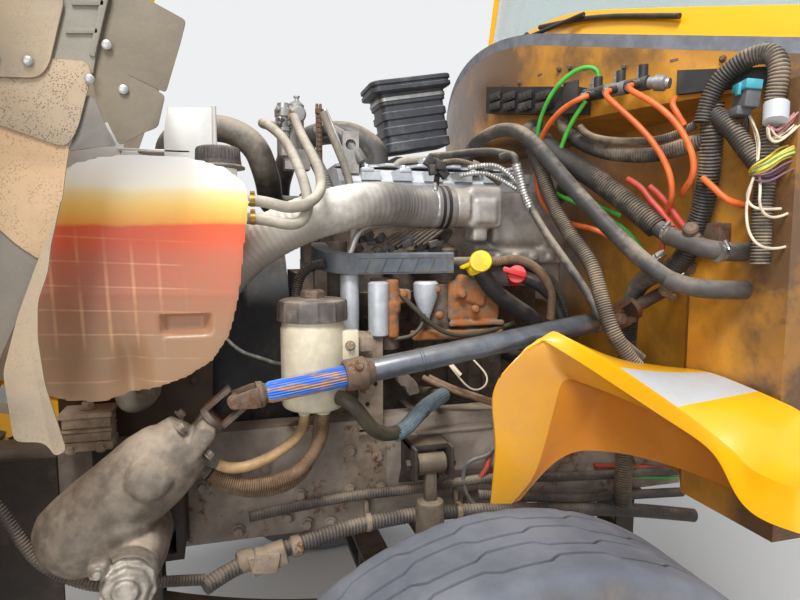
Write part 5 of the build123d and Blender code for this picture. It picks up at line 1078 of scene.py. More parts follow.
ORANGE_LINES = (
    (
        (-417.5, -560, 895.9), (-438.7, -560, 890.2), (-461, -500, 868), (-468, -436, 822),
        (-466, -405, 759), (-463, -411, 691), (-453, -444, 639), (-430, -505, 604), (-385, -575, 588),
        (-330, -616, 540), (-290, -636, 505),
    ),
    (
        (-399.4, -620, 895.9), (-420.6, -620, 890.2), (-408, -662, 852), (-376, -709, 796),
        (-354, -742, 742), (-343, -760, 694), (-338, -760, 652), (-322, -730, 632), (-300, -690, 600),
        (-288, -672, 520),
    ),
    (
        (-382.8, -675, 895.9), (-404, -675, 890.2), (-382, -735, 852), (-358, -774, 811), (-342, -802, 762),
        (-337, -818, 717), (-336, -812, 686), (-330, -780, 664), (-305, -750, 660),
    ),
)
GREEN_LINES = (
    (
        (-391.2, -560, 940.3), (-391.2, -560, 962), (-425, -525, 968), (-458, -478, 930), (-468, -428, 868),
        (-466, -404, 800), (-460, -414, 734), (-446, -453, 683), (-405, -515, 651), (-350, -560, 620),
        (-300, -610, 560), (-284, -622, 512),
    ),
    (
        (-420, -556, 886), (-432, -532, 856), (-440, -502, 812), (-444, -478, 762), (-440, -470, 715),
        (-424, -490, 680), (-385, -540, 655), (-340, -590, 620),
    ),
)
for route in ORANGE_LINES:
    hose(route, 6.4, 16)
line_piece("orange_air_lines", "orange_line", "air_lines")
for route in GREEN_LINES:
    hose(route, 5.4, 16)
line_piece("green_air_lines", "green_line")


COWL_BOW = 1701.04


def ahead_of_cowl(y):
    """How far forward the bowed front of the cowl stands at a distance from the middle."""
    return -450 + COWL_BOW - math.sqrt(COWL_BOW**2 - y**2)


manifold = (Vector((-402, -524, 905)), Vector((-352, -690, 900)), Vector((-330, -726, 892)))
run = (manifold[1] - manifold[0]).normalized()
spun(manifold[0], run, (
    (0, 11), (2, 15), (52, 15), (54, 12), (62, 12), (64, 15.5), (118, 15.5), (120, 12), (128, 12),
    (130, 15), (172, 15), (174, 10),
), 28)
for along in (24, 90, 150):
    spot = manifold[0] + run * along
    spun(spot, (-0.966, 0, -0.26), ((8, 10), (22, 10), (23, 8), (34, 8)), 6)
    spun(spot, UP, ((8, 9), (24, 9), (26, 7), (38, 7)), 6)
spun(manifold[1], manifold[2] - manifold[1], ((0, 13), (12, 13), (14, 17), (34, 17), (38, 12), (44, 11)), 24)
piece("air_manifold", "dull_steel", "black_plastic", 34)

# Filler caps: a yellow one with a tongue and a red one with a grip bar, on their tubes

axis = Vector((-15.8, -1.8, 22.7)).normalized()
spun((-636.2, -452, 492.3), axis, ((0, 24), (2, 29), (16, 29), (20, 27), (24, 26), (25, 20)), 40)
cap = Vector((-636.2, -452, 492.3)) + axis * 26
tongue = (cap / 1000, Vector((-0.92, -0.28, -0.3)).normalized(), Vector((0.3, -0.95, 0)).normalized())
slab(((-6, -8), (30, -8), (44, -6), (44, 6), (30, 8), (-6, 8)), 7, tongue, 1.5)
spun((-643, -474, 512), Vector((-0.35, -0.9, 0.25)), ((0, 26), (5, 27), (8, 25), (9, 14)), 36)
piece("yellow_filler_cap", "yellow_plastic", "yellow_plastic", 36, "filler_caps")
axis = Vector((-19.6, 0, 7)).normalized()
spun((-518, -432, 469), axis, ((0, 20), (2, 25), (18, 25), (21, 23)), 36)
spun((-532, -446, 476), Vector((-0.45, -0.85, 0.3)), ((0, 22), (8, 24), (12, 22), (13, 12)), 36)
grip = (
    point(-538, -461, 481), Vector((-0.9, 0.35, 0.28)).normalized(), Vector((0.25, 0.1, 0.96)).normalized(),
)
slab(((-20, -6), (36, -7), (40, 0), (36, 7), (-20, 6)), 10, grip, 2)
piece("red_filler_cap", "red_plastic", "yellow_plastic", 36)

ribbed((
    (-702, -410, 508), (-650, -395, 508), (-580, -384, 508), (-490, -384, 505), (-410, -388, 470),
    (-370, -400, 400), (-372, -410, 320), (-380, -410, 240),
), 13.5, 5.2, 1.9, 20)
ribbed((
    (-1015, -425, 510), (-1050, -425, 505), (-1078, -415, 470), (-1078, -405, 390), (-1050, -400, 300),
    (-1048, -380, 200),
), 12, 5.2, 1.7, 20)
piece("tray_conduits", "loom_plastic", "black_plastic", 60)

# Tyres: worn ribs parted by stepped grooves, with fine slits


WHEEL_X = -800
AXLE_Z = -395


def tyre_shape(name, side, body, node):
    steps = 288
    grooves = (-66, -23, 23, 66)
    columns = []
    for groove in grooves:
        columns += [(groove - 3.4, 505), (groove - 2.2, 496), (groove + 2.2, 496), (groove + 3.4, 505)]
    outer = [
        (-98, 286), (-107, 298), (-114, 299), (-128, 330), (-135, 380), (-135, 420), (-132, 450),
        (-124, 474), (-117, 490), (-111, 499), (-104, 502.5), (-92, 504.5),
    ]
    profile = outer + columns + [(-y, r) for y, r in reversed(outer)]
    rings = []
    for step in range(steps):
        turn = 2 * math.pi * step / steps
        phase = (step % 18) / 18
        if phase < 0.5:
            sway = 6.5 * min(1, 1 - (phase - 0.4) * 20)
        else:
            sway = 6.5 * max(-1, (phase - 0.9) * 20 - 1)
        ring = []
        for n, (y, radius) in enumerate(profile):
            move = 0.0
            if 12 <= n < 28:
                move = sway * (1 if (n - 12) // 4 % 2 else -1)
            if abs(y) == 104 or abs(y) == 111:
                radius -= 1.6 if step % 12 < 2 else 0
            spot = point(
                WHEEL_X + radius * math.cos(turn), side * 1030 + y + move, AXLE_Z + radius * math.sin(turn),
            )
            ring.append(work.verts.new(spot))
        rings.append(ring)
    for step in range(steps):
        before = rings[step]
        after = rings[(step + 1) % steps]
        for n in range(len(profile)):
            m = (n + 1) % len(profile)
            work.faces.new((before[n], after[n], after[m], before[m]))
    piece(name, "tyre_rubber", "tyre", 40, node, body)


tyre_shape("left_tyre_casing", -1, "wheel_left", "tyre_left")
tyre_shape("right_tyre_casing", 1, "wheel_right", "tyre_right")

# Rear fender extensions: one moulded shell with a pocket behind the wheel, and its skirt

# Each row: front edge, crease of the pocket, fold at its back wall, lower edge
SHELL_ROWS = (
    ((-688, -652, -12), (-634, -643, -22), (-630, -640, -22), (-612, -638, -19)),
    ((-682, -652, 63), (-588, -643, 20), (-575, -640, 30), (-550, -636, 44)),
    ((-678, -652, 119), (-566, -643, 62), (-540, -634, 66), (-500, -632, 72)),
    ((-686, -652, 176), (-543, -643, 149), (-470, -632, 120), (-455, -632, 80)),
    ((-692, -652, 231), (-527, -643, 212), (-432, -636, 160), (-425, -640, 78)),
    ((-672, -652, 268), (-521, -643, 236), (-425, -644, 205), (-405, -645, 77)),
    ((-625, -652, 316), (-514, -643, 250), (-420, -655, 222), (-395, -660, 79)),
    ((-574, -650, 350), (-499, -650, 256), (-415, -668, 230), (-388, -675, 82)),
    ((-520, -707, 312), (-480, -700, 251), (-405, -700, 232), (-373, -705, 86)),
    ((-480, -775, 275), (-442, -772, 236), (-382, -772, 220), (-343, -766, 88)),
    ((-449, -828, 246), (-405, -828, 217), (-350, -828, 190), (-322, -820, 87)),
    ((-413, -889, 213), (-384, -889, 196), (-330, -889, 168), (-315, -880, 89)),
    ((-377, -948, 182), (-366, -946, 176), (-330, -946, 150), (-318, -940, 96)),
    ((-380, -985, 146), (-368, -985, 146), (-340, -985, 130), (-330, -985, 108)),
    ((-388, -1020, 116), (-372, -1020, 118), (-345, -1020, 116), (-330, -1020, 108)),
    ((-384, -1055, 100), (-370, -1055, 103), (-345, -1055, 104), (-330, -1055, 104)),
    ((-370, -1095, 98), (-356, -1095, 100), (-335, -1095, 101), (-322, -1095, 101)),
    ((-352, -1132, 98), (-340, -1132, 100), (-325, -1132, 101), (-312, -1132, 101)),
)
# Each row from the seventh on: upper front edge, middle of the cap, edge at the cowl
CAP_ROWS = (
    ((-617, -650, 324), (-560, -648, 322), (-500, -646, 318)),
    ((-545, -652, 364), (-420, -650, 296), (-241, -650, 262)),
    ((-506, -727, 337), (-395, -722, 292), (-241, -716, 276)),
    ((-470, -795, 305), (-372, -790, 289), (-241, -784, 280)),
    ((-445, -842, 278), (-352, -840, 274), (-241, -838, 276)),
    ((-416, -890, 250), (-332, -902, 258), (-241, -912, 268)),
    ((-376, -948, 206), (-312, -952, 238), (-241, -958, 262)),
    ((-364, -982, 186), (-300, -988, 230), (-241, -992, 258)),
    ((-366, -1012, 170), (-300, -1018, 222), (-241, -1018, 248)),
    ((-372, -1045, 168), (-300, -1046, 204), (-241, -1036, 220)),
    ((-366, -1090, 166), (-300, -1080, 178), (-241, -1064, 182)),
    ((-356, -1130, 168), (-300, -1132, 174), (-241, -1133, 176)),
)
FIRST_CAP_ROW = len(SHELL_ROWS) - len(CAP_ROWS)
EXTRA_FINISHES = ("blank_label", "hood_yellow", "pocket_yellow")


def extension(side_name, side):
    """A cage of faces turned into a smooth moulding of even thickness."""
    crease = work.edges.layers.float.new("crease_edge")
    corner_crease = work.verts.layers.float.new("crease_vert")

    def corner(spot):
        return work.verts.new(point(spot[0], -side * spot[1], spot[2]))

    shell = [[corner(spot) for spot in row] for row in SHELL_ROWS]
    cap = [[corner(spot) for spot in row] for row in CAP_ROWS]

    def join(rows, patch=()):
        for n, (before, after) in enumerate(zip(rows, rows[1:])):
            for m in range(len(before) - 1):
                face = work.faces.new((before[m], before[m + 1], after[m + 1], after[m]))
                if n in patch:
                    face.material_index = 1

    join(shell)
    # The pocket's inner faces take the darker pocket finish: painted shade of the recess, with its deeper
    # paint.
    for n, face in enumerate(work.faces):
        if n % 3 and n < 36:
            face.material_index = 3
    join(cap, (3, 4))
    # The edge band takes the brighter, clean yellow: partly unfaded paint, partly painted light on the band
    # that faces up.
    edge = [[cap_row[0], shell_row[0]] for cap_row, shell_row in zip(cap, shell[FIRST_CAP_ROW:])]
    already = set(work.faces)
    join(edge)
    for face in set(work.faces) - already:
        face.material_index = 2
    work.faces.new((shell[FIRST_CAP_ROW - 1][0], cap[0][0], shell[FIRST_CAP_ROW][0]))
    end = [
        cap[-1][0], cap[-1][1], cap[-1][2], corner((-241, -1133, 101)), shell[-1][3], shell[-1][2],
        shell[-1][1], shell[-1][0],
    ]
    work.faces.new(end)
    lines = (
        ([row[0] for row in shell], 1.0),
        ([row[1] for row in shell[:12]], 0.95),
        ([row[2] for row in shell[3:12]], 0.5),
        ([row[0] for row in cap], 1.0),
        (end, 0.6),
    )
    for line, weight in lines:
        for first, second in zip(line, line[1:]):
            joined = work.edges.get((first, second))
            if joined:
                joined[crease] = weight
    for spot, weight in (
        (shell[7][0], 0.9), (cap[1][0], 0.9), (cap[0][0], 0.7), (shell[0][0], 0.8), (shell[0][3], 0.6),
        (shell[7][1], 0.8),
    ):
        spot[corner_crease] = weight
    name = side_name + "_extension_shell"
    mesh = worked_mesh(name)
    for finish in ("bus_yellow",) + EXTRA_FINISHES:
        mesh.materials.append(FINISHES[finish])
    mesh = modified(mesh, {"SUBSURF": {"levels": 3}, "SOLIDIFY": {"thickness": 0.005, "offset": 0}})
    kinds = [face.material_index for face in mesh.polygons]
    place_piece(name, mesh, "bus_yellow", 13, "fender_extensions" if side > 0 else "")
    for finish in EXTRA_FINISHES:
        mesh.materials.append(FINISHES[finish])
    for face, kind in zip(mesh.polygons, kinds):
        face.material_index = kind


extension("left", 1)
extension("right", -1)
for side in (-1, 1):
    outline = ((-236, 92), (-236, -392), (-214, -418), (-86, -418), (-62, -392), (-62, 76), (-150, 84))
    slab(outline, 6, (point(0, side * 1130 - (3 if side < 0 else -3), 0), REAR, UP), 2)
    brick((-241, -235), (side * 1131, side * 1086), (-400, 101), 2)
    brick((-242, -236), (side * 1038, side * 640), (84, 250), 2)
    brick((-242, -236), (side * 1131, side * 1030), (84, 174), 2)
piece("extension_skirts", "bus_yellow", "yellow_paint", 34)

# Looms, pipes and wires in front of the cowl

MORE_LOOMS = (
    (
        (-415, -330, 872), (-473, -330, 859), (-483, -451, 761), (-465, -493, 649), (-446, -555, 569),
        (-428, -614, 514), (-421, -646, 430), (-405, -684, 332), (-340, -700, 262),
    ),
    (
        (-420, -535, 830), (-418, -553, 809), (-392, -596, 790), (-356, -672, 778), (-324, -733, 778),
        (-300, -772, 800),
    ),
)
for route, radius, pitch in zip(MORE_LOOMS, (18, 9), (5.6, 4.4)):
    ribbed(route, radius, pitch, radius * 0.12, 14)
rubber_piece("cowl_looms_behind", "dusty_loom")

hose((
    (-560, -400, 772), (-541, -430, 781), (-533, -436, 749), (-516, -444, 687), (-499, -450, 643),
    (-492, -509, 583), (-467, -568, 513), (-443, -617, 450), (-416, -659, 363), (-340, -690, 300),
), 9.5, 18)
hose((
    (-660, -150, 800), (-640, -250, 792), (-600, -330, 792), (-560, -390, 786), (-541, -424, 772),
), 10.5, 18)
rubber_piece("cowl_grey_hoses", "dusty_hose")
for route, radius in (
    (((-640, -380, 744), (-585, -392, 757), (-544, -412, 734), (-524, -432, 700)), 7),
    (((-536, -438, 752), (-526, -443, 712), (-514, -447, 668), (-500, -452, 640)), 12),
    (((-660, -372, 724), (-610, -384, 738), (-560, -404, 716), (-530, -430, 690)), 6),
):
    ribbed(route, radius, 7, 1.5, 14)
piece("foil_wrapped_pipes", "foil", "steel", 50)

# A wire count, spread, wire radius, finish and route for each bundle
WIRE_BUNDLES = (
    (7, 9, 2.2, "wire_yellow", (
        (-286, -905, 690), (-300, -933, 692), (-277, -938, 705), (-247, -938, 724), (-209, -938, 733),
        (-186, -934, 729), (-158, -926, 727),
    )),
    (3, 9, 2.0, "wire_green", (
        (-286, -905, 686), (-302, -935, 690), (-276, -938, 701), (-244, -938, 718), (-201, -938, 723),
        (-186, -934, 719), (-158, -926, 717),
    )),
    (7, 10, 1.9, "wire_pink", (
        (-282, -938, 769), (-273, -938, 760), (-254, -938, 768), (-231, -938, 792), (-193, -938, 819),
        (-186, -934, 815), (-158, -926, 813),
    )),
    (6, 9, 2.0, "wire_cream", (
        (-284, -938, 766), (-283, -938, 744), (-263, -938, 745), (-231, -938, 767), (-189, -938, 799),
        (-186, -934, 795), (-158, -926, 793),
    )),
    (5, 8, 1.9, "wire_violet", (
        (-286, -908, 682), (-298, -934, 676), (-274, -938, 678), (-233, -938, 699), (-189, -938, 709),
        (-186, -934, 705), (-158, -926, 703),
    )),
    (6, 8, 1.8, "wire_dark", (
        (-272, -870, 812), (-264, -868, 784), (-262, -858, 762), (-262, -884, 742), (-266, -906, 722),
        (-270, -912, 700),
    )),
    (3, 5, 1.8, "wire_cream", (
        (-274, -876, 812), (-268, -884, 788), (-270, -898, 762), (-276, -910, 736), (-282, -916, 712),
    )),
)
random.seed(7)
for n, (count, spread, radius, finish, route) in enumerate(WIRE_BUNDLES):
    for wire in range(count):
        shift = [random.uniform(-spread, spread) for axis in range(3)]
        loose = []
        for place, (x, y, z) in enumerate(route):
            share = 0.35 if place in (0, len(route) - 1) else 1.0
            wobble = [random.uniform(-3, 3) for axis in range(3)]
            loose.append(tuple(v + (s + w) * share for v, s, w in zip((x, y, z), shift, wobble)))
        hose(loose, radius, 8, 6)
    line_piece(f"wire_bundle_{n + 1}", finish)
for route in (
    (
        (-282, -912, 690), (-300, -925, 675), (-302, -913, 647), (-304, -925, 629), (-294, -938, 620),
        (-246, -938, 623),
    ),
    (
        (-282, -910, 688), (-300, -923, 672), (-306, -918, 630), (-308, -926, 584), (-296, -938, 555),
        (-253, -938, 547), (-195, -938, 561), (-186, -934, 557), (-158, -926, 555),
    ),
    (
        (-282, -920, 686), (-295, -938, 664), (-297, -938, 629), (-278, -938, 607), (-246, -938, 607),
        (-201, -938, 626), (-186, -934, 622), (-158, -926, 620),
    ),
):
    hose(route, 2.6, 10, 6)
line_piece("cream_wire_loops", "wire_cream")
hose(((-300, -800, 690), (-296, -822, 672), (-290, -843, 651), (-275, -856, 637), (-232, -858, 630)), 6.5, 14)
hose(((-318, -730, 860), (-334, -738, 850), (-330, -752, 826), (-318, -762, 800)), 6.4, 14)
line_piece("orange_line_ends", "orange_line")
hose((
    (-360, -640, 700), (-351, -671, 685), (-341, -694, 651), (-329, -719, 624), (-315, -748, 581),
    (-290, -770, 540),
), 7, 14)
hose(((-340, -690, 680), (-330, -716, 660), (-318, -742, 622), (-300, -768, 580)), 7, 14)
line_piece("red_lines", "red_line")

lean = turned("Z", -20) @ turned("Y", 6)
brick((-290, -262), (-902, -848), (812, 846), 3, lean, (-276, -876, 830))
brick((-296, -268), (-888, -842), (800, 816), 2, lean, (-276, -876, 830))
piece("wiring_plug", "plug_grey", "coloured_plastic", 34)
brick((-294, -264), (-906, -846), (844, 862), 2, lean, (-276, -876, 830))
brick((-298, -292), (-886, -872), (836, 858), 1, lean, (-276, -876, 830))
piece("wiring_plug_lock", "plug_teal", "coloured_plastic", 34)
spun((-262, -930, 812), (-0.25, -0.25, -0.93), ((0, 20), (1, 21.5), (36, 21), (37, 19)), 30)
piece("white_tape_band", "blank_label", "white_plastic", 34)

# Relay box with its covers, end rail, fixings of the cowl and the ends of the heater hoses


def on_cowl(y, z, off):
    """A place on the bowed front of the cowl and the direction out of it."""
    lean_out = Vector((-math.sqrt(COWL_BOW**2 - y**2), y, 0)).normalized()
    return Vector((ahead_of_cowl(y), y, z)) + lean_out * off, lean_out


for share, width, tall in ((0.02, 60, 40), (0.22, 60, 46), (0.42, 60, 44), (0.62, 56, 44)):
    y = -180 - share * 330
    for row in range(2):
        spot, out = on_cowl(y - 24, 985 - (abs(y) - 160) * 0.19 - 18 - row * 26, 62)
        across = Vector((out.y, -out.x, 0))
        slab(((-26, -10), (26, -10), (26, 10), (-26, 10)), 5, (spot / 1000, -across, UP), 1.2)
        for step in (-16, 0, 16):
            place = spot - across * step
            slab(((-5, -6), (5, -6), (5, 6), (-5, 6)), 5, ((place + out * 2.2) / 1000, -across, UP), 0.8)
spot, out = on_cowl(-492, 914, 60)
across = Vector((out.y, -out.x, 0))
slab(((-22, -26), (22, -26), (22, 26), (-22, 26)), 8, (spot / 1000, -across, UP), 2)
piece("relay_box_covers", "dusty_box", "black_plastic", 34)
for y, z in (
    (-160, 1012), (-245, 998), (-330, 1000), (-404, 996), (-440, 992), (-488, 977), (-592, 958),
    (-700, 948), (-790, 930),
):
    spot, out = on_cowl(y, z, 0)
    if y in (-245, -404, -440, -592, -790):
        bolt(spot, out, 10, 7)
    else:
        across = Vector((out.y, -out.x, 0))
        slab(((-9, -3), (9, -3), (9, 3), (-9, 3)), 1.5, ((spot + out * 0.8) / 1000, -across, UP), 0.4)
piece("cowl_top_fixings", "forged_rust", "steel", 30)
spun((-232, -771, 581), FRONT, ((0, 24), (6, 24), (10, 17), (16, 17), (17, 14)), 6)
spun((-232, -700, 505), FRONT, ((0, 20), (8, 20), (10, 14), (16, 14)), 6)
brick((-262, -232), (-812, -742), (560, 600), 3)
piece("cowl_clamps", "forged_rust", "steel", 30)
spun((-178, -916, 484), (-1, -0.1, 0), ((0, 36), (22, 36), (24, 29), (46, 28), (50, 22)), 6)
brick((-206, -178), (-948, -880), (446, 522), 5)
piece("cowl_wiring_bosses", "black_plastic", "black_plastic", 30)
for y, z in ((-798, 581), (-734, 453)):
    spun((-322, y, z), (-0.5, -0.6, 0.6), ((0, 13), (6, 16), (14, 15), (18, 11)), 14)
    spun((-322, y, z), (0.3, -0.6, -0.5), ((0, 9), (22, 9), (24, 6)), 10)
piece("hose_clamp_screws", "forged_rust", "steel", 30)

# Engine: thermostat stack, pipes, cover ledge, throttle cover, filters and the plumbing between them

spun((-1086, -262, 772), UP, (
    (0, 17), (58, 17), (60, 21), (68, 21), (70, 17), (92, 18), (96, 22), (112, 22), (116, 17), (128, 15),
    (130, 6),
), 28)
spun((-1052, -240, 784), UP, ((0, 15), (60, 15), (62, 19), (100, 20), (118, 20), (124, 15), (128, 7)), 28)
spun((-1052, -262, 876), LEFT, ((0, 22), (6, 22), (10, 18), (11, 8)), 26)
spun((-1050, -240, 908), UP, ((0, 8), (4, 8), (5, 5), (12, 5), (13, 8), (17, 8)), 6)
brick((-1092, -1046), (-270, -232), (834, 848), 3)
spun((-1088, -276, 858), (-0.6, -0.8, 0), ((0, 6), (20, 6), (21, 4), (30, 4)), 10)
for place in ((-1100, -284, 850), (-1072, -286, 850), (-1100, -280, 884)):
    bolt(place, LEFT, 9, 5)
piece("thermostat_stack", "dull_steel", "steel", 34)

for x in (-993, -984):
    spun((x, -200, 700), UP, ((0, 4), (214, 4), (218, 3)), 12)
spun((-988, -200, 765), UP, ((0, 9), (6, 9), (8, 6), (126, 6), (128, 10), (140, 10), (142, 5)), 16)
for z in range(796, 890, 12):
    spun((-988, -200, z), UP, ((0, 6), (0.5, 7.6), (4, 7.6), (4.5, 6)), 16)
piece("dipstick_stand", "forged_rust", "steel", 34)
hose((
    (-972, -196, 905), (-966, -202, 888), (-951, -215, 850), (-925, -240, 758), (-914, -262, 700),
    (-908, -280, 640),
), 6.2, 14)
hose((
    (-960, -425, 520), (-950, -430, 541), (-942, -430, 569), (-924, -425, 594), (-880, -410, 600),
    (-850, -400, 600),
), 8, 16)
piece("pale_engine_pipes", "sheet_aluminium", "steel", 60)
ribbed((
    (-1050, -215, 850), (-1037, -230, 819), (-1006, -260, 761), (-983, -300, 693), (-976, -320, 650),
), 17, 7, 2, 22)
hose(((-990, -150, 850), (-960, -160, 862), (-925, -176, 846), (-890, -196, 800), (-874, -206, 770)), 17, 20)
rubber_piece("engine_front_hoses", "grey_hose")

# Ledge with a wavy edge on the valve cover
ledge = [(-936, 90), (-364, 90)]
for n in range(45):
    x = -364 - n * 13
    wave = math.cos(n * 0.86)
    ledge.append((x, -174 + 20 * max(-0.4, min(0.4, wave)) / 0.4))
slab(ledge, 7, (point(0, 0, 772), REAR, RIGHT), 1.6)
for n in range(6):
    x = -880 + n * 104
    brick((x, x + 34), (-228, -182), (744, 756), 3)
    bolt((x + 17, -205, 756), UP, 13, 8)
brick((-700, -640), (-200, -150), (764, 790), 5)
piece("valve_cover_ledge", "pale_cover", "aluminium", 40)

# Intake casting and throttle cover as one smooth casting
brick((-560, -340), (-352, -230), (548, 690), 16)
brick((-600, -340), (-336, -230), (438, 556), 12)
brick((-420, -334), (-352, -230), (500, 640), 20)
brick((-656, -562), (-428, -300), (592, 696), 12)
brick((-640, -580), (-434, -420), (604, 664), 8)
spun((-690, -392, 644), REAR, ((0, 44), (4, 48), (36, 48)), 40)
brick((-610, -350), (-362, -330), (500, 536), 5)
for x in (-590, -540, -490, -440, -390):
    spun((x, -352, 518), LEFT, ((0, 11), (14, 11), (16, 8)), 16)
brick((-640, -600), (-420, -360), (560, 596), 6)
casting("intake_casting_skin", 3.6, 6, (30, 0.7), "cast_aluminium", 60, "intake_casting")

# Sensors, plugs and braided wires round the intake
random.seed(21)
for n in range(26):
    x = -930 + random.uniform(0, 210)
    z = 520 + random.uniform(0, 56)
    y = -425 + random.uniform(0, 34)
    tilt = Matrix.Rotation(random.uniform(-0.8, 0.8), 3, "Y")
    turn = tilt @ Matrix.Rotation(random.uniform(-0.6, 0.6), 3, "Z")
    brick((x - 12, x + 12), (y - 8, y + 8), (z - 8, z + 8), 2.2, turn)
for x, y, z in (
    (-716, -330, 742), (-704, -318, 760), (-690, -336, 734), (-724, -322, 764), (-700, -342, 752),
):
    turn = Matrix.Rotation(x * 0.7, 3, "Y")
    brick((x - 13, x + 13), (y - 9, y + 9), (z - 11, z + 11), 2.5, turn)
piece("wiring_plugs_small", "dusty_box", "black_plastic", 34)
for n in range(9):
    shift = n * 5.5
    ribbed((
        (-900 + shift * 3, -412, 540 + shift * 0.3), (-860 + shift * 3, -420, 574 + shift * 0.2),
        (-800 + shift * 2, -404, 590), (-720 + shift, -380, 586), (-690, -360, 560),
    ), 4.2, 6, 0.9, 10)
ribbed((
    (-700, -310, 700), (-704, -322, 748), (-670, -346, 768), (-610, -370, 752), (-560, -398, 706),
), 8, 5, 1.4, 14)
piece("intake_wiring", "dusty_loom", "black_plastic", 60)

# Filters, their bracket and the small lines round them
spun((-888, -436, 336), UP, ((0, 18), (3, 24), (110, 25), (126, 25), (130, 18)), 30)
spun((-766, -424, 366), UP, ((0, 10), (10, 12), (60, 29), (92, 31), (98, 26)), 30)
spun((-950, -400, 330), UP, ((0, 22), (150, 23), (156, 18)), 26)
piece("fuel_filter_cups", "pale_cover", "steel", 40)
spun((-709, -330, 516), UP, ((0, 54), (4, 58), (22, 58), (28, 52), (36, 40), (42, 26), (42, 20)), 44)
spun((-709, -330, 556), UP, ((0, 18), (15, 18), (17, 15)), 8)
piece("filter_lid", "lid_plastic", "black_plastic", 34)
spun((-852, -432, 330), UP, ((0, 15), (60, 16), (62, 19), (84, 19), (86, 15), (140, 15)), 22)
brick((-704, -566), (-424, -380), (362, 462), 9)
brick((-690, -600), (-432, -400), (404, 470), 10, Matrix.Rotation(0.3, 3, "Y"))
brick((-842, -806), (-440, -410), (412, 446), 5)
brick((-800, -560), (-432, -400), (318, 342), 6)
brick((-706, -560), (-438, -420), (350, 362), 2)
for x, z in ((-828, 436), (-742, 444), (-735, 380), (-676, 430), (-640, 392), (-586, 436)):
    bolt((x, -437, z), LEFT, 17, 9)
casting("engine_side_brackets", 3.2, 4, (40, 1.6, 4), "orange_rust", 60)
hose((
    (-845, -436, 446), (-831, -442, 430), (-802, -448, 401), (-768, -452, 367), (-721, -450, 335),
    (-654, -440, 326), (-568, -430, 341), (-520, -412, 350),
), 6, 14)
hose((
    (-850, -436, 326), (-831, -442, 329), (-807, -448, 334), (-787, -448, 352), (-775, -440, 372),
    (-770, -428, 392),
), 5, 12)
rubber_piece("fuel_small_hoses", "olive_hose")
ribbed((
    (-620, -410, 500), (-584, -442, 509), (-535, -442, 519), (-479, -440, 498), (-441, -440, 456),
    (-423, -436, 409), (-418, -420, 360),
), 12, 5, 1.8, 18)
rubber_piece("engine_side_loom", "brown_sleeve")
for shift in (0, 16):
    hose((
        (-770 + shift, -420, 224), (-745 + shift, -445, 211), (-696 + shift, -448, 190),
        (-643 + shift, -450, 170), (-587 + shift, -448, 149), (-520, -440, 130),
    ), 7, 14)
piece("side_brown_pipes", "brown_sleeve", "steel", 60)
hose((
    (-735, -440, 290), (-718, -470, 260), (-699, -476, 235), (-679, -478, 210), (-653, -478, 195),
    (-624, -474, 205), (-618, -470, 229), (-641, -460, 258), (-660, -440, 280),
), 2.4, 10, 5)
hose(((-728, -440, 290), (-712, -474, 256), (-694, -480, 238)), 5, 12)
line_piece("engine_cream_wire", "wire_cream")
arc = [around(62, degrees) for degrees in range(95, 181, 10)]
arc += [around(34, degrees) for degrees in range(180, 94, -10)]
slab([(-across, up) for across, up in arc], 26, sideways(-440, -846, 184), 3)
piece("curved_side_bracket", "engine_iron", "cast_iron", 40)

# Wiring tray with its pale lid, hatched side, bent left end and corrugated ends
path = [Vector(spot) for spot in (
    (-700, -442, 534), (-940, -442, 534), (-980, -436, 536), (-1010, -418, 540), (-1030, -392, 548),
    (-1036, -360, 558),
)]
rings = []
for n, here in enumerate(path):
    run = run_at(path, n)
    inward = Vector((run.y, -run.x, 0)).normalized()
    ring = []
    for off, drop in ((0, -50), (-1, -10), (0, -4), (5, 0), (36, 0), (41, -4), (42, -10), (42, -50)):
        spot = here + inward * (-off if inward.y < 0 else off) + UP * drop
        ring.append(work.verts.new(spot / 1000))
    rings.append(ring)
skin_rings(rings)
piece("wiring_tray", "tray_plastic", "black_plastic", 34, "harness_tray")
for n in range(6):
    x = -924 + n * 40
    slab(((0, 0), (2.4, 0), (18, 34), (15.6, 34)), 1.6, sideways(-443.4, x, 487))
slab(((0, 0), (236, 0), (236, 2), (0, 2)), 1.6, sideways(-443.2, -938, 487))
slab(((0, 0), (236, 0), (236, 2), (0, 2)), 1.6, sideways(-443.2, -938, 520))
piece("wiring_tray_ribs", "dusty_loom", "black_plastic", 34)
for x in (-930, -820):
    brick((x, x + 30), (-402, -170.3), (486, 496), 2)
piece("wiring_tray_arms", "dusty_bracket", "steel", 34)

# Bright sheets of the cooling pack beside and behind the surge tank
slab(((-1350, 590), (-1258, 590), (-1254, 838), (-1340, 834), (-1350, 780)), 3, sideways(-478), 1)
spun((-1250, -474, 690), UP, ((0, 5), (152, 5), (154, 3)), 12)
slab((
    (-1700, 640), (-1440, 640), (-1430, 812), (-1500, 800), (-1560, 762), (-1700, 742),
), 4, sideways(-430), 1.2)
brick((-1440, -1300), (-478, -380), (744, 750), 1.5)
slab((
    (-1440, 720), (-1384, 718), (-1380, 736), (-1398, 737), (-1400, 744), (-1428, 744),
), 3, sideways(-484), 1)
piece("cooling_pack_sheets", "bright_sheet", "aluminium", 34)

# Cut sheets and a ribbed duct inside the hood's left side, each in its own layer


def rounded(outline, reach):
    """An outline with every corner turned into a short arc."""
    spots = []
    count = len(outline)
    for n in range(count):
        before = Vector(outline[n - 1])
        here = Vector(outline[n])
        after = Vector(outline[(n + 1) % count])
        cut = min(reach, (before - here).length * 0.45, (after - here).length * 0.45)
        start = here + (before - here).normalized() * cut
        end = here + (after - here).normalized() * cut
        for step in range(4):
            share = step / 3
            spots.append(tuple(start * (1 - share) ** 2 + here * (2 * share * (1 - share)) + end * share**2))
    return spots


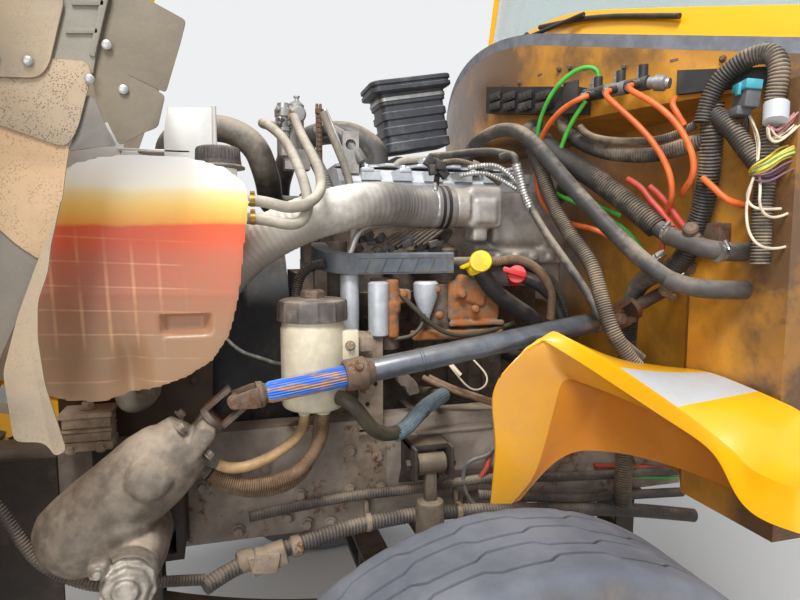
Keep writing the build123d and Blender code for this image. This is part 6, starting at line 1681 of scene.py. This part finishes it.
# name, finish, distance from the middle, thickness, corner radius, outline in x and z
HOOD_SHEETS = (
    ("front_sheet", "sheet_beige", -836, 4, 14, (
        (-1552, 904), (-1446, 912), (-1472, 816), (-1486, 797), (-1552, 794),
    )),
    ("speckled_sheet", "sheet_speckled", -831, 4, 16, (
        (-1556, 828), (-1469, 826), (-1426, 826), (-1418, 814), (-1421, 795), (-1427, 775), (-1440, 728),
        (-1456, 700), (-1556, 734),
    )),
    ("lower_sheet", "sheet_sand", -827, 4, 8, (
        (-1556, 740), (-1452, 706), (-1459, 672), (-1466, 628), (-1482, 580), (-1500, 536), (-1530, 560),
        (-1560, 592),
    )),
    ("curled_sheet", "sheet_beige", -833, 5, 12, (
        (-1466, 628), (-1484, 556), (-1489, 520), (-1505, 476), (-1508, 420), (-1502, 350), (-1478, 246),
        (-1494, 238), (-1506, 262), (-1548, 266), (-1556, 372), (-1532, 456), (-1504, 530), (-1499, 542),
    )),
    ("grey_sheet", "sheet_grey", -824, 3, 4, (
        (-1560, 598), (-1500, 540), (-1508, 500), (-1534, 452), (-1562, 390),
    )),
    ("corner_sheet", "sheet_grey", -825, 3, 8, (
        (-1428, 780), (-1416, 776), (-1404, 738), (-1388, 706), (-1406, 706), (-1456, 696), (-1442, 730),
    )),
    ("upper_sheet", "sheet_olive", -822, 3, 6, (
        (-1392, 925), (-1349, 930), (-1284, 899), (-1293, 866), (-1317, 790), (-1374, 815), (-1318, 786),
        (-1330, 738), (-1352, 728), (-1386, 708), (-1414, 772), (-1420, 810), (-1410, 846),
    )),
)
for name, finish, y, thickness, reach, outline in HOOD_SHEETS:
    slab(rounded(outline, reach), thickness, sideways(y), 0.8)
    piece("hood_" + name, finish, "grey_plastic", 34, body="hood")
channel = rounded(((-1446, 926), (-1387, 930), (-1409, 846), (-1417, 806), (-1424, 822), (-1469, 824)), 5)
slab(channel, 5, sideways(-829), 1.2)
for height in (0, 1):
    low = (-1440 - height * 10, 902 - height * 40)
    slab(rounded((
        (low[0], low[1]), (low[0] + 44, low[1] + 4), (low[0] + 43, low[1] + 12), (low[0] + 1, low[1] + 8),
    ), 4), 6, sideways(-833), 1.8)
slab(((-1399, 926), (-1387, 928), (-1412, 832), (-1420, 834)), 7, sideways(-833), 2)
piece("hood_ribbed_duct", "sheet_green_grey", "grey_plastic", 34, body="hood")
for x, y, z in (
    (-1498, -840, 818), (-1376, -825, 790), (-1540, -840, 818), (-1396, -828, 852), (-1420, -834, 800),
):
    spun((x, y, z), LEFT, ((0, 7), (1.2, 7), (2.2, 5), (2.6, 2)), 18)
piece("hood_sheet_fixings", "dull_steel", "grey_plastic", 34, body="hood")

# Frame side: looms with their plugs, dampers, bolts, the mount block and the small lines

FRAME_LOOMS = (
    (
        (-1296, -560, -160), (-1230, -520, -140), (-1090, -490, -130), (-982, -476, -112),
        (-793, -466, -104), (-690, -470, -110), (-598, -478, -116), (-292, -480, -150), (-150, -486, -170),
        (-6, -500, -196),
    ),
    (
        (-1200, -470, -60), (-1000, -462, -40), (-800, -462, -44), (-600, -470, -30), (-400, -462, -60),
        (-6, -462, -80),
    ),
)
for route, radius, pitch in zip(FRAME_LOOMS, (18.5, 12.5), (8, 6.4)):
    ribbed(route, radius, pitch, radius * 0.13, 14)
ribbed((
    (-640, -462, -76), (-500, -470, -96), (-380, -478, -112), (-230, -474, -122), (-20, -468, -140),
), 13, 6.4, 1.8, 14)
rubber_piece("frame_looms_ribbed", "pale_loom", "frame_looms")
ribbed((
    (-1700, -600, 150), (-1650, -600, 78), (-1619, -600, 9), (-1588, -600, -45), (-1536, -606, -80),
    (-1475, -610, -104), (-1400, -580, -120), (-1296, -548, -150),
), 12, 6.4, 1.8, 14)
rubber_piece("gear_side_loom", "pale_loom")
for low, high, turn in (((-1204, -1122), (-548, -508), -14), ((-1196, -1140), (-556, -520), 10)):
    brick(low, high, (-156, -108), 6, turned("Y", turn))
spun((-1228, -520, -138), (1, 0.2, 0.1), ((0, 22), (6, 25), (30, 25), (36, 21)), 20)
spun((-1110, -494, -132), (1, 0.1, 0.06), ((0, 21), (5, 24), (22, 24), (26, 20)), 20)
for x in (-930, -700):
    spun((x, -471, -108), REAR, ((0, 19), (0, 21.5), (12, 21.5), (12, 19)), 22)
    brick((x + 1, x + 11), (-458, -440), (-92, -60), 2)
piece("frame_loom_plugs", "dusty_bracket", "black_plastic", 34)

for x, z in (
    (-1081, -35), (-1112, -86), (-1066, -108), (-1224, -104), (-1080, 30), (-1160, 40), (-1230, 20),
    (-640, 52), (-560, 60), (-430, -40), (-360, 40), (-300, -60), (-220, 30), (-150, -70), (-1300, 10),
    (-1010, -112),
):
    bolt((x, -438.4, z), LEFT, 20, 11)
for x in (-470, -330, -190):
    bolt((x, 438.4, 20), RIGHT, 20, 11)
    bolt((x, 438.4, -70), RIGHT, 20, 11)
piece("rail_bolts", "rail_steel", "steel", 30)

# Dampers: a forked bracket, a rubber eye and a dusty dust-tube
for side_name, side in (("left", -1), ("right", 1)):
    for x in (-836, -748):
        brick((x, x + 8), (side * 564, side * 446), (12, 92), 3)
    plate = sideways(-446 if side < 0 else 439)
    slab(((-840, -30), (-820, 84), (-806, 98), (-770, 98), (-756, 84), (-736, -30)), 7, plate, 1.5)
    spun((-848, side * 530, 46), REAR, ((0, 13), (10, 13), (12, 9), (108, 9), (110, 13), (120, 13)), 6)
    brick((-836, -740), (side * 534, side * 444), (78, 92), 3)
    for x, z in ((-790, 74), (-814, 2), (-762, 2)):
        bolt((x, side * 454, z), (0, side, 0), 17, 9)
    piece(side_name + "_damper_bracket", "frame_paint", "steel", 34)
    spun((-825, side * 530, 46), REAR, ((0, 11), (1, 20), (4, 24), (70, 24), (73, 20), (74, 11)), 36)
    brick((-802, -774), (side * 542, side * 518), (-46, 26), 5)
    spun((-788, side * 530, -42), (0, 0, -1), (
        (0, 22), (4, 31), (10, 34), (106, 34), (110, 31), (112, 29), (338, 29), (344, 20),
    ), 40)
    spun((-788, side * 530, -384), (0, 0, -1), ((0, 20), (40.5, 20)), 24)
    piece(side_name + "_damper", "sandy_steel", "steel", 36, "shock_absorbers" if side < 0 else "")

brick((-818, -584), (-462, -439), (-14, 96), 10)
brick((-800, -600), (-470, -439), (92, 104), 4)
casting("engine_mount_cover", 3.4, 5, (26, 0.8), "rail_steel", 60)
hose((
    (-596, -462, 40), (-614, -480, 28), (-667, -482, 24), (-684, -474, -5), (-678, -470, -57),
    (-648, -468, -108), (-620, -466, -124),
), 5, 12)
rubber_piece("frame_hook_hose", "grey_hose")
hose(((-640, -470, -34), (-622, -476, -10), (-612, -470, 16), (-600, -456, 30)), 6.5, 12)
hose(((-290, -444, -44), (-200, -452, -54), (-120, -450, -66), (-24, -446, -80)), 7, 12)
line_piece("frame_red_lines", "red_line")
hose(((-284, -444, -74), (-180, -452, -84), (-100, -452, -96), (-20, -446, -106)), 4.5, 12)
line_piece("frame_green_line", "green_line")
hose((
    (-1290, -540, 446), (-1264, -560, 420), (-1246, -555, 372), (-1211, -540, 332), (-1166, -520, 313),
    (-1135, -505, 296), (-1118, -480, 290),
), 4, 12)
piece("braided_tank_line", "foil", "steel", 60)

# Stack of rubber and steel on the rail's front end, and the side cover of the cooling pack
for n, (grow, tall) in enumerate(((6, 18), (0, 20), (4, 8), (0, 22), (8, 14))):
    low = 138 + sum((18, 20, 8, 22, 14)[:n])
    brick((-1562 - grow / 2, -1470 + grow / 2), (-506 - grow, -438), (low, low + tall - 1.5), 4)
bolt((-1516, -480, 220), UP, 22, 12)
for x in (-1546, -1490):
    bolt((x, -512, 146), LEFT, 16, 9)
# Its finish is lightened as painted light against the tank's shadow.
piece("front_mount_stack", "pale_dust", "steel", 34)
slab((
    (-1590, 96), (-1278, 82), (-1268, 300), (-1280, 420), (-1400, 420), (-1590, 300),
), 4, sideways(-402), 1.2)
for x in (-1560, -1440, -1310):
    bolt((x, -406, 250), LEFT, 14, 7)
piece("cooling_pack_cover", "brown_sheet", "black_plastic", 34)

# Air inlet duct: a lip with a groove, a stepped box and its strap

DUCT_LIP = point(-665, 110, 1064)
DUCT_LEAN = turned("Y", -10)
DUCT_PROFILE = (
    # width, depth, corner radius and how far below the lip
    (196, 122, 20, 218), (212, 136, 22, 214), (212, 136, 22, 190), (202, 128, 20, 186), (202, 128, 20, 168),
    (214, 138, 22, 164), (214, 138, 22, 142), (204, 130, 20, 138), (204, 130, 20, 120), (216, 140, 22, 116),
    (216, 140, 22, 96), (206, 132, 20, 92), (206, 132, 20, 76), (218, 142, 22, 72), (218, 142, 22, 40),
    (256, 172, 28, 35), (264, 180, 30, 32), (264, 180, 30, 22), (254, 170, 26, 20), (254, 170, 26, 14),
    (264, 180, 30, 12), (264, 180, 30, 3), (260, 176, 29, 0), (212, 132, 20, 0), (204, 124, 18, 3),
    (200, 120, 16, 14), (200, 120, 16, 188),
)


def duct_ring(wide, deep, corner, down):
    ring = []
    for x, y, start in ((1, 1, 0), (-1, 1, 90), (-1, -1, 180), (1, -1, 270)):
        for step in range(6):
            across, along = around(corner, start + step * 18)
            spot = point(x * (wide / 2 - corner) + across, y * (deep / 2 - corner) + along, -down)
            ring.append(work.verts.new(DUCT_LIP + DUCT_LEAN @ spot))
    return ring


skin_rings([duct_ring(*level) for level in DUCT_PROFILE])
piece("air_duct_ribbed", "duct_plastic", "black_plastic", 30, "air_duct")
skin_rings([duct_ring(*level) for level in (
    (219, 143, 22, 62), (223, 147, 24, 61), (223, 147, 24, 51), (219, 143, 22, 50),
)])
piece("air_duct_strap", "dull_steel", "steel", 30)

# Lock plate, nut and clamp ear on the pitman shaft
slab((
    (-46, -20), (-30, -42), (0, -50), (34, -40), (48, -12), (44, 22), (24, 44), (-10, 48), (-38, 32),
), 9, sideways(-781, -1411, -15), 2.5)
spun((-1411, -782, -15), LEFT, ((-4, 40), (6, 40), (9, 37), (10, 34)), 8)
spun((-1411, -789, -15), LEFT, ((0, 22), (10, 22), (13, 19)), 28)
brick((-1470, -1436), (-786, -752), (4, 36), 8)
bolt((-1453, -788, 20), LEFT, 16, 9)
casting("pitman_lock_plate", 2.4, 3, (60, 0.6), "greasy_iron", 50, body="pitman_arm")

# Hood: a moulded shell with eased corners, drawn closed and then tipped about its hinge

HOOD_NOSE = -1840
HOOD_REAR = -100
CROWN_BOW = 1200
ARCH = 600
HOOD_SECTIONS = (
    # distance along, crown, shoulder across and height, waist across and height, flare across and height
    (-1840, 735, 610, 655, 735, 405, 1020, 315),
    (-1770, 790, 680, 700, 790, 430, 1065, 340),
    (-1560, 890, 823, 791, 888, 455, 1125, 372),
    (-1000, 1010, 905, 850, 935, 470, 1150, 380),
    (-450, 1164, 965, 924, 972, 430, 1150, 372),
    (-100, 1181, 975, 942, 982, 405, 1000, 360),
)
HINGE = point(-1790, 0, -70)
TIP = turned("Y", -70)


def tip():
    for vert in work.verts:
        vert.co = HINGE + TIP @ (vert.co - HINGE)


def hood_piece(name, finish, slot, angle):
    tip()
    piece(name, finish, slot, angle, body="hood")


def hood_values(x):
    """The sizes of the section at a distance along, eased between the drawn ones."""
    total = [0.0] * 7
    for shift in (-50, -25, 0, 25, 50):
        spot = min(max(x + shift, HOOD_NOSE), HOOD_REAR)
        for before, after in zip(HOOD_SECTIONS, HOOD_SECTIONS[1:]):
            if spot <= after[0]:
                share = (spot - before[0]) / (after[0] - before[0])
                total = [sum_so_far + (a + (b - a) * share) / 5 for sum_so_far, a, b in zip(
                    total, before[1:], after[1:],
                )]
                break
    return total


def hood_bottom(x):
    """The lower edge: level, round over the wheel and higher behind it."""
    if x > -575:
        return 200
    reach = ARCH**2 - (x - WHEEL_X) ** 2
    return max(-60, AXLE_Z + math.sqrt(reach)) if reach > 0 else -60


def hood_half(x, inset=0.0):
    """Half of the section as across and height pairs, from the middle to the lower edge."""
    crown, shoulder_y, shoulder_z, waist_y, waist_z, flare_y, flare_z = hood_values(x)
    line = [Vector((y, crown - CROWN_BOW + math.sqrt(CROWN_BOW**2 - y**2))) for y in (0, 60, 120, 180, 240)]
    corners = [Vector(pair) for pair in (
        (350, crown - 52.2), (shoulder_y, shoulder_z), (waist_y, waist_z), (flare_y, flare_z),
        (flare_y, hood_bottom(x)),
    )]
    before = line[-1]
    for corner, after, cut in zip(corners, corners[1:], (70, 60, 30, 44)):
        start = corner + (before - corner).normalized() * cut
        end = corner + (after - corner).normalized() * cut
        for step in range(7):
            share = step / 6
            line.append(start.lerp(corner, share).lerp(corner.lerp(end, share), share))
        before = corner
    for share in (0.25, 0.5, 0.75, 1.0):
        line.append(line[32].lerp(corners[-1], share))
    drawn = []
    for n, spot in enumerate(line):
        run = run_at(line, n)
        drawn.append(spot + Vector((run.y, -run.x)) * inset)
    drawn[0].x = 0
    return drawn


def hood_ring(distances, inset=0.0):
    half = [hood_half(x, inset)[n] for n, x in enumerate(distances)]
    right = [point(x, spot.x, spot.y) for x, spot in zip(distances, half)]
    left = [Vector((spot.x, -spot.y, spot.z)) for spot in right[1:]]
    return [work.verts.new(spot) for spot in list(reversed(left)) + right]


columns = len(hood_half(-1000))
rear = []
for n in range(columns):
    x = -200
    for turn in range(4):
        x = min(ahead_of_cowl(hood_half(x)[n].x) + 35, HOOD_REAR)
    rear.append(x)
rings = [
    hood_ring([HOOD_NOSE] * columns, 13), hood_ring([-1836] * columns, 5),
    hood_ring([-1827] * columns, 0.5),
]
for row in range(84):
    rings.append(hood_ring([-1815 + (end + 1815) * row / 83 for end in rear]))
for before, after in zip(rings, rings[1:]):
    for n in range(len(before) - 1):
        work.faces.new((before[n], before[n + 1], after[n + 1], after[n]))
nose = rings[0]
edges = [work.edges.get(pair) for pair in zip(nose, nose[1:])]
edges.append(work.edges.new((nose[-1], nose[0])))
lamp = [around(92.4, degrees) for degrees in range(0, 360, 8)]
openings = [[(-340, 60), (340, 60), (340, 590), (-340, 590)]]
for side in (-1, 1):
    openings.append([(side * 640 + y, 170 + z) for y, z in lamp])
    openings.append([(side * 800, 120), (side * 940, 120), (side * 940, 220), (side * 800, 220)])
for opening in openings:
    loop = [work.verts.new(point(HOOD_NOSE, y, z)) for y, z in opening]
    edges += [work.edges.new((loop[n - 1], loop[n])) for n in range(len(loop))]
bmesh.ops.triangle_fill(work, use_beauty=True, edges=edges, normal=(-1, 0, 0))
bmesh.ops.recalc_face_normals(work, faces=work.faces)
work.faces.ensure_lookup_table()
if work.faces[columns * 40].normal.dot(work.faces[columns * 40].calc_center_median() - point(-900, 0, 0)) < 0:
    bmesh.ops.reverse_faces(work, faces=work.faces)
tip()
hood = modified(worked_mesh("hood_moulding", False), {"SOLIDIFY": {"thickness": 0.005, "offset": -1}})
place_piece("hood_moulding", hood, "hood_yellow", 34, "hood_shell", body="hood")

lug = ((-1838, -58), (-1838, 55), (-1806, 20), (-1766, -56), (-1772, -92), (-1808, -92))
for y in (-350, 336):
    slab(lug, 14, sideways(y), 2)
for side in (-1, 1):
    low, high = sorted((side * 352, side * 334))
    brick((-1838, -1832), (low - 24, high + 24), (-50, 40), 2)
    for z in (-34, 24):
        bolt((-1832, side * 310, z), REAR, 14, 8)
hood_piece("hood_hinge_lugs", "frame_paint", "steel", 34)

# Rolled lip over each wheel, latches at the rear and the trims of the lamps
for side in (-1, 1):
    lip = []
    for x in range(-1296, -575, 24):
        flare = hood_values(x)[5]
        lip.append((x, side * (flare - 4), hood_bottom(x) + 3))
    hose(lip, 4.6, 12, 16)
hood_piece("fender_lips", "hood_yellow", "yellow_paint", 60)
for side in (-1, 1):
    brick((-372, -322), (side * 969, side * 978), (560, 640), 3)
    brick((-360, -334), (side * 978, side * 992), (570, 590), 3)
    brick((-360, -334), (side * 978, side * 992), (612, 632), 3)
    spun((-347, side * 986, 548), UP, ((0, 6), (2, 8), (96, 8), (98, 6)), 16)
hood_piece("hood_latches", "rubber", "black_rubber", 34)
for side in (-1, 1):
    spun((-1841, side * 640, 170), FRONT, ((-4, 84), (-4, 100), (2, 102), (5, 98), (4, 88), (1, 84)), 56)
    brick((-1845, -1841), (side * 794, side * 946), (114, 121), 1.5)
    brick((-1845, -1841), (side * 794, side * 946), (219, 226), 1.5)
    for y in (798, 942):
        brick((-1845, -1841), (side * (y - 4), side * (y + 4)), (118, 222), 1.5)
hood_piece("lamp_bezels", "bright_steel", "steel", 34)
for side in (-1, 1):
    spun((-1842, side * 640, 170), FRONT, ((-3, 84), (0, 82), (3, 60), (5, 30), (5.4, 6)), 48)
    for y in (-60, -30, 0, 30, 60):
        brick((-1847, -1842), (side * 640 + y - 1.5, side * 640 + y + 1.5), (112, 228), 1)
hood_piece("headlamp_lenses", "lamp_lens", "glass", 34)
for side in (-1, 1):
    low, high = sorted((side * 802, side * 938))
    brick((-1846, -1841), (low, high), (122, 218), 2)
    for z in range(130, 216, 12):
        brick((-1848, -1845), (low + 4, high - 4), (z, z + 5), 1)
hood_piece("turn_lamp_lenses", "amber_lens", "coloured_plastic", 34)

# Camera, lamps, world and floor

camera = put("camera", bpy.data.cameras.new("camera"))
camera.location = point(-1240, -1850, 570)
LOOK_YAW = math.radians(16)
LOOK_DOWN = math.radians(5.8)
look = Vector((
    math.sin(LOOK_YAW) * math.cos(LOOK_DOWN), math.cos(LOOK_YAW) * math.cos(LOOK_DOWN),
    -math.sin(LOOK_DOWN),
))
camera.rotation_euler = look.to_track_quat("-Z", "Y").to_euler()
camera.data.lens = 27.72
camera.data.sensor_width = 36
camera.data.clip_start = 0.02
bpy.context.scene.camera = camera
bpy.context.scene.view_settings.view_transform = "Standard"


def softbox(name, place, target, size, power):
    lamp = bpy.data.lights.new(name, "AREA")
    lamp.shape = "RECTANGLE"
    lamp.size, lamp.size_y = size
    lamp.energy = power
    holder = put(name, lamp)
    holder.location = place
    holder.rotation_euler = (Vector(target) - Vector(place)).to_track_quat("-Z", "Y").to_euler()


softbox("high_softbox", (-2.2, -3.2, 4.4), (-0.8, 0, 0.3), (1.7, 1.7), 290)
softbox("side_softbox", (-3.2, -4.2, 1.2), (-0.8, 0, 0.2), (2.0, 1.6), 60)

world = bpy.data.worlds.new("studio")
world.use_nodes = True
bpy.context.scene.world = world
tree = world.node_tree
rays = tree.nodes.new("ShaderNodeLightPath")
seen = rays.outputs["Is Camera Ray"]
for kind in ("Is Glossy Ray", "Is Transmission Ray"):
    either = tree.nodes.new("ShaderNodeMath")
    either.operation = "MAXIMUM"
    tree.links.new(seen, either.inputs[0])
    tree.links.new(rays.outputs[kind], either.inputs[1])
    seen = either.outputs[0]
tone = tree.nodes.new("ShaderNodeMix")
tone.data_type = "RGBA"
tree.links.new(seen, tone.inputs["Factor"])
tone.inputs[6].default_value = (0.44, 0.46, 0.49, 1)
tone.inputs[7].default_value = (0.86, 0.87, 0.88, 1)
tree.links.new(tone.outputs[2], tree.nodes["Background"].inputs["Color"])

floor_mesh = bpy.data.meshes.new("floor")
floor_mesh.from_pydata([
    (-14, -14, -0.9), (14, -14, -0.9), (14, 14, -0.9), (-14, 14, -0.9),
], [], [(0, 1, 2, 3)])
floor = put("floor", floor_mesh)
ground = Finish("pale_floor", base_color=shade(226, 224, 220), roughness=0.9)
floor_mesh.materials.append(ground.material)
